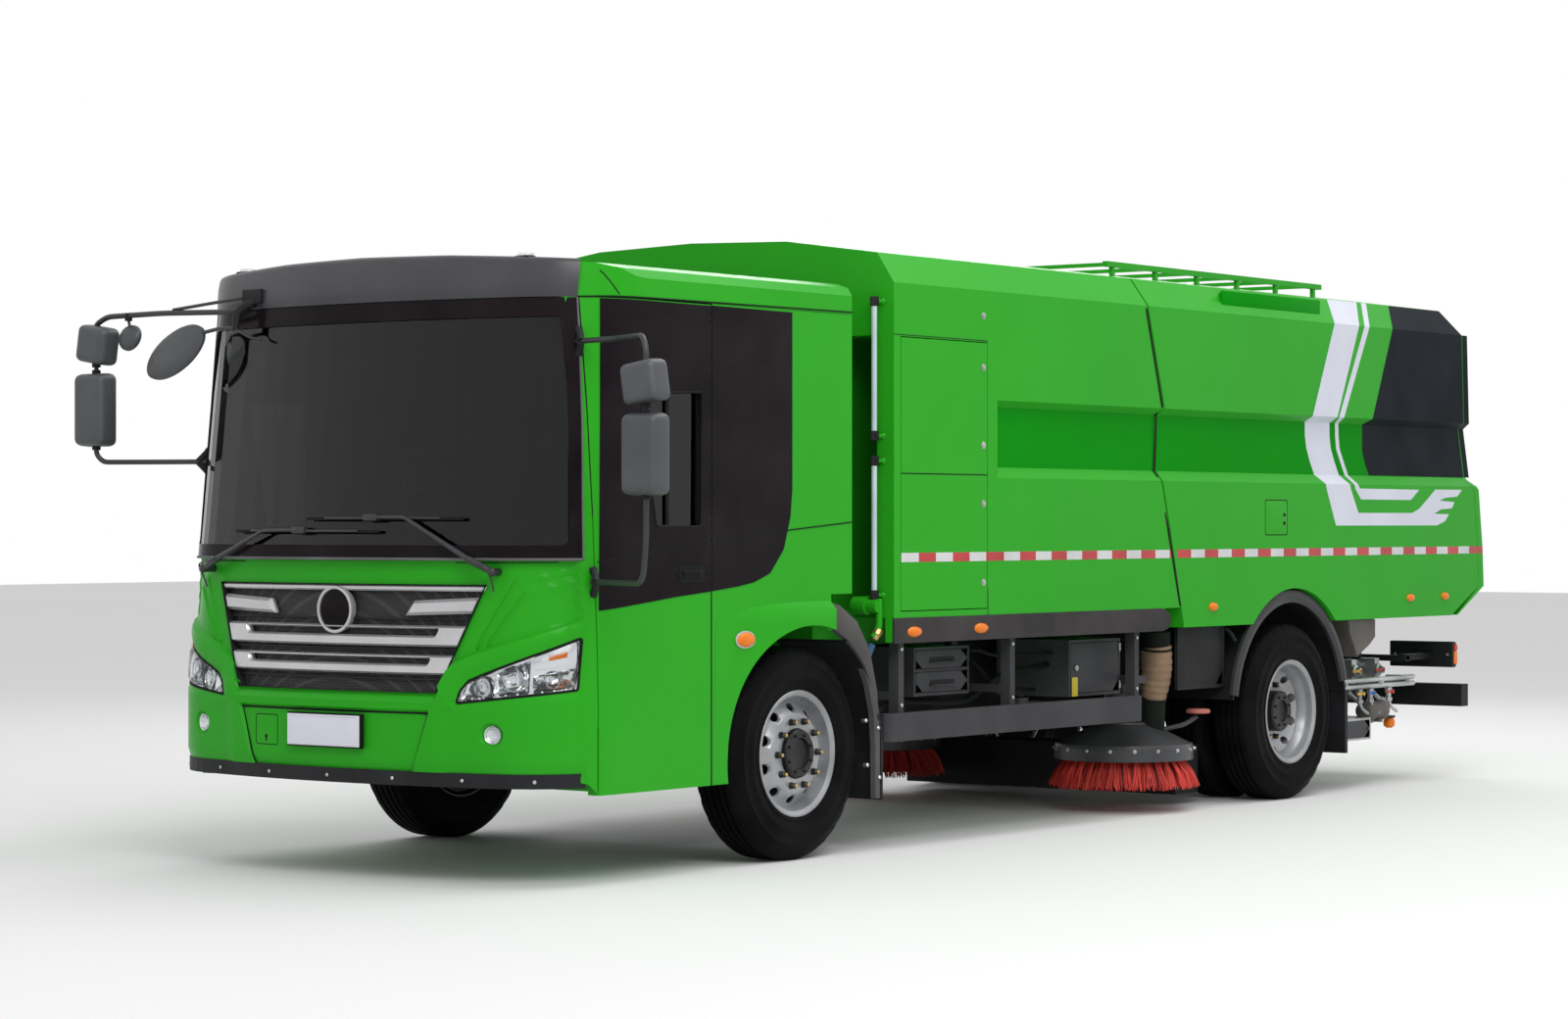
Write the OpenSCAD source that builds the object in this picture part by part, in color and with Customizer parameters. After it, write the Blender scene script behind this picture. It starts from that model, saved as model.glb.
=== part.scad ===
// Street sweeper truck: low-entry electric chassis with a water tank, a tipping
// waste hopper, two side disc brushes and a wide suction nozzle between the axles.
// X points forward, Y to the vehicle's left, Z up; the ground is Z = 0.

/* [Overall] */
// Length from number plate to hopper tail
overall_len = 9200; // [8400:10:10600]
// Width over the tank and hopper sides
body_w = 2500; // [2300:10:2550]
// Distance between the axles
wheelbase = 4740; // [4500:10:5600]
// Distance from the front end to the front axle
front_overhang = 1990; // [1900:10:2100]
// Height of the tank roof's centre line
body_top_z = 3010; // [2800:10:3300]

/* [Cab] */
// Width over the cab sides
cab_w = 2470; // [2250:10:2500]
// Length from the front end to the cab's rear wall
cab_len = 2350; // [2300:10:2400]
// Height of the cab roof's centre line
cab_top_z = 2785; // [2700:5:2850]
// Thickness of the cab walls and doors
cab_wall = 60; // [40:5:80]
// Height of the low entry floor's top
cab_floor_z = 760; // [700:10:800]
// Lower edge of the doors
door_bottom_z = 400; // [360:10:450]
// Length of each cab door
door_len = 790; // [700:10:820]
// Upper edge of the doors and windscreen
door_top_z = 2590; // [2500:10:2620]
// Lower edge of the windscreen
screen_bottom_z = 1435; // [1380:5:1480]
// Lean of the front above the bumper, in degrees
front_lean = 6.8; // [3:0.1:8]

/* [Wheels] */
// Outer radius of the tyres
tyre_r = 505; // [480:5:530]
// Width of one tyre
tyre_w = 275; // [255:5:295]
// Radius of the rim flange
rim_r = 298; // [280:2:300]
// Outer face of the front tyres from the centre line
front_tyre_face = 1190; // [1150:5:1200]
// Outer face of the rear tyres from the centre line
rear_tyre_face = 1235; // [1200:5:1245]
// Free gap between the twin rear tyres
twin_gap = 40; // [30:5:60]
// Distance of the kingpins from the centre line
kingpin_y = 925; // [900:5:930]

/* [Chassis] */
// Width over the frame rails
frame_w = 865; // [800:5:900]
// Height of one frame rail
rail_h = 270; // [220:5:280]
// Top of the frame rails
rail_top_z = 975; // [960:5:980]

/* [Tank and hopper] */
// Gap between the cab and the water tank
tank_gap = 330; // [300:10:360]
// Length of the water tank along its roof
tank_len = 2395; // [2300:5:2600]
// Wall of the hopper
hopper_wall = 50; // [40:5:60]
// Lower edge of the hopper
hopper_bottom_z = 1020; // [1010:5:1040]
// Gap between the tank and the hopper
split_gap = 16; // [12:1:24]
// Thickness of the hopper's rear door
tail_t = 70; // [60:5:80]
// Distance of the tipping pin from the hopper's tail
tip_back = 500; // [450:10:540]
// Radius of the tipping pin
tip_pin_r = 25; // [20:1:30]

/* [Brushes] */
// Radius over the bristles
brush_r = 420; // [380:5:430]
// Distance of the brushes from the centre line
brush_y = 850; // [830:5:870]
// Height of the raised bristle tips
brush_tip_z = 130; // [110:5:140]
// Distance of the brushes ahead of the rear axle
brush_ahead = 1240; // [1200:5:1260]

/* [Hidden] */
$fn = 64;

front_x = overall_len / 2;
rear_x = -overall_len / 2;
front_axle_x = front_x - front_overhang;
rear_axle_x = front_axle_x - wheelbase;
half_w = body_w / 2;
gap = 5;

// Cab layout
cab_half = cab_w / 2;
cab_rear_x = front_x - cab_len;
nose_x = front_x - 20;
nose_r = 3970;
corner_r = 440;
corner_y = cab_half - corner_r;
corner_x = nose_x - nose_r + sqrt(pow(nose_r - corner_r, 2) - pow(corner_y, 2));
corner_a = asin(corner_y / (nose_r - corner_r));
lean_z = 820;
door_front_x = front_x - 460;
door_rear_x = door_front_x - door_len;
arch_r = 620;
arch_z = tyre_r - 15;
arch_rear_z = 1255;
platform_z = 1190;
bumper_bottom_z = 500;
screen_t = 8;
roof_edge_z = cab_top_z - 45;
riser_x = front_axle_x + 700;
seat_y = 560;

// Body layout
tank_front_x = cab_rear_x - tank_gap;
tank_rear_x = tank_front_x - tank_len;
body_shoulder_z = body_top_z - 245;
body_chamfer_z = body_top_z - 95;
chamfer_y = half_w - 100;
skirt_top_z = 1130;
skirt_bottom_z = hopper_bottom_z;
belt_top_z = 2216;
belt_bottom_z = 1821;
belt_in = 45;
service_x0 = tank_front_x - 57;
service_x1 = tank_front_x - 829;
service_z1 = body_top_z - 505;
service_deep = 420;
skin_t = 30;
floor_z = rail_top_z + 4;
tip_x = rear_x + tip_back;
tip_z = rail_top_z - 15;

// Rails
rail_y = frame_w / 2;
rail_flange = 80;
rail_web = 10;
rail_bottom_z = rail_top_z - rail_h;
frame_front_x = front_x - 260;
frame_rear_x = tip_x - 60;

// Tipping cylinders
cyl_y = 290;
cyl_r = 46;
rod_r = 28;
cyl_base_x = rear_axle_x + 380;
cyl_base_z = 700;
cyl_top_x = tip_x + 1100;
cyl_top_z = hopper_bottom_z - 50;
cyl_len = sqrt(pow(cyl_base_x - cyl_top_x, 2) + pow(cyl_top_z - cyl_base_z, 2));
cyl_a = atan2(cyl_top_z - cyl_base_z, cyl_base_x - cyl_top_x);

// Brushes
brush_x = rear_axle_x + brush_ahead;
brush_top_z = brush_tip_z + 200;
arm_pivot_x = brush_x + 560;
arm_pivot_y = rail_y + 90;
arm_z = 590;
arm_lean = 0.12;
arm_post_r = 25;

// Suction gear
nozzle_x0 = rear_axle_x + tyre_r + 40;
nozzle_x1 = brush_x - brush_r - 25;
duct_x = (nozzle_x0 + nozzle_x1) / 2;
duct_y = rail_y + 110;
duct_r = 100;
duct_wall = 12;
guard_in_y = duct_y + duct_r + 7.5;

// ---- Helpers -------------------------------------------------------------

// Box between two corners, each given as [low, high] along X, Y and Z
module span(x, y, z) {
    translate([min(x), min(y), min(z)])
        cube([abs(x[1] - x[0]), abs(y[1] - y[0]), abs(z[1] - z[0])]);
}

// Plate whose outline lies in the XZ plane, between two Y values
module side_plate(points, y0, y1) {
    translate([0, y1, 0])
        rotate([90, 0, 0])
            linear_extrude(y1 - y0)
                polygon(points);
}

// Plate whose outline lies in the YZ plane, between two X values
module cross_plate(points, x0, x1) {
    translate([x0, 0, 0])
        rotate([90, 0, 90])
            linear_extrude(x1 - x0)
                polygon(points);
}

// Cylinder along Y, centred on one XZ point
module y_rod(x, z, r, y0, y1) {
    translate([x, y1, z])
        rotate([90, 0, 0])
            cylinder(r = r, h = y1 - y0);
}

module both_sides() {
    children();
    mirror([0, 1, 0]) children();
}

// Points of a horizontal arc, from angle a0 to a1 in n steps
function arc(cx, cy, r, a0, a1, n) =
    [for (i = [0:n]) [cx + r * cos(a0 + (a1 - a0) * i / n), cy + r * sin(a0 + (a1 - a0) * i / n)]];

// Cab plan outline: flat sides, round corners and a gently bowed nose
function cab_plan(inset) = concat(
    [[cab_rear_x + inset, -cab_half + inset]],
    arc(corner_x, -corner_y, corner_r - inset, -90, -corner_a, 9),
    arc(nose_x - nose_r, 0, nose_r - inset, -corner_a, corner_a, 12),
    arc(corner_x, corner_y, corner_r - inset, corner_a, 90, 9),
    [[cab_rear_x + inset, cab_half - inset]]
);

// Solid with the cab's plan between two heights
module cab_block(inset, z0, z1) {
    translate([0, 0, z0])
        linear_extrude(z1 - z0)
            polygon(cab_plan(inset));
}

// The same solid, leaning back about the bumper's top edge
module leaning_block(inset, z0, z1) {
    translate([nose_x, 0, lean_z])
        rotate([0, -front_lean, 0])
            translate([-nose_x, 0, -lean_z])
                cab_block(inset, z0, z1);
}

// ---- Chassis -------------------------------------------------------------

module rail() {
    difference() {
        span([frame_rear_x, riser_x - gap], [rail_y - rail_flange, rail_y], [rail_bottom_z, rail_top_z]);
        span([frame_rear_x - 1, riser_x], [rail_y - rail_flange - 1, rail_y - rail_web],
             [rail_bottom_z + rail_web, rail_top_z - rail_web]);
    }
}

low_top_z = cab_floor_z - 70;
battery_rear_x = cab_rear_x - 1250;

module cross_member(x, w = 90) {
    span([x - w / 2, x + w / 2], [-rail_y + rail_web, rail_y - rail_web],
         [rail_bottom_z + rail_web + 40, rail_top_z - rail_web - 60]);
}

tow_x = frame_front_x + 40;
tow_y = -410;
tow_z = 655;
tow_r = 25;

// Frame of the leaning post that a brush arm swings about
module on_arm_post() {
    translate([arm_pivot_x, arm_pivot_y, arm_z])
        rotate(a = atan(arm_lean * sqrt(2)), v = [-1, 1, 0])
            children();
}

module chassis_frame() {
    color("#2b2b2e") {
        difference() {
            union() {
                both_sides() rail();
                for (x = [riser_x - 250, cab_rear_x - 150, battery_rear_x - 60, cyl_base_x + 90, frame_rear_x + 150])
                    cross_member(x);
                // Low front section that carries the entry floor
                both_sides()
                    span([riser_x - 180, frame_front_x], [rail_y - rail_flange, rail_y],
                         [rail_bottom_z - 140, low_top_z]);
                both_sides()
                    span([riser_x - 180, riser_x - gap], [rail_y - rail_flange, rail_y], [low_top_z - 1, rail_bottom_z + 1]);
                // Front cross beam with the towing socket
                span([frame_front_x - 80, frame_front_x], [-760, 760], [rail_bottom_z - 140, rail_bottom_z - 10]);
                translate([tow_x - 60, tow_y, tow_z])
                    rotate([0, 90, 0])
                        cylinder(r = tow_r + 14, h = 100);
                // Pivot brackets for the hopper
                both_sides()
                    side_plate([[tip_x - 60, rail_top_z - 40], [tip_x - 60, tip_z + 5], [tip_x - 30, tip_z + 42],
                                [tip_x + 30, tip_z + 42], [tip_x + 150, rail_top_z - 40]],
                               rail_y - 30, rail_y);
                // Base brackets for the tipping cylinders
                both_sides()
                    span([cyl_base_x - 40, cyl_base_x + 40], [cyl_y - 70, cyl_y - 52],
                         [cyl_base_z - 45, rail_bottom_z + 160]);
                both_sides()
                    span([cyl_base_x - 40, cyl_base_x + 40], [cyl_y + 52, rail_y - rail_web + 1],
                         [cyl_base_z - 45, rail_bottom_z + 60]);
                // Side brackets for the swinging brush arms
                both_sides() {
                    span([arm_pivot_x - 50, arm_pivot_x + 70], [rail_y - 2, arm_pivot_y + 55],
                         [arm_z + 84, arm_z + 112]);
                    span([arm_pivot_x - 60, arm_pivot_x + 60], [rail_y - 2, rail_y + 25],
                         [arm_z + 78, rail_bottom_z + 80]);
                }
            }
            translate([tow_x - 61, tow_y, tow_z])
                rotate([0, 90, 0])
                    cylinder(r = tow_r, h = 102);
            both_sides() y_rod(tip_x, tip_z, tip_pin_r + 0.05, rail_y - 31, rail_y + 1);
            both_sides() y_rod(cyl_base_x, cyl_base_z, 22.05, cyl_y - 71, rail_y + 1);
            both_sides()
                on_arm_post()
                    translate([0, 0, 70])
                        cylinder(r = arm_post_r + 0.05, h = 60);
        }
    }
}

// Leaf spring pack, lying along X on one side
module leaf_spring(x, y, z, len) {
    for (i = [0:3])
        side_plate([[x - len / 2 + 130 * i, z + 70 - 14 * i], [x - 100, z - 14 * i], [x + 100, z - 14 * i],
                    [x + len / 2 - 130 * i, z + 70 - 14 * i], [x + len / 2 - 130 * i, z + 83 - 14 * i],
                    [x + 100, z + 14 - 14 * i], [x - 100, z + 14 - 14 * i], [x - len / 2 + 130 * i, z + 83 - 14 * i]],
                   y - 40, y + 40);
}

module front_axle() {
    beam_z = tyre_r - 115;
    color("#2e2e31") {
        difference() {
            union() {
                cross_plate([[-kingpin_y + 55, tyre_r - 60], [-620, beam_z - 45], [620, beam_z - 45],
                             [kingpin_y - 55, tyre_r - 60], [kingpin_y - 55, tyre_r + 20], [600, beam_z + 45],
                             [-600, beam_z + 45], [-kingpin_y + 55, tyre_r + 20]],
                            front_axle_x - 45, front_axle_x + 45);
                both_sides()
                    translate([front_axle_x, kingpin_y, tyre_r - 70])
                        cylinder(r = 55, h = 140);
                both_sides() leaf_spring(front_axle_x, rail_y - 35, beam_z + 90, 1300);
                both_sides()
                    span([front_axle_x - 60, front_axle_x + 60], [rail_y - 70, rail_y], [beam_z + 40, beam_z + 60]);
            }
            both_sides()
                translate([front_axle_x, kingpin_y, tyre_r - 71])
                    cylinder(r = 22.05, h = 142);
        }
    }
}

module rear_axle() {
    spring_y = min(rail_y + 87.5, 600);
    color("#2e2e31") {
        y_rod(rear_axle_x, tyre_r, 85, -860, 860);
        translate([rear_axle_x, 0, tyre_r])
            sphere(r = 215);
        translate([rear_axle_x, 0, tyre_r])
            rotate([0, 90, 0])
                cylinder(r = 110, h = 330);
        both_sides() y_rod(rear_axle_x, tyre_r, 55, 850, 1040);
        both_sides() leaf_spring(rear_axle_x, spring_y, tyre_r + 142, 2 * tyre_r + 90);
        both_sides()
            span([rear_axle_x - 70, rear_axle_x + 70], [spring_y - 45, spring_y + 45], [tyre_r + 60, tyre_r + 102]);
    }
}

module drive_motor() {
    color("#4a4c50") {
        translate([rear_axle_x + 1750, 0, rail_bottom_z + 30])
            rotate([0, 90, 0])
                cylinder(r = 210, h = 700, center = true);
        // Propeller shaft to the rear axle
        translate([rear_axle_x + 342, 0, tyre_r])
            rotate([0, 90 - atan2(rail_bottom_z + 30 - tyre_r, 1070), 0])
                cylinder(r = 45, h = 1090);
    }
}

module battery_pack() {
    color("#3a3c40")
        span([battery_rear_x, cab_rear_x - 250], [-330, 330], [rail_bottom_z - 210, rail_top_z - 90]);
}

// ---- Cab -----------------------------------------------------------------

// Cab side surface: upright, but cut back by the leaning corners near the top
module cab_hull(inset, z0, z1) {
    intersection() {
        cab_block(inset, z0, z1);
        leaning_block(inset, z0 - 600, z1 + 600);
    }
}

module wheel_arches() {
    both_sides() {
        y_rod(front_axle_x, arch_z, arch_r, 560, half_w + 50);
        span([cab_rear_x - 10, front_axle_x - 190], [560, half_w + 50], [200, arch_rear_z]);
    }
}

module cab_walls() {
    difference() {
        cab_block(0, door_bottom_z, door_top_z);
        cab_block(cab_wall, door_bottom_z - 1, door_top_z + 1);
        span([door_rear_x, front_x], [-half_w, half_w], [0, door_top_z + 1]);
        span([cab_rear_x - 10, riser_x], [-half_w + 200, half_w - 200], [0, platform_z - 60]);
    }
}

module cab_roof() {
    hw = cab_half;
    difference() {
        intersection() {
            leaning_block(0, door_top_z - 200, cab_top_z + 600);
            cross_plate([[-hw, door_top_z + 2], [hw, door_top_z + 2], [hw, roof_edge_z - 60], [hw - 25, roof_edge_z - 20],
                         [hw - 85, roof_edge_z], [500, cab_top_z - 8], [0, cab_top_z], [-500, cab_top_z - 8],
                         [-hw + 85, roof_edge_z], [-hw + 25, roof_edge_z - 20], [-hw, roof_edge_z - 60]],
                        cab_rear_x, nose_x);
        }
        intersection() {
            leaning_block(cab_wall, door_top_z - 300, cab_top_z + 300);
            span([cab_rear_x + cab_wall, nose_x], [-hw + cab_wall, hw - cab_wall], [door_top_z - 10, cab_top_z - 70]);
        }
    }
}

module front_pillars() {
    intersection() {
        difference() {
            cab_hull(0, cab_floor_z - 60, door_top_z + 3);
            cab_hull(125, 0, door_top_z + 4);
        }
        span([door_front_x + gap, door_front_x + 50], [-half_w, half_w], [0, door_top_z + 3]);
    }
}

module cab_floor() {
    intersection() {
        cab_block(cab_wall + 3 * gap, 0, door_top_z);
        leaning_block(cab_wall + 3 * gap, 0, door_top_z);
        union() {
            span([riser_x, front_x - 210], [-half_w, half_w], [cab_floor_z - 60, cab_floor_z]);
            span([riser_x, riser_x + 50], [-half_w, half_w], [cab_floor_z - 60, platform_z]);
            span([front_x - 260, front_x - 210], [-half_w, half_w], [cab_floor_z - 60, screen_bottom_z - 100]);
        }
    }
    span([cab_rear_x, door_rear_x - 10], [-cab_half + 10, cab_half - 10], [platform_z - 60, platform_z]);
}

module door_steps() {
    both_sides() {
        span([door_rear_x + 20, door_front_x - 70], [860, cab_half - cab_wall - 3 * gap], [door_bottom_z + 10, door_bottom_z + 50]);
        span([door_rear_x + 20, door_front_x - 70], [820, 862], [door_bottom_z + 10, cab_floor_z - 30]);
    }
}

module cab_shell() {
    color("#30a02a") {
        difference() {
            union() {
                cab_walls();
                cab_roof();
                front_pillars();
                cab_floor();
                door_steps();
                // Roof side rails above the doors
                intersection() {
                    cab_hull(0, door_top_z + 2, roof_edge_z - 60);
                    both_sides()
                        span([door_rear_x - 10, door_front_x + 50], [cab_half - cab_wall, cab_half],
                             [door_top_z + 2, roof_edge_z - 60]);
                }
            }
            wheel_arches();
        }
    }
}

module front_skin(z0, z1) {
    if (z0 < lean_z)
        difference() {
            cab_block(0, z0, lean_z + 1);
            cab_block(cab_wall, z0 - 1, lean_z + 2);
        }
    intersection() {
        difference() {
            leaning_block(0, lean_z - 100, z1 + 200);
            leaning_block(cab_wall, lean_z - 200, z1 + 300);
        }
        span([cab_rear_x, front_x], [-half_w, half_w], [lean_z, z1]);
    }
}

plate_w = 440;
plate_z = 667;
grille_top_z = 1320;
grille_bottom_z = 870;
grille_top_y = 820;
grille_bottom_y = 650;

module grille_prism(grow, x0, x1) {
    cross_plate([[-grille_bottom_y - grow, grille_bottom_z - grow], [grille_bottom_y + grow, grille_bottom_z - grow],
                 [grille_top_y + grow, grille_top_z + grow], [-grille_top_y - grow, grille_top_z + grow]], x0, x1);
}

// Wedge seen from the front: narrow inboard, tall outboard
module lamp_prism(grow, x0, x1) {
    both_sides()
        cross_plate([[720 - grow, 790 - grow], [1190 + grow, 850 - grow], [1215 + grow, 1090 + grow],
                     [1100, 1075 + grow], [745 - grow, 850 + grow]], x0, x1);
}

module cab_front() {
    color("#2ea028")
        difference() {
            union() {
                intersection() {
                    front_skin(bumper_bottom_z, screen_bottom_z - gap);
                    span([door_front_x + 50 + gap, front_x], [-half_w, half_w], [0, 2000]);
                }
                // Number plate and its backing
                span([nose_x - 30, front_x], [-plate_w / 2, plate_w / 2], [plate_z - 70, plate_z + 70]);
            }
            grille_prism(0, front_x - 400, front_x + 10);
            lamp_prism(0, door_front_x + 60, front_x + 10);
            translate([front_x - 200, tow_y, tow_z])
                rotate([0, 90, 0])
                    cylinder(r = tow_r + 20, h = 300);
        }
}

// Black strip under the bumper
module front_valance() {
    color("#1b1c1e")
        intersection() {
            difference() {
                cab_block(14, bumper_bottom_z - 65, bumper_bottom_z - 1);
                cab_block(14 + cab_wall, bumper_bottom_z - 66, bumper_bottom_z);
            }
            span([door_front_x + 50 + gap, front_x], [-half_w, half_w], [0, bumper_bottom_z]);
        }
}

module grille() {
    color("#151617")
        intersection() {
            difference() {
                leaning_block(8, lean_z - 100, grille_top_z + 200);
                leaning_block(38, lean_z - 200, grille_top_z + 300);
            }
            grille_prism(-4, front_x - 400, front_x);
        }
}

module front_lamps() {
    color("#d8dde0")
        intersection() {
            union() {
                intersection() {
                    difference() {
                        leaning_block(6, lean_z - 100, 1300);
                        leaning_block(56, lean_z - 200, 1400);
                    }
                    span([door_front_x + 60 + gap, front_x], [-half_w, half_w], [lean_z, 1200]);
                }
                difference() {
                    cab_block(6, 700, lean_z + 1);
                    cab_block(56, 600, lean_z + 2);
                }
            }
            lamp_prism(-4, door_front_x + 60 + gap, front_x);
        }
}

module windscreen() {
    color("#26292c")
        intersection() {
            difference() {
                leaning_block(8, screen_bottom_z - 200, door_top_z + 200);
                leaning_block(8 + screen_t, screen_bottom_z - 300, door_top_z + 300);
            }
            span([door_front_x + 50 + gap, front_x], [-half_w, half_w], [screen_bottom_z, door_top_z - 4]);
        }
}

module dashboard() {
    dash_z = screen_bottom_z - 85;
    color("#232426")
        difference() {
            intersection() {
                leaning_block(cab_wall + 30, lean_z - 300, dash_z + 300);
                side_plate([[front_x - 500, 1010], [front_x - 266, 1010], [front_x - 266, dash_z - gap],
                            [front_x - 150, dash_z], [front_x - 150, dash_z + 40], [front_x - 560, dash_z + 30],
                            [front_x - 600, dash_z - 60]],
                           -1010, 1010);
            }
            at_steering_column()
                translate([0, 0, -column_len - 10])
                    cylinder(r = column_r + 2, h = column_len + 10);
            // Knee room between the two ends
            span([front_x - 700, front_x - 330], [-300, 160], [1000, 1150]);
        }
}

column_r = 30;
column_len = 190;

module at_steering_column() {
    translate([front_x - 640, seat_y, cab_floor_z + 590])
        rotate([0, -35, 0])
            children();
}

// Round steering wheel on its slanted column
module steering_wheel() {
    color("#1c1d1f")
        at_steering_column() {
                rotate_extrude()
                    translate([215, 0])
                        circle(r = 15, $fn = 24);
                cylinder(r = 55, h = 26, center = true);
                for (a = [90, 210, 330])
                    rotate([0, 0, a])
                        translate([0, -18, -8])
                            cube([215, 36, 16]);
                translate([0, 0, -column_len])
                    cylinder(r = column_r, h = column_len);
            }
}

// One seat: pedestal, cushion, backrest and head rest
module seat(y) {
    seat_x = front_x - 1180;
    seat_w = 480;
    span([seat_x + 40, seat_x + 360], [y - 160, y + 160], [cab_floor_z + 1, cab_floor_z + 330]);
    span([seat_x, seat_x + 480], [y - seat_w / 2, y + seat_w / 2], [cab_floor_z + 329, cab_floor_z + 450]);
    translate([seat_x + 90, y - seat_w / 2, cab_floor_z + 400])
        rotate([0, -12, 0])
            translate([-100, 0, 0])
                cube([120, seat_w, 620]);
    translate([seat_x + 90, y - 130, cab_floor_z + 400])
        rotate([0, -12, 0])
            translate([-90, 0, 619])
                cube([95, 260, 190]);
}

module seats() {
    color("#3a3b3d") {
        seat(seat_y);
        seat(-seat_y);
    }
}

// Door cut from the cab's own plan, with its slanted sliding window
module door_window(y0, y1) {
    side_plate([[door_front_x - 386, 1575], [door_rear_x + 77, 1575], [door_rear_x + 70, 2187], [door_front_x - 260, 2169]],
               y0, y1);
}

module door_panel_left() {
    difference() {
        intersection() {
            difference() {
                cab_hull(0, door_bottom_z, door_top_z - gap);
                cab_hull(cab_wall, door_bottom_z - 1, door_top_z);
            }
            span([door_rear_x + gap, door_front_x], [0, half_w], [0, 3000]);
        }
        door_window(cab_half - 200, cab_half + 20);
    }
}

module door_glass_left() {
    side_plate([[door_front_x - 391, 1580], [door_rear_x + 82, 1580], [door_rear_x + 75, 2182], [door_front_x - 266, 2164]],
               cab_half - 34, cab_half - 26);
}

module door_left() { color("#30a02a") door_panel_left(); }
module door_right() { color("#30a02a") mirror([0, 1, 0]) door_panel_left(); }
module door_left_glass() { color("#26292c") door_glass_left(); }
module door_right_glass() { color("#26292c") mirror([0, 1, 0]) door_glass_left(); }

mirror_y = 1690;
mirror_x = front_x - 190;
lug_x = door_front_x + 27;
roof_clamp_x = front_x - 200;
roof_clamp_y = 700;

// Straight round tube between two points
module tube(from, to, r) {
    d = to - from;
    translate(from)
        rotate([0, acos(d[2] / norm(d)), atan2(d[1], d[0])])
            cylinder(r = r, h = norm(d));
}

// Arm from a point near the cab to the mirror's upright tube
module mirror_arm(from, z) {
    foot = [mirror_x - 20, mirror_y, z];
    tube(from, foot, 13);
    translate(foot)
        sphere(r = 19);
}

// Clamp plate that lies against the cab's corner
module mirror_bracket(z) {
    intersection() {
        difference() {
            cab_hull(-14, z - 80, z + 80);
            cab_hull(-0.5, z - 90, z + 90);
        }
        span([lug_x - 21, lug_x + 21], [0, half_w], [z - 70, z + 70]);
    }
}

// Outer surface of the cab's leaning corner, as Y at one X and Z
function corner_face_y(x, z) =
    corner_y + sqrt(pow(corner_r, 2)
                    - pow(nose_x + (x - nose_x) * cos(front_lean) + (z - lean_z) * sin(front_lean) - corner_x, 2));

// Two mirror heads on one upright tube
module mirror_unit(z_main, z_head, z_top, z_foot) {
    span([mirror_x - 70, mirror_x + 50], [mirror_y - 105, mirror_y + 105], [z_main - 180, z_main + 180]);
    span([mirror_x - 90, mirror_x + 30], [mirror_y - 110, mirror_y + 100], [z_head - 95, z_head + 95]);
    translate([mirror_x - 20, mirror_y, z_foot])
        cylinder(r = 14, h = z_top - z_foot);
}

module mirrors() {
    left_top_z = 2400;
    left_foot_z = 1335;
    right_top_z = 2600;
    right_foot_z = 1885;
    color("#3d3f42") {
        mirror_unit(1885, 2190, left_top_z, left_foot_z);
        for (z = [left_top_z, left_foot_z]) {
            mirror_bracket(z);
            mirror_arm([lug_x, corner_face_y(lug_x, z) + 9, z], z);
        }
        mirror([0, 1, 0]) {
            mirror_unit(2135, 2447, right_top_z, right_foot_z);
            mirror_bracket(right_foot_z);
            mirror_arm([lug_x, corner_face_y(lug_x, right_foot_z) + 9, right_foot_z], right_foot_z);
            // Long upper arm along the roof's front edge, on one clamp
            mirror_arm([roof_clamp_x, roof_clamp_y, right_top_z], right_top_z);
            difference() {
                tube([roof_clamp_x, roof_clamp_y, right_top_z], [roof_clamp_x - 160, roof_clamp_y - 20, right_top_z + 20], 20);
                leaning_block(-0.5, door_top_z - 300, cab_top_z + 300);
            }
        }
    }
}

// ---- Mudguards -----------------------------------------------------------

module ring_sector(cx, cz, r0, r1, y0, y1, a0, a1) {
    side_plate(concat(arc(cx, cz, r1, a0, a1, 16), arc(cx, cz, r0, a1, a0, 16)), y0, y1);
}

module mudguards() {
    color("#333437")
        both_sides() {
            // Liner behind the front wheel, ending in a flap
            ring_sector(front_axle_x, arch_z, arch_r + 6, arch_r + 20, 800, cab_half - 15, 122, 180);
            span([front_axle_x - arch_r - 20, front_axle_x - arch_r - 6], [800, cab_half - 15], [250, arch_z + 2]);
            span([tank_front_x + 60, front_axle_x - arch_r - 6], [rail_y, 830], [arch_z + 220, arch_z + 260]);
            // Round guard over the rear wheels with its flap
            ring_sector(rear_axle_x, tyre_r, 668, 684, guard_in_y, half_w - 30, 8, 172);
            span([rear_axle_x - 700, rear_axle_x - 668], [640, half_w - 30], [230, tyre_r + 100]);
            span([rear_axle_x - 60, rear_axle_x + 60], [guard_in_y - 38, guard_in_y - 16], [rail_bottom_z + 190, tyre_r + 676]);
            span([rear_axle_x - 60, rear_axle_x + 60], [guard_in_y - 17, guard_in_y + 1], [tyre_r + 655, tyre_r + 676]);
            // Black panel between hopper and guard
            span([rear_axle_x + 664, rear_axle_x + 1180], [half_w - 110, half_w - 90], [670, hopper_bottom_z - 8]);
            span([rear_axle_x - 60, rear_axle_x + 60], [rail_y, guard_in_y - 17], [rail_bottom_z + 190, rail_bottom_z + 225]);
        }
}

// ---- Wheels --------------------------------------------------------------

// Tyre ring about the Y axis: outline in radius and Y
module tyre_ring(face_y) {
    inner = rim_r - 26;
    translate([0, face_y, 0])
        rotate([90, 0, 0])
            rotate_extrude()
                polygon([[inner, 22], [rim_r + 8, 12], [rim_r + 80, 0], [tyre_r - 60, 6], [tyre_r - 22, 22],
                         [tyre_r, 45], [tyre_r, tyre_w - 45], [tyre_r - 22, tyre_w - 22], [tyre_r - 60, tyre_w - 6],
                         [rim_r + 80, tyre_w], [rim_r + 8, tyre_w - 12], [inner, tyre_w - 22]]);
}

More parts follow.
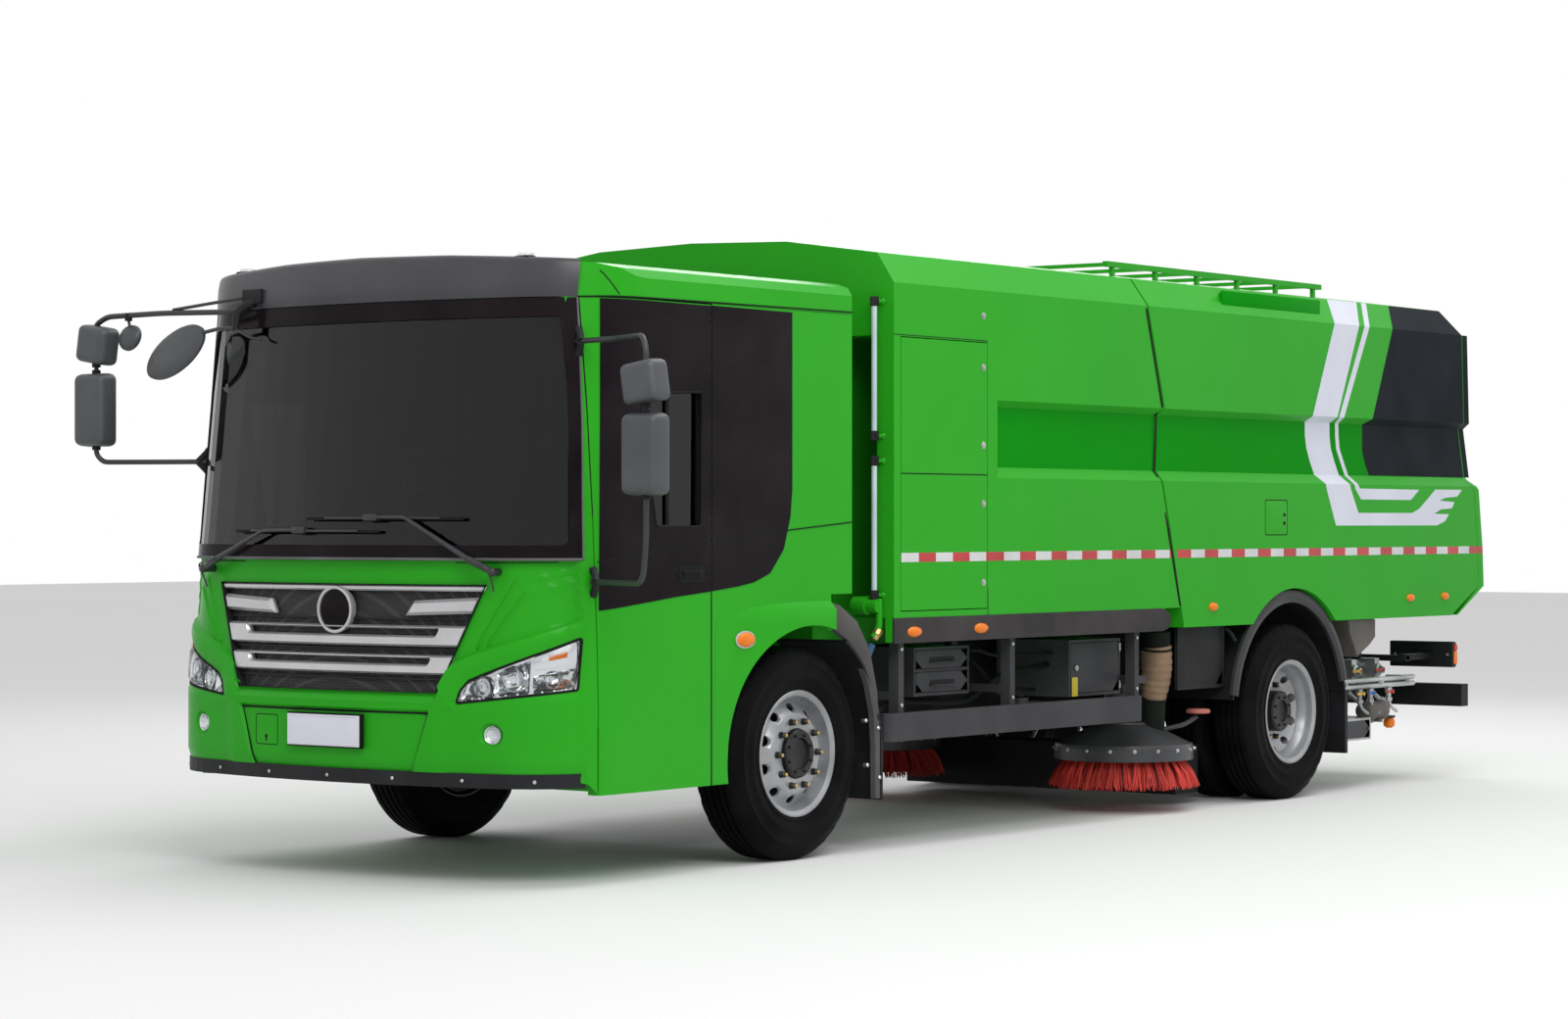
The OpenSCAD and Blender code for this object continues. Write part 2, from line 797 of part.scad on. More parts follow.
// Steel disc wheel; dish is how far the disc lies behind the outer face
module disc_rim(face_y, dish, hub_r, hub_out) {
    bead = rim_r - 26.3;
    translate([0, face_y, 0])
        rotate([90, 0, 0]) {
            rotate_extrude()
                polygon([[rim_r, 18], [rim_r - 8, 16], [bead - 14, 28], [bead - 30, 70], [bead - 30, tyre_w - 70],
                         [bead - 14, tyre_w - 28], [bead, tyre_w - 22.5], [bead, tyre_w - 60], [bead - 18, tyre_w - 80],
                         [bead - 18, 80], [bead, 60], [bead, 22], [rim_r, 22]]);
            difference() {
                rotate_extrude()
                    polygon([[90, dish - 12], [175, dish - 12], [bead - 25, dish + 60], [bead - 25, dish + 78],
                             [175, dish + 2], [90, dish + 2]]);
                for (i = [0:9])
                    rotate([0, 0, 36 * i])
                        translate([205, 0, dish - 40])
                            cylinder(r = 24, h = 140);
            }
            translate([0, 0, hub_out])
                cylinder(r = hub_r, h = dish + 60 - hub_out);
        }
}

module front_rim() { disc_rim(front_tyre_face, 62, 105, -8); }
module front_tyre() { tyre_ring(front_tyre_face); }

module twin_rims() {
    disc_rim(rear_tyre_face, 150, 118, 70);
    inner_face = rear_tyre_face - tyre_w - twin_gap;
    translate([0, 2 * inner_face - tyre_w, 0])
        mirror([0, 1, 0])
            disc_rim(inner_face, 150, 112, 100);
    y_rod(0, 0, 118, inner_face - tyre_w + 140, rear_tyre_face - 140);
}

module twin_tyres() {
    tyre_ring(rear_tyre_face);
    tyre_ring(rear_tyre_face - tyre_w - twin_gap);
}

module at_front_axle() { translate([front_axle_x, 0, tyre_r]) children(); }
module at_rear_axle() { translate([rear_axle_x, 0, tyre_r]) children(); }

module front_rim_bored() {
    difference() {
        front_rim();
        y_rod(0, 0, 40.05, 900, front_tyre_face - 40);
    }
}

module twin_rims_bored() {
    difference() {
        twin_rims();
        y_rod(0, 0, 55.05, 500, 1041);
        y_rod(0, 0, 86, 500, 861);
    }
}

module front_left_rim() { color("#c9ccd0") at_front_axle() front_rim_bored(); }
module front_right_rim() { color("#c9ccd0") at_front_axle() mirror([0, 1, 0]) front_rim_bored(); }
module front_left_tyre() { color("#1c1c1e") at_front_axle() front_tyre(); }
module front_right_tyre() { color("#1c1c1e") at_front_axle() mirror([0, 1, 0]) front_tyre(); }
module rear_left_rims() { color("#c9ccd0") at_rear_axle() twin_rims_bored(); }
module rear_right_rims() { color("#c9ccd0") at_rear_axle() mirror([0, 1, 0]) twin_rims_bored(); }
module rear_left_tyres() { color("#1c1c1e") at_rear_axle() twin_tyres(); }
module rear_right_tyres() { color("#1c1c1e") at_rear_axle() mirror([0, 1, 0]) twin_tyres(); }

// Steering knuckle: kingpin, yoke around the beam's end, stub axle and steering arm
module knuckle() {
    at_front_axle() {
        translate([0, kingpin_y, -110])
            cylinder(r = 22, h = 220);
        for (z = [-112, 76])
            translate([-50, kingpin_y - 40, z])
                cube([100, 130, 36]);
        translate([-50, kingpin_y + 62, -112])
            cube([100, 28, 224]);
        y_rod(0, 0, 40, kingpin_y + 85, front_tyre_face - 45);
        translate([-230, kingpin_y - 40, -112])
            cube([200, 50, 30]);
    }
}

module knuckle_left() { color("#3b3b3f") knuckle(); }
module knuckle_right() { color("#3b3b3f") mirror([0, 1, 0]) knuckle(); }

// ---- Tank ----------------------------------------------------------------

// Cross-section of tank and hopper: flat sides, chamfered shoulders, crowned roof
function body_section(inset, bottom) = [
    [-half_w + inset, bottom], [half_w - inset, bottom], [half_w - inset, body_shoulder_z - inset / 3],
    [chamfer_y - inset / 2, body_chamfer_z - inset], [600, body_top_z - 18 - inset], [0, body_top_z - inset],
    [-600, body_top_z - 18 - inset], [-chamfer_y + inset / 2, body_chamfer_z - inset],
    [-half_w + inset, body_shoulder_z - inset / 3]
];

// Slanted split between tank and hopper, as offsets from the tank's rear at the roof
function split_line(back) = [
    [tank_rear_x + 40 - back, body_top_z + 50], [tank_rear_x - back, body_shoulder_z - 20],
    [tank_rear_x - 165 - back, belt_top_z + 10], [tank_rear_x - 145 - back, belt_bottom_z + 5],
    [tank_rear_x - 228 - back, 1560], [tank_rear_x - 376 - back, hopper_bottom_z], [tank_rear_x - 376 - back, floor_z - 30]
];

// Long hollow along the side, with a slanted upper edge and a narrow lower ledge
module belt_cut(x0, x1) {
    both_sides()
        intersection() {
            cross_plate([[half_w - belt_in, belt_bottom_z + 55], [half_w + 1, belt_bottom_z], [half_w + 1, belt_top_z],
                         [half_w - belt_in, belt_top_z - 35]], x0, x1);
            span([x0, x1], [0, half_w + 2], [0, 3000]);
        }
}

module service_hollow() {
    span([service_x1, service_x0], [half_w - service_deep, half_w + 1], [skirt_top_z + 30, service_z1]);
}

fill_x = tank_front_x + 45;
fill_z = skirt_top_z + 60;
fill_r = 33;

module tank_body() {
    difference() {
        union() {
            intersection() {
                cross_plate(body_section(0, skirt_top_z), tank_rear_x - 500, tank_front_x);
                side_plate(concat([[tank_front_x + 1, floor_z - 30], [tank_front_x + 1, body_top_z + 50]], split_line(0)),
                           -half_w, half_w);
            }
            // Narrow lower tank on the frame
            span([tank_rear_x - 360, tank_front_x], [-760, 760], [floor_z, skirt_top_z + 1]);
            // Skirt that hangs below the panels
            both_sides()
                side_plate([[tank_front_x, skirt_top_z + 1], [tank_front_x, skirt_bottom_z - 10],
                            [tank_rear_x - 140, skirt_bottom_z - 2], [tank_rear_x - 180, skirt_bottom_z + 30],
                            [tank_rear_x - 200, skirt_top_z + 1]],
                           half_w - 50, half_w - 6);
        }
        belt_cut(tank_rear_x - 600, tank_front_x - 919);
        both_sides() service_hollow();
        // Recessed upper part of the front wall
        span([tank_front_x - 80, tank_front_x + 1], [-half_w + 100, half_w - 100], [skirt_top_z - 1, body_top_z - 500]);
    }
}

module water_tank() {
    color("#30a02a") {
        tank_body();
        // Filling coupling at the lower front corner
        y_rod(fill_x, fill_z, fill_r, half_w - 121, half_w - 60);
        y_rod(fill_x, fill_z, fill_r + 12, half_w - 200, half_w - 120);
        span([service_x0 + 10, fill_x], [half_w - 200, half_w - 120], [fill_z - 45, fill_z + 45]);
    }
}

// Side access door over the pump space, hinged along its front edge
module service_door() {
    difference() {
        span([service_x1 + gap, service_x0 - gap], [half_w - skin_t, half_w], [skirt_top_z + 30 + gap, service_z1 - gap]);
        span([service_x1, service_x0], [half_w - 3, half_w + 1], [1832, 1838]);
    }
}

module service_door_left() { color("#30a02a") service_door(); }
module service_door_right() { color("#30a02a") mirror([0, 1, 0]) service_door(); }

// ---- Hopper --------------------------------------------------------------

// Hopper's tail in side view, from the roof down to the floor
function tail_line(ahead) = [
    [rear_x + 238 + ahead, body_shoulder_z], [rear_x + 210 + ahead, belt_top_z - 10], [rear_x + 169 + ahead, 1863],
    [rear_x + 71 + ahead, 1802], [rear_x + 15 + ahead, 1431], [rear_x + ahead, 1196]
];

function hopper_outline(ahead) = concat(
    split_line(split_gap),
    [[rear_x + 376 + ahead, floor_z - 30], [rear_x + 376 + ahead, hopper_bottom_z]],
    [for (i = [5:-1:0]) tail_line(ahead)[i]],
    [[rear_x + 471, body_top_z - 40], [rear_x + 520, body_top_z + 50]]
);

hopper_arch_r = 712;
hopper_arch_y = 600;

module hopper() {
    w = hopper_wall;
    color("#30a02a")
        difference() {
            union() {
                intersection() {
                    cross_plate(body_section(0, hopper_bottom_z), rear_x, tank_rear_x + 100);
                    side_plate(hopper_outline(tail_t + gap), -half_w, half_w);
                }
                // Lugs for the tipping pins, outside the frame
                both_sides()
                    span([tip_x - 70, tip_x + 70], [rail_y + 6, rail_y + 46], [tip_z - 60, hopper_bottom_z + 5]);
                both_sides() y_rod(tip_x, tip_z, tip_pin_r, rail_y - 30, rail_y + 40);
                // Lugs for the rods' eyes
                both_sides() {
                    span([cyl_top_x - 40, cyl_top_x + 40], [cyl_y - 42, cyl_y - 30], [cyl_top_z - 40, hopper_bottom_z + 5]);
                    span([cyl_top_x - 40, cyl_top_x + 40], [cyl_y + 30, cyl_y + 42], [cyl_top_z - 40, hopper_bottom_z + 5]);
                }
            }
            // Inside
            difference() {
                intersection() {
                    cross_plate(body_section(w + 10, hopper_bottom_z + w), rear_x - 10, tank_rear_x + 100);
                    side_plate([[tank_rear_x - 60 - w, body_top_z], [tank_rear_x - 190 - w, belt_top_z],
                                [tank_rear_x - 260 - w, 1560], [tank_rear_x - 400 - w, hopper_bottom_z + w],
                                [rear_x - 10, hopper_bottom_z + w], [rear_x - 10, body_shoulder_z - w],
                                [rear_x + 480, body_top_z - 50]],
                               -half_w + w, half_w - w);
                }
                both_sides() y_rod(rear_axle_x, tyre_r, hopper_arch_r + w, hopper_arch_y - w, half_w + 1);
            }
            // Way in from the suction duct
            translate([duct_x, -duct_y, hopper_bottom_z - 1])
                cylinder(r = duct_r - duct_wall, h = w + 2);
            belt_cut(rear_x - 50, tank_rear_x + 100);
            // Arches over the rear wheels
            both_sides() y_rod(rear_axle_x, tyre_r, hopper_arch_r, hopper_arch_y, half_w + 1);
        }
}

module hopper_roof_rack() {
    rack_x0 = tank_rear_x - 75;
    rack_x1 = tank_rear_x - 2535;
    rack_y = 950;
    top = body_top_z;
    color("#2f9e2a") difference() {
        union() {
            both_sides() span([rack_x1, rack_x0], [rack_y - 30, rack_y], [top - 15, top + 15]);
            for (i = [0:5]) {
                bar_x = rack_x0 - 60 - i * 460;
                both_sides() span([bar_x - 30, bar_x], [rack_y - 25, rack_y - 5], [top - 76, top - 14]);
                span([bar_x - 30, bar_x], [-rack_y, rack_y], [top - 8, top + 12]);
            }
        }
        cross_plate(body_section(-0.5, hopper_bottom_z), rack_x1 - 10, rack_x0 + 10);
    }
}

module hopper_rear_door() {
    color("#30a02a")
        difference() {
            intersection() {
                cross_plate(body_section(0, hopper_bottom_z), rear_x, tank_rear_x);
                side_plate(concat(tail_line(0), [[rear_x + 376 - gap, hopper_bottom_z + 1]],
                                  [[rear_x + 376, hopper_bottom_z + 1]],
                                  [for (i = [5:-1:0]) tail_line(tail_t)[i]]),
                           -half_w, half_w);
            }
            belt_cut(rear_x - 50, rear_x + 600);
        }
}

// ---- Tipping cylinders ---------------------------------------------------

module along_cylinder() {
    both_sides()
        translate([cyl_base_x, cyl_y, cyl_base_z])
            rotate([0, -90 + cyl_a, 0])
                children();
}

module tip_cylinders() {
    color("#2b2c30")
        along_cylinder() {
            difference() {
                union() {
                    translate([0, 0, 30])
                        cylinder(r = cyl_r, h = cyl_len - 130);
                    translate([0, 45, 0])
                        rotate([90, 0, 0])
                            cylinder(r = 38, h = 90);
                }
                translate([0, 0, 60])
                    cylinder(r = rod_r + 0.05, h = cyl_len);
            }
            translate([0, 70, 0])
                rotate([90, 0, 0])
                    cylinder(r = 22, h = 140);
        }
}

module tip_rods() {
    color("#c8ccd0")
        along_cylinder() {
            translate([0, 0, 62])
                cylinder(r = rod_r, h = cyl_len - 90);
            difference() {
                translate([0, 25, cyl_len])
                    rotate([90, 0, 0])
                        cylinder(r = 38, h = 50);
                translate([0, 26, cyl_len])
                    rotate([90, 0, 0])
                        cylinder(r = 16, h = 52);
            }
        }
}

// ---- Side equipment ------------------------------------------------------

guard_front_x = tank_front_x + 30;
guard_rear_x = brush_x + 470;
guard_z0 = 528;
guard_z1 = 665;

module side_guards() {
    color("#4a4b4f")
        both_sides() {
            span([guard_rear_x, guard_front_x - 30], [half_w - 42, half_w - 4], [guard_z0, guard_z1]);
            translate([guard_front_x - 30, half_w - 42, guard_z0])
                cylinder(r = 38, h = guard_z1 - guard_z0);
            for (x = [tank_front_x - 100, tank_front_x - 1100, guard_rear_x + 10])
                span([x - 45, x], [half_w - 100, half_w - 42], [guard_z0 + 20, skirt_bottom_z - 14]);
            for (x = [tank_front_x - 100, tank_front_x - 1100, guard_rear_x - 97])
                span([x - 45, x], [rail_y, half_w - 60], [guard_z1 + 60, guard_z1 + 100]);
            span([guard_rear_x - 142, guard_rear_x], [half_w - 100, half_w - 60], [guard_z1 + 60, guard_z1 + 100]);
        }
}

module equipment_boxes() {
    color("#54565a")
        both_sides() {
            span([tank_front_x - 950, tank_front_x - 455], [rail_y + 150, half_w - 195], [725, 968]);
            span([guard_rear_x - 92, guard_rear_x + 430], [rail_y + 165, half_w - 195], [667, 968]);
        }
}

module rear_bumper() {
    bar_x = rear_x + 100;
    color("#5a5c60") {
        span([bar_x, bar_x + 90], [-1190, 1190], [440, 580]);
        both_sides() {
            span([bar_x + 89, tip_x + 100], [rail_y + 60, rail_y + 100], [470, 550]);
            span([tip_x, tip_x + 100], [rail_y + 1, rail_y + 100], [470, rail_bottom_z + 160]);
        }
    }
}

module rear_lamps() {
    color("#a8201c")
        both_sides() {
            span([rear_x + 260, rear_x + 330], [760, 1200], [690, 850]);
            span([rear_x + 330, rear_x + 700], [1000, 1060], [740, 780]);
            span([rear_x + 640, rear_x + 700], [rail_y + 1, 1060], [735, 775]);
        }
}

// Spray pipes and valves below the hopper's tail
module rear_spray_gear() {
    color("#6b6d70")
        both_sides() {
            for (z = [650, 720])
                translate([rear_axle_x - 760, 860, z])
                    rotate([0, -90, 0])
                        cylinder(r = 22, h = 900);
            for (x = [rear_axle_x - 900, rear_axle_x - 1250, rear_axle_x - 1550])
                span([x - 60, x], [780, 960], [610, 760]);
            span([rear_axle_x - 1130, rear_axle_x - 780], [760, 1150], [290, 420]);
            span([rear_axle_x - 1000, rear_axle_x - 950], [800, 850], [419, 640]);
            for (x = [rear_axle_x - 900, rear_axle_x - 1550])
                span([x - 60, x], [rail_y + 1, 800], [700, 750]);
        }
}

// ---- Suction gear --------------------------------------------------------

module suction_nozzle() {
    color("#202124") {
        difference() {
            span([nozzle_x0, nozzle_x1], [-920, 920], [60, 330]);
            span([nozzle_x0 + 25, nozzle_x1 - 25], [-895, 895], [50, 300]);
            translate([duct_x, -duct_y, 290])
                cylinder(r = 85, h = 50);
        }
        difference() {
            translate([duct_x, -duct_y, 325])
                cylinder(r = 95, h = 60);
            translate([duct_x, -duct_y, 320])
                cylinder(r = 85, h = 70);
        }
    }
}

module suction_duct() {
    color("#2a2b2e")
        difference() {
            translate([duct_x, -duct_y, 392])
                cylinder(r = duct_r, h = hopper_bottom_z - 400);
            translate([duct_x, -duct_y, 391])
                cylinder(r = duct_r - duct_wall, h = hopper_bottom_z - 398);
        }
}

// ---- Disc brushes --------------------------------------------------------

module brush_arm() {
    color("#3a3c40") {
        // Swinging arm from its post to the brush head
        on_arm_post() {
            translate([0, 0, -55])
                cylinder(r = 2 * arm_post_r, h = 110);
            cylinder(r = arm_post_r, h = 130);
        }
        side_plate([[arm_pivot_x, arm_z - 40], [arm_pivot_x, arm_z + 30], [brush_x, arm_z], [brush_x, arm_z - 60]],
                   arm_pivot_y - 30, arm_pivot_y + 30);
        span([brush_x - 60, brush_x + 60], [arm_pivot_y - 30, brush_y], [arm_z - 60, arm_z]);
        // Hood over the bristles
        translate([brush_x, brush_y, brush_top_z + 40])
            cylinder(r1 = brush_r - 40, r2 = 150, h = 110);
        translate([brush_x, brush_y, brush_top_z + 149])
            cylinder(r = 110, h = arm_z - brush_top_z - 149 + 60);
        difference() {
            translate([brush_x, brush_y, brush_top_z - 30])
                cylinder(r = brush_r - 40, h = 71);
            translate([brush_x, brush_y, brush_top_z - 31])
                cylinder(r = brush_r - 52, h = 66);
        }
    }
}

module brush() {
    color("#c8322a")
        translate([brush_x, brush_y, brush_tip_z]) {
            difference() {
                cylinder(r1 = brush_r, r2 = brush_r - 110, h = 165);
                translate([0, 0, -1])
                    cylinder(r1 = brush_r - 130, r2 = brush_r - 210, h = 140);
            }
            translate([0, 0, 140])
                cylinder(r = brush_r - 110, h = 60);
        }
}

module brush_arm_left() { brush_arm(); }
module brush_left() { brush(); }
module brush_arm_right() { mirror([0, 1, 0]) brush_arm(); }
module brush_right() { mirror([0, 1, 0]) brush(); }

// ---- Assembly ------------------------------------------------------------

chassis_frame();
front_axle();
rear_axle();
drive_motor();
battery_pack();
cab_shell();
cab_front();
front_valance();
grille();
front_lamps();
windscreen();
dashboard();
steering_wheel();
seats();
mirrors();
mudguards();
door_left();
door_left_glass();
door_right();
door_right_glass();
knuckle_left();
knuckle_right();
front_left_rim();
front_left_tyre();
front_right_rim();
front_right_tyre();
rear_left_rims();
rear_left_tyres();
rear_right_rims();
rear_right_tyres();
water_tank();
service_door_left();
service_door_right();
hopper();
hopper_roof_rack();
hopper_rear_door();
tip_cylinders();
tip_rods();
side_guards();
equipment_boxes();
rear_bumper();
rear_lamps();
rear_spray_gear();
suction_nozzle();
suction_duct();
brush_arm_left();
brush_left();
brush_arm_right();
brush_right();
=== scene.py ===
import math
import random
import bmesh
import bpy
from mathutils import Matrix, Vector
from mathutils.geometry import delaunay_2d_cdt


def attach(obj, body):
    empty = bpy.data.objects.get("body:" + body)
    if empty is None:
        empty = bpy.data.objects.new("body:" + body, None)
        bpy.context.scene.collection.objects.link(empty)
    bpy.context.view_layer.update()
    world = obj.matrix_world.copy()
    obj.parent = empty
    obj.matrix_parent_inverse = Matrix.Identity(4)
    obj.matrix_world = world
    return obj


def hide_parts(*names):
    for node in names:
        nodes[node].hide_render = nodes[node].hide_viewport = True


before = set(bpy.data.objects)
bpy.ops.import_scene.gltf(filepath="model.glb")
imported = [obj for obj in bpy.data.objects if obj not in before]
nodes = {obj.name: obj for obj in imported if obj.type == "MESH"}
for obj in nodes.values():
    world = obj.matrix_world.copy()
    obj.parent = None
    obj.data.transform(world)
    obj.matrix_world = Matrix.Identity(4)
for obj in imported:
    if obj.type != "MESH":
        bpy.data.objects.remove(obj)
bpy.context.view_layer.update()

# ---- Camera, floor and light ---------------------------------------------
# A long lens stands at chest height, ahead of the truck and on its left.
# The floor is pale and the room is white, with one large soft lamp above.
LENS_AT = (16.290, 11.248, 1.594)
LENS_TURN = math.radians(126.577)

camera_data = bpy.data.cameras.new("camera")
camera_data.sensor_width = 36.0
camera_data.lens = 82.635
camera_data.shift_y = 0.0085
camera_data.clip_end = 200.0
camera = bpy.data.objects.new("camera", camera_data)
camera.location = LENS_AT
camera.rotation_euler = (math.radians(90), 0, LENS_TURN)
scene = bpy.context.scene
scene.collection.objects.link(camera)
scene.camera = camera
scene.view_settings.view_transform = "Standard"


def white_to_the_lens(tree, dim, bright):
    """A strength that is bright for the lens, gloss and glass, and dim as a light."""
    path = tree.nodes.new("ShaderNodeLightPath")
    seen = path.outputs["Is Camera Ray"]
    for kind in ("Is Glossy Ray", "Is Transmission Ray"):
        both = tree.nodes.new("ShaderNodeMath")
        both.operation = "ADD"
        both.use_clamp = True
        tree.links.new(seen, both.inputs[0])
        tree.links.new(path.outputs[kind], both.inputs[1])
        seen = both.outputs[0]
    level = tree.nodes.new("ShaderNodeMapRange")
    level.inputs["To Min"].default_value = dim
    level.inputs["To Max"].default_value = bright
    tree.links.new(seen, level.inputs["Value"])
    return level.outputs["Result"]


world = bpy.data.worlds.new("studio")
world.use_nodes = True
sky = world.node_tree
background = sky.nodes["Background"]
background.inputs["Color"].default_value = (1, 1, 1, 1)
sky.links.new(white_to_the_lens(sky, 0.72, 1.0), background.inputs["Strength"])
scene.world = world

FLOOR_HALF = 60.0
floor_mesh = bpy.data.meshes.new("floor")
floor_mesh.from_pydata(
    [(-FLOOR_HALF, -FLOOR_HALF, 0), (FLOOR_HALF, -FLOOR_HALF, 0), (FLOOR_HALF, FLOOR_HALF, 0),
     (-FLOOR_HALF, FLOOR_HALF, 0)],
    [], [(0, 1, 2, 3)])
floor = bpy.data.objects.new("floor", floor_mesh)
scene.collection.objects.link(floor)
concrete = bpy.data.materials.new("pale_floor")
concrete.use_nodes = True
concrete_shader = concrete.node_tree.nodes["Principled BSDF"]
concrete_shader.inputs["Roughness"].default_value = 0.7
speckle = concrete.node_tree.nodes.new("ShaderNodeTexNoise")
speckle.inputs["Scale"].default_value = 3.0
speckle_tone = concrete.node_tree.nodes.new("ShaderNodeMapRange")
speckle_tone.inputs["To Min"].default_value = 0.76
speckle_tone.inputs["To Max"].default_value = 0.80
concrete.node_tree.links.new(speckle.outputs["Fac"], speckle_tone.inputs["Value"])
concrete.node_tree.links.new(speckle_tone.outputs["Result"], concrete_shader.inputs["Base Color"])
floor_mesh.materials.append(concrete)


def soft_lamp(name, at, to, size, watts):
    """A large soft lamp that shines from one point towards another."""
    data = bpy.data.lights.new(name, "AREA")
    data.shape = "RECTANGLE"
    data.size = size[0]
    data.size_y = size[1]
    data.energy = watts
    lamp = bpy.data.objects.new(name, data)
    lamp.location = at
    lamp.rotation_euler = (Vector(to) - Vector(at)).to_track_quat("-Z", "Y").to_euler()
    scene.collection.objects.link(lamp)


soft_lamp("key_lamp", (9.0, 8.5, 9.0), (0.5, 0, 1.2), (7, 5), 620)
soft_lamp("top_lamp", (-1.0, 3.0, 9.5), (-0.5, 0.3, 1.5), (10, 4), 420)
soft_lamp("rear_lamp", (-9.0, -6.0, 7.0), (-1.0, 0, 1.4), (6, 4), 260)

# ---- Body paint ------------------------------------------------------------
# Cab, tank, hopper and doors are sheet steel, primed and sprayed bright green.
# The paint has a faint orange peel, a clear gloss, and a film of road dust low down.
PAINT_GREEN = (0.022, 0.338, 0.012)
PAINT_DEEP = (0.017, 0.300, 0.010)
ROAD_DUST = (0.16, 0.15, 0.12)


def new_finish(name):
    """An empty node material: (material, its tree, its main shader)."""
    m = bpy.data.materials.new(name)
    m.use_nodes = True
    return m, m.node_tree, m.node_tree.nodes["Principled BSDF"]


def grain(tree, scale, detail=4.0, stretch=(1, 1, 1)):
    """Noise in the object's own metres, as a value between 0 and 1."""
    where = tree.nodes.new("ShaderNodeTexCoord")
    squeeze = tree.nodes.new("ShaderNodeMapping")
    squeeze.inputs["Scale"].default_value = stretch
    noise = tree.nodes.new("ShaderNodeTexNoise")
    noise.inputs["Scale"].default_value = scale
    noise.inputs["Detail"].default_value = detail
    tree.links.new(where.outputs["Object"], squeeze.inputs["Vector"])
    tree.links.new(squeeze.outputs["Vector"], noise.inputs["Vector"])
    return noise.outputs["Fac"]


def spread(tree, value, low, high, at=(0.0, 1.0)):
    """A value stretched to run from low to high."""
    r = tree.nodes.new("ShaderNodeMapRange")
    r.inputs["From Min"].default_value = at[0]
    r.inputs["From Max"].default_value = at[1]
    r.inputs["To Min"].default_value = low
    r.inputs["To Max"].default_value = high
    tree.links.new(value, r.inputs["Value"])
    return r.outputs["Result"]


def blend_colour(tree, share, a, b):
    """Colour a where share is 0 and b where it is 1; each is a colour or a socket."""
    mix = tree.nodes.new("ShaderNodeMix")
    mix.data_type = "RGBA"
    tree.links.new(share, mix.inputs["Factor"])
    for socket, colour in (("A", a), ("B", b)):
        if isinstance(colour, tuple):
            mix.inputs[socket].default_value = (*colour, 1)
        else:
            tree.links.new(colour, mix.inputs[socket])
    return mix.outputs["Result"]


def rough_surface(tree, shader, value, strength, distance):
    """Bump from a value, in metres of height."""
    bump = tree.nodes.new("ShaderNodeBump")
    bump.inputs["Strength"].default_value = strength
    bump.inputs["Distance"].default_value = distance
    tree.links.new(value, bump.inputs["Height"])
    tree.links.new(bump.outputs["Normal"], shader.inputs["Normal"])


def times(tree, a, b):
    """One value multiplied by another."""
    product = tree.nodes.new("ShaderNodeMath")
    product.operation = "MULTIPLY"
    tree.links.new(a, product.inputs[0])
    tree.links.new(b, product.inputs[1])
    return product.outputs[0]


def low_down(tree, top):
    """1 at the ground, fading to 0 at a height of top metres."""
    where = tree.nodes.new("ShaderNodeTexCoord")
    axes = tree.nodes.new("ShaderNodeSeparateXYZ")
    tree.links.new(where.outputs["Object"], axes.inputs[0])
    return spread(tree, axes.outputs["Z"], 1.0, 0.0, (0.2, top))


def sprayed(name, colour, deep, gloss=0.24, dust_top=0.9, dust=0.05):
    """Sprayed gloss paint: slow colour drift, orange peel, dust towards the road."""
    m, tree, shader = new_finish(name)
    drift = spread(tree, grain(tree, 1.3, 2.0), 0.0, 0.55, (0.35, 0.75))
    base = blend_colour(tree, drift, colour, deep)
    dirt = times(tree, low_down(tree, dust_top), spread(tree, grain(tree, 5.0, 8.0), 0.0, dust,
                                                        (0.38, 0.72)))
    tree.links.new(blend_colour(tree, dirt, base, ROAD_DUST), shader.inputs["Base Color"])
    tree.links.new(spread(tree, grain(tree, 9.0, 6.0), gloss, gloss + 0.16), shader.inputs["Roughness"])
    rough_surface(tree, shader, grain(tree, 260.0, 2.0), 0.05, 0.0006)
    shader.inputs["Specular IOR Level"].default_value = 0.09
    shader.inputs["Coat Weight"].default_value = 0.03
    shader.inputs["Coat Roughness"].default_value = 0.08
    return m


green = sprayed("body_green_paint", PAINT_GREEN, PAINT_DEEP)


def repaint(material, *names):
    """Puts a finish on CAD nodes."""
    for name in names:
        mesh = nodes[name].data
        mesh.materials.clear()
        mesh.materials.append(material)


repaint(green, "cab_shell", "door_left", "door_right", "water_tank", "service_door_left",
        "service_door_right", "hopper", "hopper_roof_rack", "hopper_rear_door")

# ---- Cab sides: black panels, window frames, seams and handles ---------------
# A gloss black film covers the upper door and the corner behind it, round the glass.
# Doors shut on rubber seams; the flush handle sits low in the black film.
NOSE_X = 4.58
NOSE_R = 3.97
CORNER_R = 0.44
CORNER_Y = 0.795
CORNER_X = 4.0493
CORNER_TURN = 0.2272
FACE_RUN = 0.902
FACE_HALF = 0.894
SIDE_RUN = 1.493
CAB_HALF = 1.235
LEAN_FROM = 0.82
LEAN = math.radians(6.8)
SIDES = ((1, "left"), (-1, "right"))


def cab_side_y(x, z):
    """How far out the cab's side is, at a length and a height."""
    y = CAB_HALF
    if x > CORNER_X:
        y = min(y, CORNER_Y + math.sqrt(max(CORNER_R ** 2 - (x - CORNER_X) ** 2, 0)))
    back = NOSE_X + (x - NOSE_X) * math.cos(LEAN) + (z - LEAN_FROM) * math.sin(LEAN)
    if back > CORNER_X and z > LEAN_FROM:
        y = min(y, CORNER_Y + math.sqrt(max(CORNER_R ** 2 - (back - CORNER_X) ** 2, 0)))
    return y


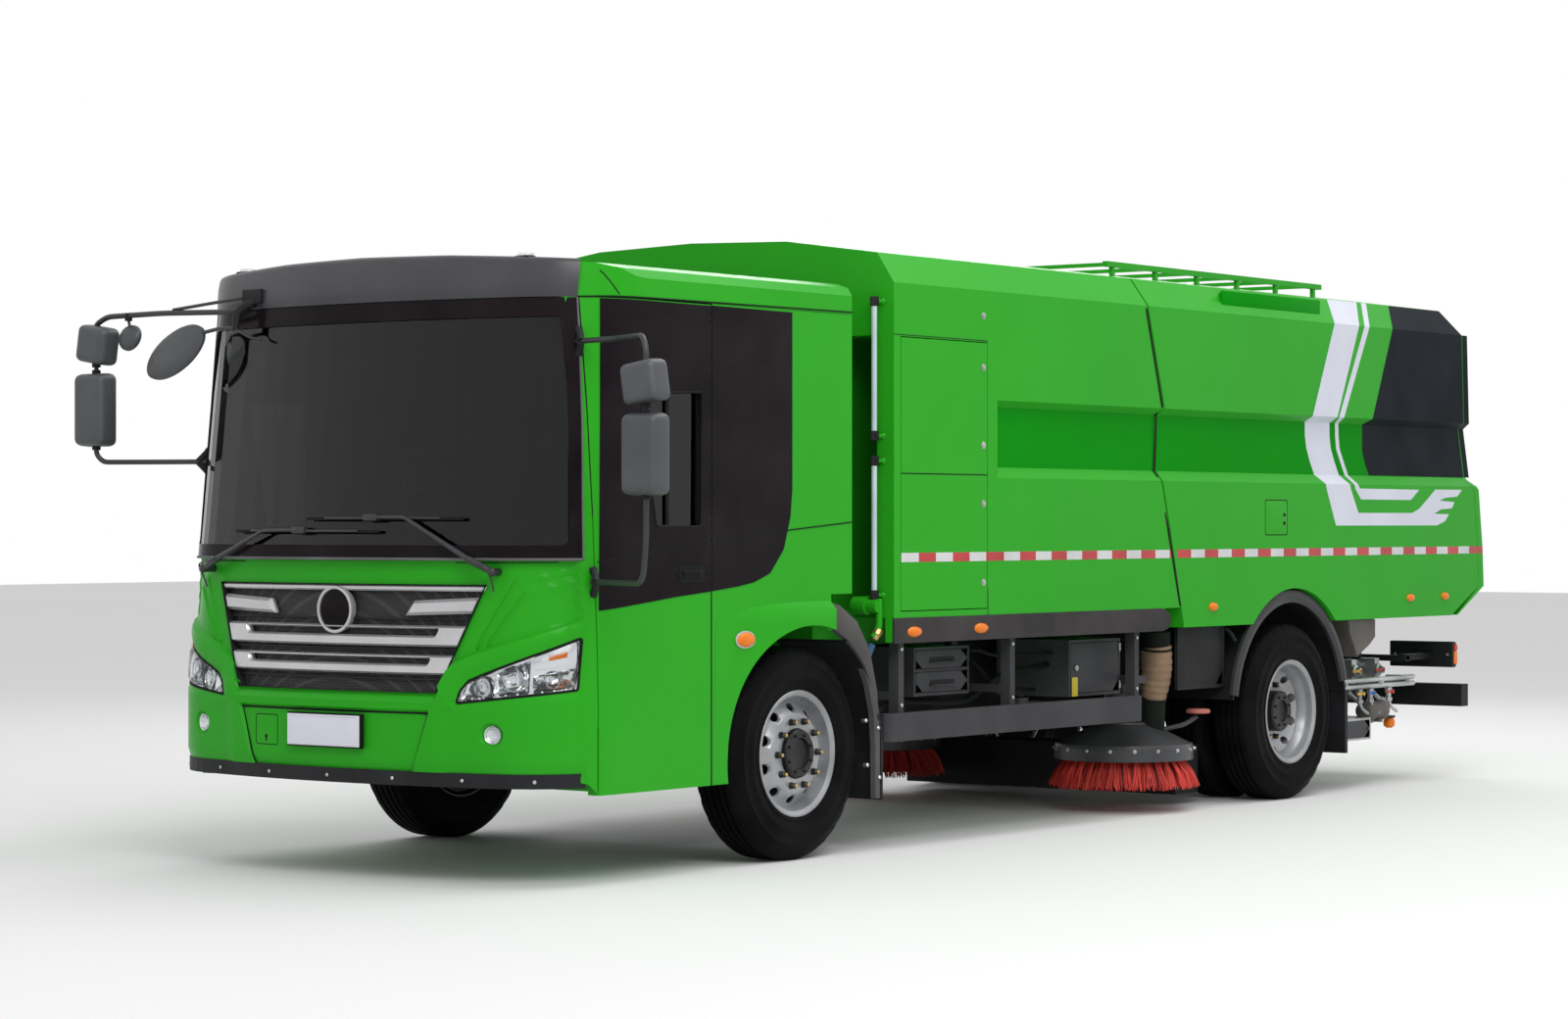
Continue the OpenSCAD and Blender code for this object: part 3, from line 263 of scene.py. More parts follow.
def cab_side(side):
    """The cab's side as a surface: (length, height, out) to a point."""
    def surface(x, z, out):
        y = cab_side_y(x, z)
        lean_in = (cab_side_y(x + 0.004, z) - y) / 0.004
        lean_up = (cab_side_y(x, z + 0.004) - y) / 0.004
        normal = Vector((-lean_in, 1, -lean_up)).normalized()
        p = Vector((x, y, z)) + normal * out
        return Vector((p.x, p.y * side, p.z))
    return surface


def cab_nose(s, z, out):
    """The cab's front as a surface: (run from the centre line, height, out) to a point."""
    side = -1 if s < 0 else 1
    run = abs(s)
    if run <= FACE_RUN:
        turn = run / NOSE_R
        x = NOSE_X - NOSE_R + (NOSE_R + out) * math.cos(turn)
        y = (NOSE_R + out) * math.sin(turn)
    elif run <= SIDE_RUN:
        turn = CORNER_TURN + (run - FACE_RUN) / CORNER_R
        x = CORNER_X + (CORNER_R + out) * math.cos(turn)
        y = CORNER_Y + (CORNER_R + out) * math.sin(turn)
    else:
        x = CORNER_X - (run - SIDE_RUN)
        y = CAB_HALF + out
    share = min(max((z - LEAN_FROM + 0.03) / 0.08, 0), 1)
    rise = (z - LEAN_FROM - (x - NOSE_X) * math.sin(LEAN)) / math.cos(LEAN)
    leant = NOSE_X + (x - NOSE_X) * math.cos(LEAN) - max(rise, 0) * math.sin(LEAN)
    return Vector((x + (leant - x) * share, y * side, z))


def inside(u, v, outline):
    """Whether a flat point lies inside an outline."""
    hit = False
    for (ua, va), (ub, vb) in zip(outline, outline[1:] + outline[:1]):
        if (va > v) != (vb > v) and u < (ub - ua) * (v - va) / (vb - va) + ua:
            hit = not hit
    return hit


def along(points, step, shut=True):
    """The points of a line with more put in, so that no gap is longer than step."""
    ends = list(zip(points, points[1:] + points[:1])) if shut else list(zip(points, points[1:]))
    out = []
    for a, b in ends:
        n = max(1, math.ceil(math.dist(a, b) / step))
        out += [(a[0] + (b[0] - a[0]) * i / n, a[1] + (b[1] - a[1]) * i / n) for i in range(n)]
    return out if shut else out + [points[-1]]


def rounded(outline, r, steps=4):
    """An outline with its corners turned to arcs of about radius r."""
    out = []
    n = len(outline)
    for i in range(n):
        p = Vector(outline[i])
        a = Vector(outline[i - 1]) - p
        b = Vector(outline[(i + 1) % n]) - p
        cut = min(r, a.length / 2.1, b.length / 2.1)
        a = p + a.normalized() * cut
        b = p + b.normalized() * cut
        for k in range(steps + 1):
            t = k / steps
            q = a * (1 - t) ** 2 + p * 2 * t * (1 - t) + b * t ** 2
            out.append((q.x, q.y))
    return out


def drawn_in(outline, inset):
    """An outline moved inwards by inset."""
    area = sum(a[0] * b[1] - b[0] * a[1] for a, b in zip(outline, outline[1:] + outline[:1]))
    way = 1 if area > 0 else -1
    out = []
    n = len(outline)
    for i in range(n):
        a, p, b = Vector(outline[i - 1]), Vector(outline[i]), Vector(outline[(i + 1) % n])
        one, two = (p - a).normalized(), (b - p).normalized()
        mean = (Vector((-one.y, one.x)) + Vector((-two.y, two.x))) * way
        mean.normalize()
        share = max(mean.dot(Vector((-two.y, two.x)) * way), 0.45)
        q = p + mean * inset / share
        out.append((q.x, q.y))
    return out


def near(u, v, line, shut=False):
    """The distance from a flat point to a line of points."""
    best = 9.0
    p = Vector((u, v))
    ends = list(zip(line, line[1:] + line[:1])) if shut else list(zip(line, line[1:]))
    for a, b in ends:
        a = Vector(a)
        d = Vector(b) - a
        t = min(max((p - a).dot(d) / max(d.length_squared, 1e-9), 0), 1)
        best = min(best, (p - a - d * t).length)
    return best


def skin(bm, outline, surface, out, deep, step=0.05, holes=(), creases=()):
    """A pressed sheet on a surface, with a returned edge of a depth; out is a number or a function."""
    raise_by = out if callable(out) else (lambda u, v: out)
    loops = [along(list(outline), step)] + [along(list(h), step) for h in holes]
    points = []
    edges = []
    for loop in loops:
        first = len(points)
        points += loop
        edges += [(first + i, first + (i + 1) % len(loop)) for i in range(len(loop))]
    for crease in creases:
        line = along(list(crease), step, shut=False)
        first = len(points)
        points += line
        edges += [(first + i, first + i + 1) for i in range(len(line) - 1)]
    u0, u1 = min(p[0] for p in loops[0]), max(p[0] for p in loops[0])
    v0, v1 = min(p[1] for p in loops[0]), max(p[1] for p in loops[0])
    lines = [list(loop) + [loop[0]] for loop in loops] + [list(c) for c in creases]
    for i in range(1, int((u1 - u0) / step) + 1):
        for j in range(1, int((v1 - v0) / step) + 1):
            p = (u0 + i * step + (step / 2 if j % 2 else 0), v0 + j * step)
            if inside(*p, loops[0]) and min(near(*p, line) for line in lines) > step * 0.35:
                points.append(p)
    found, _, faces, _, _, _ = delaunay_2d_cdt([Vector(p) for p in points], edges, [], 0, 1e-6)
    kept = []
    for face in faces:
        u = sum(found[i].x for i in face) / 3
        v = sum(found[i].y for i in face) / 3
        if inside(u, v, loops[0]) and not any(inside(u, v, h) for h in loops[1:]):
            kept.append(face)
    front = {i: bm.verts.new(surface(found[i].x, found[i].y, raise_by(found[i].x, found[i].y)))
             for f in kept for i in f}
    back = {}
    for face in kept:
        bm.faces.new([front[i] for i in face])
    rim = {}
    for face in kept:
        for a, b in zip(face, face[1:] + face[:1]):
            rim[(a, b)] = rim.get((b, a), 0) + 1
    for (a, b) in list(rim):
        if (b, a) in rim:
            continue
        for i in (a, b):
            if i not in back:
                u, v = found[i].x, found[i].y
                back[i] = bm.verts.new(surface(u, v, raise_by(u, v) - deep))
        bm.faces.new([front[b], front[a], back[a], back[b]])


def made(bm, name, material, body, slot, sharp=32, merge=True):
    """Turns worked metal into a named piece that rides on a body."""
    if merge:
        bmesh.ops.remove_doubles(bm, verts=bm.verts, dist=1e-6)
    bmesh.ops.recalc_face_normals(bm, faces=bm.faces)
    mesh = bpy.data.meshes.new(name)
    bm.to_mesh(mesh)
    bm.free()
    for one in material if isinstance(material, list) else [material]:
        mesh.materials.append(one)
    mesh.shade_smooth()
    mesh.set_sharp_from_angle(angle=math.radians(sharp))
    piece = bpy.data.objects.new(name, mesh)
    scene.collection.objects.link(piece)
    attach(piece, body)
    return piece


def seam(bm, line, surface, width=0.005, out=0.0008, step=0.04):
    """A flat strip along a line on a surface, for a shut line, a bead or a line of painted shade."""
    points = along(list(line), step, shut=False)
    for a, b in zip(points, points[1:]):
        d = (Vector(b) - Vector(a)).normalized()
        w = Vector((-d.y, d.x)) * width / 2
        e = d * width * 0.3
        corners = [Vector(a) - e + w, Vector(a) - e - w, Vector(b) + e - w, Vector(b) + e + w]
        bm.faces.new([bm.verts.new(surface(c.x, c.y, out)) for c in corners])


def block(bm, low, high, bevel=0.004, segments=2):
    """A block of metal or plastic with eased edges."""
    size = Vector(high) - Vector(low)
    place = Matrix.Translation((Vector(low) + Vector(high)) / 2) @ Matrix.Diagonal((*size, 1))
    new = bmesh.ops.create_cube(bm, size=1.0, matrix=place)["verts"]
    if bevel:
        edges = list(dict.fromkeys(e for v in new for e in v.link_edges))
        cut = min(bevel, min(size) * 0.45)
        new = bmesh.ops.bevel(bm, geom=edges, offset=cut, segments=segments, profile=0.6,
                              affect="EDGES")["verts"]
    return new


def side_block(bm, side, low, high, bevel=0.004, segments=2):
    """A block on one side of the truck, its width given outwards from the middle."""
    y0, y1 = sorted((side * low[1], side * high[1]))
    return block(bm, (low[0], y0, low[2]), (high[0], y1, high[2]), bevel, segments)


def frame_at(a, b):
    """A turn and place that take Z from a to b."""
    d = Vector(b) - Vector(a)
    return Matrix.Translation(a) @ d.to_track_quat("Z", "Y").to_matrix().to_4x4()


def walled(bm, rings):
    """Faces between rings of points, each ring closed on itself."""
    for one, two in zip(rings, rings[1:]):
        for i in range(len(one)):
            j = (i + 1) % len(one)
            bm.faces.new([one[i], one[j], two[j], two[i]])


def turned(bm, a, b, profile, sides=32, shut=True):
    """A turned shape about the line from a towards b; profile is (distance along, radius)."""
    place = frame_at(a, b)
    rings = []
    for run, r in profile:
        ring = []
        for i in range(sides):
            turn = 2 * math.pi * i / sides
            ring.append(bm.verts.new(place @ Vector((r * math.cos(turn), r * math.sin(turn), run))))
        rings.append(ring)
    walled(bm, rings)
    if shut:
        bm.faces.new(list(reversed(rings[0])))
        bm.faces.new(rings[-1])


def rod(bm, a, b, r, sides=20, ease=0.0015):
    """A round bar with eased ends."""
    run = (Vector(b) - Vector(a)).length
    turned(bm, a, b, [(0, r - ease), (ease, r), (run - ease, r), (run, r - ease)], sides)


def tube(bm, points, r, sides=12, bend=0.06, steps=6):
    """A bent tube through points, its corners turned to bends; r is a number or a list per point."""
    points = [Vector(p) for p in points]
    radii = r if isinstance(r, list) else [r] * len(points)
    path = [(points[0], radii[0])]
    for i in range(1, len(points) - 1):
        p, a, b = points[i], points[i - 1] - points[i], points[i + 1] - points[i]
        cut = min(bend, a.length * 0.48, b.length * 0.48)
        start, end = p + a.normalized() * cut, p + b.normalized() * cut
        for k in range(steps + 1):
            t = k / steps
            path.append((start * (1 - t) ** 2 + p * 2 * t * (1 - t) + end * t ** 2, radii[i]))
    path.append((points[-1], radii[-1]))
    side = (path[1][0] - path[0][0]).orthogonal().normalized()
    rings = []
    for i, (p, size) in enumerate(path):
        d = (path[min(i + 1, len(path) - 1)][0] - path[max(i - 1, 0)][0]).normalized()
        side = (side - d * side.dot(d)).normalized()
        other = d.cross(side)
        rings.append([bm.verts.new(p + (side * math.cos(t) + other * math.sin(t)) * size)
                      for t in (2 * math.pi * k / sides for k in range(sides))])
    walled(bm, rings)
    bm.faces.new(list(reversed(rings[0])))
    bm.faces.new(rings[-1])


def moulded(name, colour, rough=0.5, coarse=0.06, mottle=0.25, metal=0.0, grit=900.0, height=0.0004,
            sheen=0.5):
    """Moulded plastic, rubber or cast metal: mottled tone, uneven gloss and a fine grain."""
    m, tree, shader = new_finish(name)
    light = tuple(min(c * (1 + mottle) + 0.004, 1) for c in colour)
    dark = tuple(c * (1 - mottle) for c in colour)
    tree.links.new(blend_colour(tree, spread(tree, grain(tree, 3.5, 8.0), 0, 1, (0.3, 0.7)), dark, light),
                   shader.inputs["Base Color"])
    tree.links.new(spread(tree, grain(tree, 22.0, 6.0), rough - coarse, rough + coarse),
                   shader.inputs["Roughness"])
    shader.inputs["Metallic"].default_value = metal
    shader.inputs["Specular IOR Level"].default_value = sheen
    rough_surface(tree, shader, grain(tree, grit, 2.0), 0.35, height)
    return m


def crowned(outline, base, rise, width):
    """Out for a sheet whose face is raised from a band of some width along its edge."""
    return lambda u, v: base + rise * min(1, near(u, v, outline, True) / width)


black_film = moulded("gloss_black_film", (0.0085, 0.006, 0.0078), 0.12, 0.04, 0.15, grit=40.0,
                     height=0.0002, sheen=0.05)
shut_line = moulded("shut_line_rubber", (0.004, 0.007, 0.004), 0.75, sheen=0.15)
door_film = [(3.357, 1.2815), (3.60, 1.262), (4.130, 1.2085), (4.097, 1.953), (4.067, 2.582),
             (3.357, 2.580)]
glass_hole = rounded([(3.427, 1.576), (3.752, 1.576), (3.878, 2.168), (3.421, 2.186)], 0.020)
door_cut = [(3.427, 1.575), (3.754, 1.575), (3.880, 2.169), (3.420, 2.187)]
corner_film = [(3.345, 1.283), (3.345, 2.582), (2.733, 2.579), (2.733, 1.748), (2.748, 1.62), (2.80, 1.47),
               (2.905, 1.36), (3.03, 1.319), (3.15, 1.302)]
for side, hand in SIDES:
    face = cab_side(side)
    bm = bmesh.new()
    skin(bm, door_film, face, 0.0022, 0.0025, 0.05, holes=[glass_hole])
    made(bm, "door_film_" + hand, black_film, "door_" + hand, "tinted_glass")
    bm = bmesh.new()
    skin(bm, corner_film, face, 0.0022, 0.0025, 0.08)
    made(bm, "corner_film_" + hand, black_film, "chassis", "tinted_glass")
    # Seal and runner round the sliding glass
    bm = bmesh.new()
    tube(bm, [face(*p, 0.001) for p in along(glass_hole, 0.03)] + [face(*glass_hole[0], 0.001)], 0.006, 8,
         0.01, 2)
    sleeve = along(drawn_in(door_cut, 0.0015), 0.05)
    for a, b in zip(sleeve, sleeve[1:] + sleeve[:1]):
        bm.faces.new([bm.verts.new(face(*p)) for p in ((*a, 0.002), (*b, 0.002), (*b, -0.064),
                                                       (*a, -0.064))])
    side_block(bm, side, (3.640, 1.212, 1.585), (3.662, 1.222, 2.178), 0.003)
    made(bm, "door_glass_seal_" + hand, shut_line, "door_" + hand, "tinted_glass")
    # Shut lines of the door and the joints of the rear corner; the groove at about 1.5 m is a dark strip of
    # painted shade
    bm = bmesh.new()
    seam(bm, [(3.350, 0.402), (3.350, 2.588)], face, 0.009, 0.0006)
    seam(bm, [(2.252, 2.602), (4.02, 2.592), (4.14, 2.588)], face, 0.007, 0.0028)
    # Groove across the rear corner: a dark strip of painted shade.
    seam(bm, [(3.343, 1.511), (2.733, 1.562), (2.256, 1.597)], face, 0.006, 0.0028)
    seam(bm, [(3.98, 2.604), (4.045, 2.69), (4.06, 2.705)], face, 0.005, 0.0010)
    made(bm, "cab_joints_and_groove_shade_" + hand, shut_line, "chassis", "body_green")
    # The same groove across the door: a dark strip of painted shade.
    bm = bmesh.new()
    seam(bm, [(3.358, 1.512), (3.76, 1.470), (4.13, 1.423)], face, 0.005, 0.0028)
    made(bm, "door_crease_" + hand, shut_line, "door_" + hand, "tinted_glass")
    # Flush handle with its dish and lock
    bm = bmesh.new()
    dish = rounded([(3.405, 1.325), (3.585, 1.325), (3.585, 1.400), (3.405, 1.400)], 0.02)
    skin(bm, dish, face, crowned(dish, 0.0034, -0.0008, 0.012), 0.002, 0.02)
    made(bm, "door_dish_" + hand, shut_line, "door_" + hand, "grille_black")
    bm = bmesh.new()
    bar = rounded([(3.42, 1.348), (3.57, 1.348), (3.57, 1.380), (3.42, 1.380)], 0.012)
    skin(bm, bar, face, lambda u, v: 0.004 + 0.0075 * math.sqrt(min(1, near(u, v, bar, True) / 0.014)),
         0.004, 0.008)
    rod(bm, face(3.598, 1.362, 0.001), face(3.598, 1.362, 0.006), 0.011)
    made(bm, "door_handle_" + hand, black_film, "door_" + hand, "grille_black")

# ---- Front mask and bumper -----------------------------------------------------
# One pressed and painted moulding: a hood panel with two raised lines at each corner,
# and below its step a bumper that stands out round the grille and the headlamps.
HOOD_BACK = 0.030
LAMP_EDGE = [(0.718, 0.801), (0.737, 0.862), (0.775, 0.905), (0.836, 0.930), (1.06, 1.012), (1.292, 1.094),
             (1.298, 0.862), (1.00, 0.832)]
LAMP_SILL = [(0.69, 0.786), (1.35, 0.852)]
BROW = [(0.640, 0.925), (0.690, 0.976), (0.80, 1.018), (1.05, 1.092), (1.367, 1.182), (1.42, 1.190)]
RIDGES = [[(0.800, 1.050), (0.965, 1.331), (1.275, 1.398)],
          [(0.858, 1.072), (1.019, 1.283), (1.300, 1.356)]]
GRILLE_EDGE = [(0.822, 1.322), (0.650, 0.925), (0.607, 0.846)]
FOG_AT = (0.900, 0.668)
SEAM_EDGE = [(0.49, 0.480), (0.757, 0.572), (0.80, 0.600), (0.87, 0.615)]
mask_hole = GRILLE_EDGE + [(-u, v) for u, v in reversed(GRILLE_EDGE)]


def level(line, u):
    """The height of a line of points at u."""
    for a, b in zip(line, line[1:]):
        if a[0] <= u <= b[0]:
            return a[1] + (b[1] - a[1]) * (u - a[0]) / (b[0] - a[0])
    return line[0][1] if u < line[0][0] else line[-1][1]


def eased(t):
    """A smooth step from 0 to 1."""
    t = min(max(t, 0), 1)
    return t * t * (3 - 2 * t)


def mask_out(s, z):
    """How far the moulding stands out from the cab's plain front."""
    run = abs(s)
    if run > 0.63 or z > 1.3:
        out = -HOOD_BACK * eased((z - level(BROW, run) + 0.002) / 0.020)
    else:
        out = 0.0
    for ridge in RIDGES:
        out += 0.010 * max(0, 1 - near(run, z, ridge) / 0.013)
    if z > 1.3:
        out += 0.004 * eased((z - 1.395) / 0.02)
    if z < 1.2 and run > 0.6:
        gap_round = near(run, z, LAMP_EDGE, True)
        if z > level(LAMP_SILL, run) - 0.002:
            out -= 0.012 * (1 - eased((gap_round - 0.012) / 0.022))
        out -= 0.008 * eased((level(LAMP_SILL, run) - z) / 0.014) * eased((run - 0.62) / 0.08)
    if z < 0.87:
        ledge = -0.026 * eased((z - 0.805) / 0.035) - 0.017 * eased((0.772 - z) / 0.012)
        out += (ledge - out) * eased((level(SEAM_EDGE, z) + 0.012 - run) / 0.012)
    out -= 0.012 * eased((0.545 - z) / 0.05)
    over_pillar = eased((4.226 - cab_nose(run, z, 0).x) / 0.026)
    return out * (1 - over_pillar) + 0.0025 * over_pillar


def mask_edge(z):
    """Where the moulding meets the side pillar, as a run from the centre line."""
    low, high = 1.0, SIDE_RUN
    for _ in range(24):
        mid = (low + high) / 2
        if cab_nose(mid, z, 0).x > 4.151:
            low = mid
        else:
            high = mid
    return low


def oval(at, half, n):
    """The n points of an oval about a flat point; half is half its width and height."""
    return [(at[0] + half[0] * math.cos(t), at[1] + half[1] * math.sin(t))
            for t in (2 * math.pi * i / n for i in range(n))]


rises = [0.412, 0.46, 0.56, 0.66, 0.76, 0.86, 0.96, 1.06, 1.16, 1.26, 1.35, 1.428]
right_edge = [(mask_edge(z), z) for z in rises]
mask_outline = [(-u, v) for u, v in reversed(right_edge)] + [(-1.345, 0.452), (-1.27, 0.468),
                                                             (-0.95, 0.498)]
mask_outline += [(0.95, 0.498), (1.27, 0.468), (1.345, 0.452)] + right_edge
fog_hole = oval(FOG_AT, (0.062, 0.055), 24)
lamp_hole = rounded(LAMP_EDGE, 0.012, 3)
folds = []
for side in (1, -1):
    for line in (BROW, [(u, v + 0.009) for u, v in BROW], [(u, v + 0.018) for u, v in BROW], LAMP_SILL,
                 [(u, v - 0.014) for u, v in LAMP_SILL]):
        folds.append([(side * min(u, 1.33), v) for u, v in line])
    for ridge in RIDGES:
        for lift in (-0.013, 0, 0.013):
            folds.append([(side * (u - lift * 0.8), v + lift * 0.5) for u, v in ridge[:-1]])
folds += [[(-0.605, v), (0.605, v)] for v in (0.840, 0.805, 0.772, 0.760)]
folds += [[(-1.0, v), (1.0, v)] for v in (0.545,)]
for side in (1, -1):
    for off in (0.0, 0.012):
        folds.append([(side * (u + off), z) for z, u in SEAM_EDGE[:3]])
bm = bmesh.new()
holes = [mask_hole] + [[(side * u, v) for u, v in h] for h in (fog_hole, lamp_hole) for side in (1, -1)]
skin(bm, mask_outline, cab_nose, mask_out, 0.014, 0.022, holes=holes, creases=folds)
# Fog lamp bowls
for side in (1, -1):
    rim = [cab_nose(side * u, v, mask_out(u, v)) for u, v in fog_hole]
    loops = [rim]
    for shrink, depth in ((0.90, 0.008), (0.72, 0.026), (0.66, 0.030)):
        loops.append([cab_nose(side * (FOG_AT[0] + (u - FOG_AT[0]) * shrink),
                               FOG_AT[1] + (v - FOG_AT[1]) * shrink,
                               -0.006 - depth) for u, v in fog_hole])
    rings = [[bm.verts.new(p) for p in loop] for loop in loops]
    walled(bm, rings)
    bm.faces.new(rings[-1])
mask = made(bm, "front_mask", green, "chassis", "front_green", 25)
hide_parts("cab_front")

# Joints between the bumper's three parts, the towing hatch and its key, and a painted shadow line under the
# lip below the grille
bm = bmesh.new()


def on_mask(s, z, out):
    """The moulding's own face as a surface."""
    return cab_nose(s, z, mask_out(s, z) + out)


for side in (1, -1):
    seam(bm, [(side * 0.486, 0.50), (side * 0.572, 0.757)], on_mask, 0.006, 0.0006, 0.02)
# Dark strip under the lip below the grille: painted shadow.
seam(bm, [(-0.572, 0.757), (0.572, 0.757)], on_mask, 0.011, 0.0006, 0.05)
hatch = rounded([(-0.477, 0.588), (-0.325, 0.588), (-0.325, 0.724), (-0.477, 0.724)], 0.012)
seam(bm, hatch + [hatch[0]], on_mask, 0.004, 0.0006, 0.02)
for u, v, r in ((-0.405, 0.625, 0.009), (-0.405, 0.610, 0.006)):
    turned(bm, on_mask(u, v, -0.002), on_mask(u, v, 0.002), [(0, r), (0.003, r), (0.0034, r * 0.8)], 14)
for side in (1, -1):
    seam(bm, [(side * 0.655, 1.418), (side * 1.16, 1.421)], on_mask, 0.004, 0.0008, 0.03)
made(bm, "bumper_joints_and_lip_shadow", shut_line, "chassis", "front_green")

# Blank number plate in a thin black holder
plate_paint = moulded("plate_white", (0.66, 0.66, 0.74), 0.35, 0.05, 0.04, grit=500.0, height=0.0001)
bm = bmesh.new()
block(bm, (4.566, -0.226, 0.590), (4.590, 0.226, 0.744), 0.004)
made(bm, "plate_holder", shut_line, "chassis", "front_green")
bm = bmesh.new()
block(bm, (4.588, -0.220, 0.597), (4.5945, 0.220, 0.737), 0.003)
lip = rounded([(-0.213, 0.604), (0.213, 0.604), (0.213, 0.730), (-0.213, 0.730)], 0.012)
tube(bm, [(4.5948, u, v) for u, v in lip + [lip[0]]], 0.0018, 6, 0.004, 2)
for u in (-0.15, 0.15):
    turned(bm, (4.594, u, 0.722), (4.60, u, 0.722), [(0, 0.006), (0.002, 0.006), (0.004, 0.004)], 12)
made(bm, "number_plate_blank", plate_paint, "chassis", "front_green")

# Valance: black moulded strip under the bumper, with its bolts
black_plastic = moulded("black_plastic", (0.010, 0.0105, 0.012), 0.55, 0.08, 0.3, sheen=0.2)
repaint(black_plastic, "front_valance", "mudguards")
steel_bolt = moulded("zinc_bolt", (0.46, 0.46, 0.47), 0.35, 0.1, 0.2, metal=0.9)
bm = bmesh.new()
for s in (-1.1, -0.75, -0.38, 0.0, 0.38, 0.75, 1.1):
    p, q = cab_nose(s, 0.466, -0.016), cab_nose(s, 0.466, -0.009)
    turned(bm, p, q, [(0, 0.009), (0.004, 0.009), (0.006, 0.006)], 6)
made(bm, "valance_bolts", steel_bolt, "chassis", "guard_grey")

# ---- Grille ----------------------------------------------------------------------
# A black honeycomb sheet stands back in the opening. In front of it are a satin rail,
# two blades, two split bars in silvered plastic and a plain round badge.
silver = moulded("satin_silver_plastic", (0.50, 0.50, 0.51), 0.26, 0.05, 0.10, metal=0.55, grit=700.0,
                 height=0.0001)
mesh_black, mesh_tree, mesh_shader = new_finish("grille_honeycomb")
cell_at = mesh_tree.nodes.new("ShaderNodeTexCoord")
cell = mesh_tree.nodes.new("ShaderNodeTexVoronoi")
cell.feature = "DISTANCE_TO_EDGE"
cell.inputs["Scale"].default_value = 85.0
cell.inputs["Randomness"].default_value = 0.0
mesh_tree.links.new(cell_at.outputs["Object"], cell.inputs["Vector"])
# Cells near-black and their walls lighter: painted shade in the openings of the honeycomb.
wall = spread(mesh_tree, cell.outputs["Distance"], 1.0, 0.0, (0.05, 0.22))
mesh_tree.links.new(blend_colour(mesh_tree, wall, (0.002, 0.002, 0.002), (0.024, 0.025, 0.028)),
                    mesh_shader.inputs["Base Color"])
mesh_tree.links.new(spread(mesh_tree, grain(mesh_tree, 12.0), 0.45, 0.65), mesh_shader.inputs["Roughness"])
rough_surface(mesh_tree, mesh_shader, wall, 0.8, 0.004)

bm = bmesh.new()
back_edge = [(-0.83, 1.325), (-0.655, 0.905), (-0.62, 0.842), (0.62, 0.842), (0.655, 0.905), (0.83, 1.325)]
skin(bm, back_edge, cab_nose, -0.058, 0.004, 0.06)
grille_back = made(bm, "grille_mesh", mesh_black, "chassis", "grille_black")
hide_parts("grille")

# Black surround that closes the gap between the mesh and the mask
bm = bmesh.new()
wall_line = along(mask_hole, 0.03)
for (ua, va), (ub, vb) in zip(wall_line, wall_line[1:] + wall_line[:1]):
    a, b = (ua, va, -0.012), (ub, vb, -0.012)
    c, d = (ub, vb, -0.060), (ua, va, -0.060)
    bm.faces.new([bm.verts.new(cab_nose(*p)) for p in (a, b, c, d)])
for v in (0.905, 1.035, 1.168):
    skin(bm, [(-0.60 - (v - 0.85) * 0.47, v - 0.004), (0.60 + (v - 0.85) * 0.47, v - 0.004),
              (0.60 + (v - 0.85) * 0.47, v + 0.004), (-0.60 - (v - 0.85) * 0.47, v + 0.004)],
         cab_nose, -0.040, 0.018, 0.05)
made(bm, "grille_surround", black_plastic, "chassis", "grille_black")


def folded_edge(outline, width):
    """The line inside an outline where a bar's edge folds back."""
    loop = drawn_in(outline, width)
    return loop + [loop[0]]


def both(outline):
    """An outline and its mirror image across the centre line."""
    return [outline, [(-u, v) for u, v in reversed(outline)]]


bm = bmesh.new()
top_rail = rounded([(-0.823, 1.318), (-0.811, 1.292), (0.811, 1.292), (0.823, 1.318)], 0.004, 2)
skin(bm, top_rail, cab_nose, crowned(top_rail, -0.030, 0.008, 0.0056), 0.012, 0.03,
     creases=[folded_edge(top_rail, 0.007)])
for blade in both(rounded([(0.443, 1.250), (0.803, 1.267), (0.772, 1.195), (0.400, 1.183)], 0.006, 2)):
    skin(bm, blade, cab_nose, crowned(blade, -0.036, 0.016, 0.0112), 0.014, 0.03,
         creases=[folded_edge(blade, 0.014)])
for top, mid, slot_high, slot_low, low, ends in (
        (1.140, 1.120, 1.124, 1.096, 1.048, (0.745, 0.705, 0.590, 0.575)),
        (1.010, 0.992, 0.996, 0.970, 0.925, (0.690, 0.655, 0.560, 0.545))):
    bar = [(-ends[0], top), (-ends[1], low), (ends[1], low), (ends[0], top)]
    gap_in = [(-ends[2], slot_high), (-ends[3], slot_low), (ends[3], slot_low), (ends[2], slot_high)]
    shape = rounded(bar, 0.008, 2)
    hollow = rounded(gap_in, 0.006, 2)

    def bar_out(u, v, shape=shape, hollow=hollow):
        """How far the bar stands out: its edges fall away to the nose."""
        edge = min(near(u, v, shape, True), near(u, v, hollow, True))
        return -0.034 + 0.016 * min(1, edge / 0.0072)

    skin(bm, shape, cab_nose, bar_out, 0.016, 0.03, holes=[hollow],
         creases=[folded_edge(shape, 0.009), folded_edge(hollow, -0.009)])
made(bm, "grille_bars", silver, "chassis", "grille_black", 28)

# Plain badge: a domed black disc in a bright ring
badge_low, badge_high = cab_nose(0, 1.205, -0.050), cab_nose(0, 1.205, 0.02)
bm = bmesh.new()
turned(bm, badge_low, badge_high, [(0, 0.098), (0.022, 0.098), (0.030, 0.094), (0.034, 0.080),
                                   (0.036, 0.045), (0.0365, 0.010)], 48)
made(bm, "badge_disc", black_film, "chassis", "grille_black")
bm = bmesh.new()
turned(bm, badge_low, badge_high, [(0.0, 0.101), (0.028, 0.108), (0.037, 0.106), (0.040, 0.100),
                                   (0.037, 0.093), (0.030, 0.091)], 48, shut=False)
made(bm, "badge_ring", silver, "chassis", "grille_black")

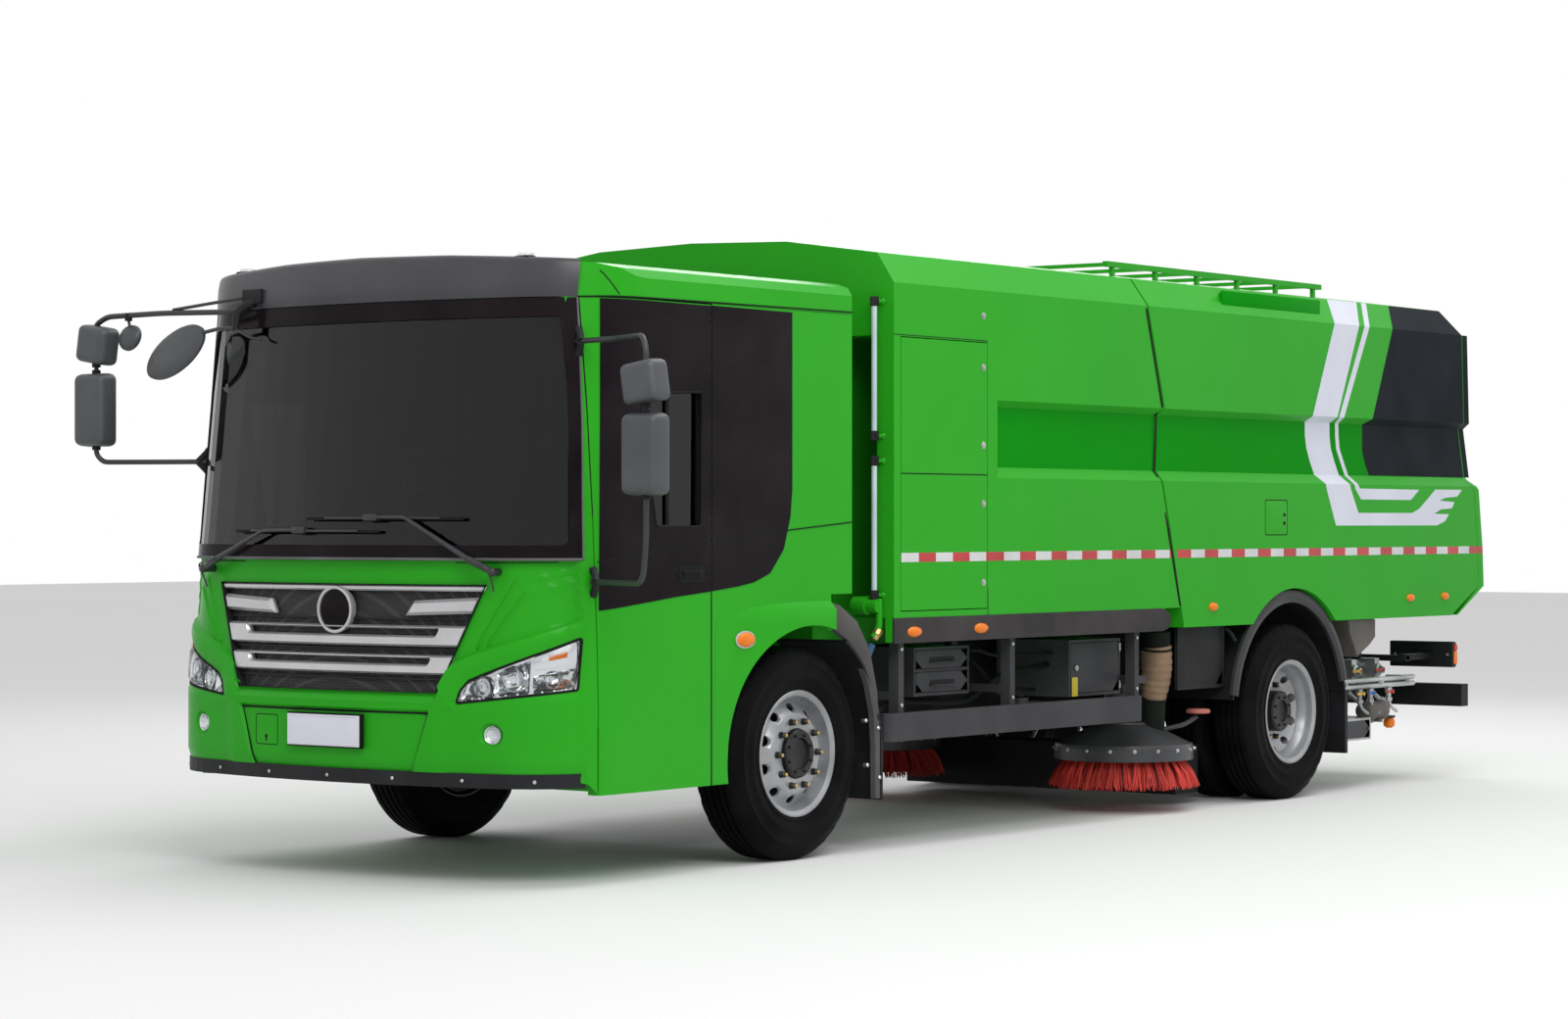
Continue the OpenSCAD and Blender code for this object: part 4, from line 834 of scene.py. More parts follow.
# ---- Headlamps and fog lamps -------------------------------------------------------
# A black tray with bright reflector bowls, a projector, small day lamps along the lower
# edge and an amber turn lamp outboard, all under one clear moulded cover.
lamp_chrome = moulded("lamp_reflector", (0.72, 0.73, 0.75), 0.14, 0.05, 0.08, metal=0.95, grit=90.0,
                      height=0.0006)
amber, amber_tree, amber_shader = new_finish("amber_lens")
amber_tree.links.new(blend_colour(amber_tree, grain(amber_tree, 220.0, 1.0, (1, 1, 0.2)),
                                  (0.62, 0.115, 0.004), (0.86, 0.230, 0.006)),
                     amber_shader.inputs["Base Color"])
amber_shader.inputs["Roughness"].default_value = 0.15
amber_shader.inputs["Emission Color"].default_value = (0.9, 0.22, 0.01, 1)
amber_shader.inputs["Emission Strength"].default_value = 0.04
amber_shader.inputs["Specular IOR Level"].default_value = 0.3
rough_surface(amber_tree, amber_shader, grain(amber_tree, 300.0, 1.0, (1, 1, 0.15)), 0.5, 0.002)


def clear(name, tint, rough=0.02, level_of_gloss=0.5):
    """Clear or tinted glass or acrylic, with faint smears in its gloss."""
    m, tree, shader = new_finish(name)
    tree.links.new(blend_colour(tree, spread(tree, grain(tree, 6.0, 5.0), 0, 1, (0.4, 0.7)), tint,
                                tuple(c * 0.9 for c in tint)),
                   shader.inputs["Base Color"])
    tree.links.new(spread(tree, grain(tree, 14.0, 6.0), rough, rough + 0.05, (0.4, 0.8)),
                   shader.inputs["Roughness"])
    shader.inputs["Transmission Weight"].default_value = 1.0
    shader.inputs["IOR"].default_value = 1.35
    shader.inputs["Specular IOR Level"].default_value = level_of_gloss
    return m


lamp_cover = clear("lamp_cover_acrylic", (0.93, 0.95, 0.96))
trays = bmesh.new()
bowls = bmesh.new()
covers = bmesh.new()
turn_lamps = bmesh.new()
rims = bmesh.new()
for side in (1, -1):
    edge = [(side * u, v) for u, v in rounded(drawn_in(LAMP_EDGE, 0.003), 0.012, 3)]

    skin(trays, edge, cab_nose, -0.058, 0.003, 0.05)
    loop = along(edge, 0.03)
    for a, b in zip(loop, loop[1:] + loop[:1]):
        trays.faces.new([trays.verts.new(cab_nose(*p)) for p in ((*a, -0.012), (*b, -0.012), (*b, -0.060),
                                                                 (*a, -0.060))])
    seam(rims, edge + [edge[0]], lambda u, v, out: cab_nose(u, v, mask_out(u, v) + out), 0.012, 0.0012,
         0.02)
    inner = [(side * u, v) for u, v in rounded(drawn_in(LAMP_EDGE, 0.009), 0.010, 3)]
    skin(covers, inner, cab_nose, lambda u,
         v: mask_out(u, v) - 0.001 + 0.003 * min(1, near(u, v, inner, True) / 0.02), 0.0025, 0.03)
    # Reflector steps behind the cover
    for shape, step_back in (([(0.742, 0.822), (0.80, 0.828), (0.80, 0.900), (0.765, 0.880)], -0.050),
                        ([(0.905, 0.846), (1.065, 0.862), (1.065, 0.990), (0.905, 0.930)], -0.046),
                        ([(1.085, 0.864), (1.280, 0.880), (1.280, 0.960), (1.085, 0.925)], -0.044)):
        cell = [(side * u, v) for u, v in rounded(shape, 0.008, 2)]
        skin(bowls, cell, cab_nose,
             crowned(cell, step_back + 0.022, -0.022, 0.035), 0.003, 0.012)
    for u, v, r in ((0.845, 0.874, 0.040), (0.985, 0.912, 0.048), (1.175, 0.912, 0.034)):
        a, b = cab_nose(side * u, v, -0.056), cab_nose(side * u, v, 0.0)
        turned(bowls, a, b, [(0.0, r * 0.3), (0.006, r * 0.55), (0.018, r * 0.9), (0.032, r),
                             (0.034, r * 1.06), (0.028, r * 1.1)], 28, shut=False)
        turned(covers, a, b, [(0.006, r * 0.46), (0.016, r * 0.47), (0.024, r * 0.38), (0.028, r * 0.2),
                              (0.0288, r * 0.05)], 20)
    for i in range(9):
        u, v = 0.80 + i * 0.055, 0.826 + i * 0.0050
        a, b = cab_nose(side * u, v, -0.030), cab_nose(side * u, v, 0.0)
        turned(bowls, a, b, [(0, 0.006), (0.008, 0.0075), (0.011, 0.005), (0.012, 0.001)], 10)
    turn = [(side * u, v) for u,
            v in rounded([(1.085, 0.950), (1.280, 0.980), (1.278, 1.072), (1.20, 1.044), (1.085, 1.003)],
                         0.01, 2)]
    skin(bowls, turn, cab_nose, -0.036, 0.004, 0.02)
    bar = [(side * u, v) for u,
           v in rounded([(1.150, 0.990), (1.235, 1.006), (1.235, 1.030), (1.150, 1.008)], 0.006, 2)]
    skin(turn_lamps, bar, cab_nose, -0.028, 0.008, 0.02)
    # Fog lamp in its bowl
    a, b = cab_nose(side * FOG_AT[0], FOG_AT[1], -0.040), cab_nose(side * FOG_AT[0], FOG_AT[1], 0.0)
    turned(bowls, a, b, [(0.0, 0.030), (0.004, 0.042), (0.016, 0.043), (0.020, 0.040), (0.016, 0.036),
                         (0.006, 0.012), (0.005, 0.001)], 32, shut=False)
    turned(covers, a, b, [(0.009, 0.036), (0.017, 0.036), (0.021, 0.030), (0.024, 0.016), (0.0245, 0.002)],
           28)
tray_piece = made(trays, "headlamp_trays", lamp_chrome, "chassis", "lamp_clear")
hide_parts("front_lamps")
made(bowls, "headlamp_reflectors", lamp_chrome, "chassis", "lamp_clear", 20)
made(turn_lamps, "headlamp_turn_bars", amber, "chassis", "lamp_clear")
made(rims, "headlamp_rims", shut_line, "chassis", "front_green")
made(covers, "headlamp_covers", lamp_cover, "chassis", "lamp_clear", 50)

# ---- Windscreen, door glass and roof cap -------------------------------------------
# Tinted laminated glass bonded on a black printed border, with a grey rubber at its foot.
# Above it a dark grey moulded cap closes the roof's front edge between the green corners.
screen_glass = clear("tinted_screen_glass", (0.15, 0.155, 0.16), 0.0, 0.14)
door_glass = clear("tinted_door_glass", (0.035, 0.035, 0.038), 0.0, 0.08)
repaint(screen_glass, "windscreen")
repaint(door_glass, "door_left_glass", "door_right_glass")
SCREEN_EDGE = [(1.436, 1.266), (1.482, 1.261), (2.04, 1.213), (2.564, 1.155), (2.585, 1.150)]
outer = [(level(SCREEN_EDGE, z), z) for z in (1.436, 1.6, 1.8, 2.04, 2.25, 2.45, 2.584)]
screen_outline = [(-u, v) for u, v in reversed(outer)] + outer
inner = [(level(SCREEN_EDGE, z) - 0.060 - 0.012 * eased((z - 2.2) / 0.4),
          z) for z in (1.495, 1.6, 1.8, 2.04, 2.25, 2.45, 2.500)]
screen_hole = rounded([(-u, v) for u, v in reversed(inner)] + inner, 0.04, 3)
bm = bmesh.new()
skin(bm, screen_outline, cab_nose, 0.0018, 0.0092, 0.09, holes=[screen_hole])
made(bm, "windscreen_border", black_film, "chassis", "tinted_glass")
bm = bmesh.new()
foot_seal = [(s, 1.4335) for s in (-1.262, -0.9, -0.5, 0, 0.5, 0.9, 1.262)]
tube(bm, [cab_nose(s, z, 0.002) for s, z in along(foot_seal, 0.08, False)], 0.0065, 8, 0.02, 1)
for side in (1, -1):
    tube(bm, [cab_nose(side * u, v, 0.0015) for u, v in along(outer, 0.12, False)], 0.0045, 8, 0.02, 1)
rubber_grey = moulded("screen_rubber", (0.10, 0.10, 0.105), 0.6)
made(bm, "windscreen_seal", rubber_grey, "chassis", "grille_black")

ROOF_LINE = [(0.0, 2.785), (0.5, 2.777), (1.15, 2.745), (1.21, 2.725), (1.235, 2.685)]
cap_grey = moulded("roof_cap_grey", (0.036, 0.037, 0.042), 0.34, 0.06, 0.12, grit=500.0, height=0.0002)
bm = bmesh.new()
columns = []
for i in range(41):
    s = -1.150 + 2.300 * i / 40
    side_y = abs(cab_nose(s, 2.7, 0).y)
    top = level(ROOF_LINE, side_y)
    face_foot = cab_nose(s, 2.588, 0.003)
    normal = (cab_nose(s, top, 0.1) - cab_nose(s, top, 0)).normalized()
    back = Vector((-normal.x, -normal.y, 0)).normalized()
    edge_point = cab_nose(s, top, 0)
    bulge = 0.006 + 0.010 * math.cos(math.pi * s / 2.7)
    points = [cab_nose(s, 2.586, -0.004), face_foot, cab_nose(s, 2.61, 0.006 + bulge * 0.4),
              cab_nose(s, 2.65, 0.006 + bulge * 0.8), cab_nose(s, 2.70, 0.005 + bulge)]
    for turn in (0, 25, 50, 75, 95):
        t = math.radians(turn)
        p = edge_point - normal * 0.016 + Vector((0, 0, -0.014))
        points.append(p + normal * math.cos(t) * (0.019 + bulge) + Vector((0, 0, 1)) * math.sin(t) * 0.024)
    for run in (0.06, 0.14, 0.20):
        p = edge_point + back * run
        points.append(Vector((p.x, p.y, level(ROOF_LINE, abs(p.y)) + 0.006 - 0.004 * (run > 0.19))))
    p = edge_point + back * 0.202
    points.append(Vector((p.x, p.y, level(ROOF_LINE, abs(p.y)) - 0.004)))
    columns.append([bm.verts.new(p) for p in points])
for one, two in zip(columns, columns[1:]):
    for i in range(len(one) - 1):
        bm.faces.new([one[i], two[i], two[i + 1], one[i + 1]])
made(bm, "roof_front_cap", cap_grey, "chassis", "grille_black", 45)
white_lens = moulded("white_lens", (0.75, 0.77, 0.80), 0.12, 0.04, 0.05, grit=300.0, height=0.0008)
bm = bmesh.new()
holders = bmesh.new()
for y in (-0.86, 0.86):
    top = level(ROOF_LINE, abs(y)) + 0.006
    x = 4.262 - 0.062 * y * y
    block(holders, (x - 0.035, y - 0.040, top - 0.004), (x + 0.024, y + 0.040, top + 0.008), 0.004)
    for v in block(bm, (x - 0.028, y - 0.034, top + 0.006), (x + 0.018, y + 0.034, top + 0.026), 0.010, 3):
        v.co.x -= (v.co.z - top) * 0.5
made(holders, "marker_lamp_feet", black_plastic, "chassis", "grille_black")
made(bm, "marker_lamps", white_lens, "chassis", "lamp_clear")

# ---- Wipers --------------------------------------------------------------------------
# Two pressed steel arms on splined spindles. Each arm is sprung at a knee, then runs level
# to a hub that carries a long hinged blade; a thin hose brings washer water up the arm.
arms = bmesh.new()
blades = bmesh.new()
for pivot, knee, bend, hub, blade in (
        ((0.868, 1.379), (0.753, 1.433), (0.401, 1.619), (0.211, 1.619), (-0.194, 0.699)),
        ((-0.909, 1.382), (-0.80, 1.428), (-0.461, 1.559), (-0.226, 1.562), (-0.689, 0.251))):
    def at(point, out):
        """A point ahead of the cab's front, from (width, height)."""
        y, z = point
        s = NOSE_R * math.asin(y / NOSE_R)
        if abs(y) >= FACE_HALF:
            s = math.copysign(FACE_RUN + abs(y) - FACE_HALF, y)
        return cab_nose(s, z, out)

    rod(arms, at(pivot, -0.03), at(pivot, 0.034), 0.017)
    turned(arms, at(pivot, 0.030), at(pivot, 0.06), [(0, 0.020), (0.010, 0.020), (0.016, 0.015),
                                                     (0.018, 0.006)], 20)
    tube(arms, [at(pivot, 0.028), at(knee, 0.034)], [0.015, 0.017], 10)
    tube(arms, [at(knee, 0.034), at(bend, 0.036), at(hub, 0.034)], [0.013, 0.008, 0.007], 10, 0.02)
    rod(arms, at((knee[0], knee[1] + 0.012), 0.030), at((knee[0], knee[1] - 0.012), 0.030), 0.016)
    tube(arms, [at((pivot[0], pivot[1] - 0.085), 0.002), at((pivot[0] - 0.004, pivot[1] - 0.03), 0.026),
                at((pivot[0] - 0.02, pivot[1] + 0.02), 0.050), at(knee, 0.054)], 0.004, 8, 0.03)
    z = hub[1] - 0.004
    block(arms, tuple(at(hub, 0.016) + Vector((-0.010, -0.040, -0.016))),
          tuple(at(hub, 0.030) + Vector((0.008, 0.040, 0.014))), 0.005)
    mid = (blade[0] + blade[1]) / 2
    tube(arms, [at((blade[0] + 0.12, z), 0.018), at((mid - 0.1, z), 0.025), at((mid + 0.1, z), 0.025),
                at((blade[1] - 0.12, z), 0.018)], 0.005, 8, 0.1)
    steps = 24
    for i in range(steps):
        y0 = blade[0] + (blade[1] - blade[0]) * i / steps
        y1 = blade[0] + (blade[1] - blade[0]) * (i + 1) / steps
        for low, high, a, b in ((-0.009, 0.004, 0.010, 0.017), (-0.004, 0.000, 0.003, 0.011)):
            corners = []
            for y in (y0, y1):
                corners.append([blades.verts.new(at((y, z + dz), out)) for dz,
                                out in ((low, a), (high, a), (high, b), (low, b))])
            walled(blades, corners)
            if i == 0:
                blades.faces.new(corners[0])
            if i == steps - 1:
                blades.faces.new(list(reversed(corners[1])))
arm_black = moulded("wiper_satin_black", (0.020, 0.021, 0.024), 0.38, 0.08)
made(arms, "wiper_arms", arm_black, "chassis", "grille_black", 40)
made(blades, "wiper_blades", shut_line, "chassis", "grille_black", 40)

# ---- Mirrors ---------------------------------------------------------------------------
# Grey moulded heads on painted steel tube, each tube clamped to cast lugs on the cab.
# The far side has a long arm from the roof cap, with an oval front mirror below it.
mirror_grey = moulded("mirror_grey_plastic", (0.050, 0.054, 0.060), 0.45, 0.08, 0.15, grit=600.0,
                      height=0.0003)
mirror_glass = moulded("mirror_glass", (0.85, 0.87, 0.88), 0.03, 0.02, 0.02, metal=1.0, grit=5.0,
                       height=0.0)
heads = bmesh.new()
glasses = bmesh.new()
tubes = bmesh.new()
lugs = bmesh.new()


def mirror_head(at, size, tilt=0.0):
    """A rounded head, open at the back round its glass; tilt is about the cab's length."""
    turn = Matrix.Translation(at) @ Matrix.Rotation(tilt, 4, "X")
    w, h, d = size
    for v in block(heads, (-d / 2, -w / 2, -h / 2), (d / 2, w / 2, h / 2), min(w, d) * 0.32, 6):
        p = v.co.copy()
        forward = max(p.x / (d / 2), 0)
        p.y *= 1 - 0.10 * forward
        p.z *= 1 - 0.05 * forward - 0.04 * (2 * p.y / w) ** 2
        v.co = turn @ p
    for v in block(glasses, (-d / 2 - 0.002, -w / 2 + 0.030, -h / 2 + 0.032),
                   (-d / 2 + 0.006, w / 2 - 0.030, h / 2 - 0.032), 0.003):
        v.co = turn @ v.co


for side, main_z, head_z, top, foot in ((1, 1.885, 2.190, 2.390, 1.345), (-1, 2.135, 2.447, 2.590, 1.890)):
    mirror_head((4.400, side * 1.690, main_z), (0.205, 0.358, 0.118))
    mirror_head((4.392, side * 1.682, head_z), (0.200, 0.185, 0.120), side * math.radians(9))
    rod(tubes, (4.39, side * 1.69, main_z + 0.17), (4.39, side * 1.69, head_z - 0.07), 0.011)
    for z in (main_z + 0.182, main_z - 0.182, head_z - 0.098):
        rod(lugs, (4.39, side * 1.69, z - 0.010), (4.39, side * 1.69, z + 0.010), 0.021)
    if side > 0:
        ends = ((top, 2.39, 1), (foot, 1.335, -1))
    else:
        ends = ((foot, 1.885, -1),)
    for z, lug_z, bend_way in ends:
        p = Vector((4.165, side * (cab_side_y(4.167, lug_z) + 0.012), lug_z))
        inner_z = head_z + 0.08 if bend_way > 0 else main_z - 0.17
        tube(tubes, [p, (4.24, side * 1.40, lug_z), (4.375, side * 1.66, lug_z),
                     (4.39, side * 1.69, (lug_z + inner_z) / 2), (4.39, side * 1.69, inner_z)], 0.0125, 12,
             0.07)
        for dz in (-0.055, 0.055):
            tube(lugs, [p + Vector((-0.012, -side * 0.006, dz)), p + Vector((0.0, side * 0.018, dz * 0.5)),
                        p + Vector((0.02, side * 0.035, 0))], [0.020, 0.017, 0.018], 10, 0.02)
            turned(lugs, p + Vector((-0.012, side * 0.004, dz)), p + Vector((-0.012, side * 0.03, dz)),
                   [(0, 0.012), (0.008, 0.012), (0.011, 0.008)], 6)
# Far side: the long arm, its brace and the drop bracket with the oval mirror
clamp = Vector((4.262, -0.700, 2.655))
tube(tubes, [clamp + Vector((0.06, 0, -0.05)), (4.375, -0.80, 2.575), (4.375, -1.25, 2.585),
             (4.385, -1.62, 2.580), (4.39, -1.69, 2.545), (4.39, -1.69, 2.50)], 0.0135, 12, 0.07)
tube(tubes, [clamp + Vector((0.03, 0, 0.0)), (4.372, -0.82, 2.630), (4.375, -1.18, 2.598)], 0.008, 10, 0.05)
tube(lugs, [clamp + Vector((0.0, 0.03, 0.0)), clamp + Vector((0.075, 0.0, -0.035)), (4.375, -0.757, 2.575),
            (4.385, -0.757, 2.490)],
     [0.020, 0.022, 0.020, 0.015], 12, 0.03)
block(lugs, (4.250, -0.760, 2.610), (4.345, -0.640, 2.680), 0.010, 3)
tube(tubes, [(4.385, -0.757, 2.500), (4.385, -0.86, 2.500), (4.385, -0.985, 2.482)], 0.009, 10, 0.03)
tube(tubes, [(4.385, -0.757, 2.495), (4.392, -0.66, 2.452), (4.378, -0.60, 2.44)], 0.006, 8, 0.03)
rod(lugs, (4.383, -1.475, 2.555), (4.383, -1.475, 2.592), 0.018)
tube(tubes, [(4.383, -1.475, 2.56), (4.378, -1.470, 2.52)], 0.007, 8)


def oval_mirror(at, half, tilt):
    """A shallow moulded bowl with a domed glass that looks down and back."""
    place = Matrix.Translation(at) @ Matrix.Rotation(tilt, 4,
                                                     "X") @ Matrix.Rotation(math.radians(-14), 4, "Y")
    for bm_part, rings in ((heads, [(0.030, 0.10), (0.028, 0.55), (0.018, 0.88), (0.004, 1.0),
                                    (-0.010, 1.0), (-0.014, 0.95)]),
                           (glasses, [(-0.012, 0.94), (-0.018, 0.75), (-0.022, 0.45), (-0.0235, 0.10)])):
        loops = []
        for x, share in rings:
            edge = oval((0, 0), (half[0] * share, half[1] * share), 40)
            loops.append([bm_part.verts.new(place @ Vector((x, *p))) for p in edge])
        walled(bm_part, loops)
        bm_part.faces.new(loops[0])
        bm_part.faces.new(list(reversed(loops[-1])))


oval_mirror((4.385, -1.155, 2.398), (0.208, 0.108), math.radians(24))
oval_mirror((4.378, -1.470, 2.475), (0.070, 0.062), math.radians(15))
mirror_heads = made(heads, "mirror_heads", mirror_grey, "chassis", "mirror_grey", 50)
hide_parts("mirrors")
made(glasses, "mirror_glasses", mirror_glass, "chassis", "mirror_grey", 50)
made(tubes, "mirror_tubes", arm_black, "chassis", "mirror_grey", 50)
made(lugs, "mirror_lugs", black_plastic, "chassis", "mirror_grey", 50)


# ---- Fender flares, front mudguard bands and side indicators ---------------------
# The cab's lower corner is pressed outwards over the wheel and ends in a square edge.
# A grey rubber band carries on behind it to the flap, held by bolts.
ARCH_AT = Vector((2.61, 0.49))
ARCH_R = 0.622
FLARE_TOP = [(3.315, 1.150), (3.208, 1.178), (3.05, 1.203), (2.894, 1.216), (2.65, 1.224), (2.427, 1.224)]
FLARE_SHELF = 0.046
arch_line = [(ARCH_AT.x + ARCH_R * math.cos(math.radians(a)),
              ARCH_AT.y + ARCH_R * math.sin(math.radians(a)))
             for a in range(8, 108, 4)]
flare = FLARE_TOP + [(2.427,
                      1.086)] + list(reversed(arch_line[:-1])) + [(3.232, 0.49), (3.232, 0.404),
                                                                  (3.343, 0.404)]
band_grey = moulded("mudguard_grey_rubber", (0.085, 0.080, 0.078), 0.62, 0.08, 0.2, sheen=0.15)
BAND_OUTER = [(2.430, 1.222), (2.324, 1.200), (2.181, 1.121), (2.073, 0.979), (2.012, 0.782),
              (1.988, 0.585), (1.986, 0.258)]
BAND_INNER = [(2.430, 1.110), (2.359, 1.083), (2.253, 1.030), (2.157, 0.940), (2.085, 0.812),
              (2.042, 0.671), (2.028, 0.531), (2.024, 0.258)]


def flare_out(x, z):
    """How far the flare stands out: most at its rear end, fading forwards."""
    reach = 0.036 * eased((3.26 - x) / 0.62)
    top = level([(-p[0], p[1]) for p in FLARE_TOP], -x)
    return 0.0012 + reach * min(max((top - z) / FLARE_SHELF, 0), 1) ** 0.5


def flat_side(side, y):
    """An upright plane as a surface: (length, height, out) to a point."""
    return lambda x, z, out: Vector((x, side * (y + out), z))


def dome(bm, surface, at, half, rise, base=0.0):
    """A domed oval lens on a surface."""
    rim = oval(at, half, 28)
    skin(bm, rim, surface, lambda u, v: base + rise * math.sqrt(max(1 - ((u - at[0]) / half[0]) ** 2
         - ((v - at[1]) / half[1]) ** 2, 0)), 0.004, half[1] / 4)
    return rim


for side, hand in SIDES:
    face = cab_side(side)
    bm = bmesh.new()
    shelf = [(x, z - FLARE_SHELF) for x, z in FLARE_TOP]
    skin(bm, flare, face, flare_out, 0.034, 0.045, creases=[shelf[1:]])
    made(bm, "fender_flare_" + hand, green, "chassis", "body_green", 40)
    bm = bmesh.new()
    wall = flat_side(side, 1.215)
    band = BAND_OUTER + list(reversed(BAND_INNER))
    skin(bm, band, wall, crowned(band, 0, 0.012, 0.015), 0.03, 0.03)
    made(bm, "mudguard_band_" + hand, band_grey, "chassis", "guard_grey", 45)
    bm = bmesh.new()
    for x, z in ((2.120, 0.640), (2.108, 0.425), (2.016, 0.60), (2.005, 0.36)):
        turned(bm, (x, side * 1.205, z), (x, side * 1.30, z), [(0, 0.011), (0.022, 0.011), (0.026, 0.007)],
               6)
    made(bm, "mudguard_bolts_" + hand, steel_bolt, "chassis", "guard_grey")
    bm = bmesh.new()
    rims = bmesh.new()
    ring = dome(bm, face, (3.104, 1.056), (0.070, 0.036), 0.026, 0.006)
    tube(rims, [face(*p, 0.007) for p in ring + ring[:1]], 0.0055, 8, 0.01, 1)
    skirt = flat_side(side, 1.2445)
    for x, z in ((1.745, 1.060), (1.154, 1.064)):
        ring = dome(bm, skirt, (x, z), (0.062, 0.027), 0.024, 0.004)
        tube(rims, [skirt(*p, 0.003) for p in ring + ring[:1]], 0.004, 6, 0.01, 1)
    made(bm, "side_indicators_" + hand, amber, "chassis", "lamp_clear")
    made(rims, "side_indicator_rims_" + hand, silver, "chassis", "lamp_clear")
    bm = bmesh.new()
    for x, z in ((-1.180, 1.128), (-3.580, 1.138), (-4.046, 1.141)):
        dome(bm, flat_side(side, 1.25), (x, z), (0.045, 0.024), 0.020, 0.003)
    made(bm, "hopper_markers_" + hand, amber, "hopper", "lamp_clear")

# ---- Tyres -----------------------------------------------------------------------
# Truck tyres of black rubber with four straight grooves, a rounded shoulder notched all
# round, and ridges on the glossy side wall. The rear pair stand close side by side.
WHEEL_R = 0.505
TYRE_WIDE = 0.275
REAR_WHEEL_X = -2.13
TWIN_GAP = 0.315
GROOVE_AT = (0.082, 0.119, 0.156, 0.193)
tyre_black = moulded("tyre_black_rubber", (0.0030, 0.0030, 0.0035), 0.58, 0.10, 0.30, grit=500.0,
                     height=0.0004, sheen=0.04)
half_wall = [(0.024, 0.272), (0.015, 0.284), (0.012, 0.304), (0.007, 0.309), (0.006, 0.318),
             (0.0095, 0.323), (0.002, 0.358), (-0.0002, 0.366), (-0.0002, 0.373), (0.0012, 0.378),
             (0.0005, 0.405), (0.0025, 0.430), (0.0005, 0.433), (0.0015, 0.440), (0.0065, 0.447),
             (0.012, 0.462), (0.0215, 0.481), (0.033, 0.495), (0.046, 0.5035)]
tread_line = []
for at in GROOVE_AT:
    tread_line += [(at - 0.0065, 0.505), (at - 0.0045, 0.493), (at + 0.0045, 0.493), (at + 0.0065, 0.505)]
tyre_line = half_wall + tread_line + [(TYRE_WIDE - d, r) for d, r in reversed(half_wall)]


def tyre(bm, side, x, y):
    """One tyre whose outer face is at y, on the given side of the truck."""
    first = len(bm.verts)
    turned(bm, (x, side * y, WHEEL_R), (x, side * (y - 1), WHEEL_R), tyre_line + tyre_line[:1], 96,
           shut=False)
    bm.verts.ensure_lookup_table()
    for v in bm.verts[first:]:
        turn = math.atan2(v.co.z - WHEEL_R, v.co.x - x)
        r = math.hypot(v.co.z - WHEEL_R, v.co.x - x)
        notch = round(turn / (2 * math.pi) * 96) % 3 == 0
        if notch and 0.470 < r < 0.4999:
            v.co.x = x + (r - 0.008) * math.cos(turn)
            v.co.z = WHEEL_R + (r - 0.008) * math.sin(turn)


# ---- Wheel discs, nuts and hubs ---------------------------------------------------------
# Pressed steel discs on steel rims, painted silver, with ten hand holes and ten dark
# nuts whose stud ends show brass. The front disc bulges out; the rear one is deep.
rim_silver = moulded("wheel_silver_paint", (0.33, 0.335, 0.35), 0.30, 0.08, 0.30, metal=0.45, grit=260.0,
                     height=0.0004)
nut_black = moulded("wheel_nut_black", (0.018, 0.018, 0.019), 0.38, 0.10, 0.4, metal=0.3)
brass = moulded("brass_ends", (0.52, 0.36, 0.14), 0.32, 0.08, 0.2, metal=0.85)
hub_black = moulded("hub_black_oily", (0.006, 0.0062, 0.007), 0.34, 0.12, 0.5, grit=60.0, height=0.0015,
                    sheen=0.3)
BARREL = [(0.020, 0.298), (0.014, 0.2975), (0.010, 0.293), (0.010, 0.288), (0.015, 0.281), (0.022, 0.2715),
          (0.050, 0.2665), (0.068, 0.262), (0.105, 0.236), (0.165, 0.236), (0.205, 0.262), (0.250, 0.2715),
          (0.260, 0.288), (0.264, 0.298)]
FRONT_DISC = [(0.112, 0.030), (0.120, 0.020), (0.140, 0.018), (0.176, 0.018), (0.190, 0.024),
              (0.200, 0.040), (0.226, 0.064), (0.250, 0.078), (0.262, 0.080)]
REAR_DISC = [(0.104, 0.150), (0.178, 0.150), (0.196, 0.146), (0.226, 0.122), (0.248, 0.092), (0.259, 0.078)]
NUT_R = 0.1565


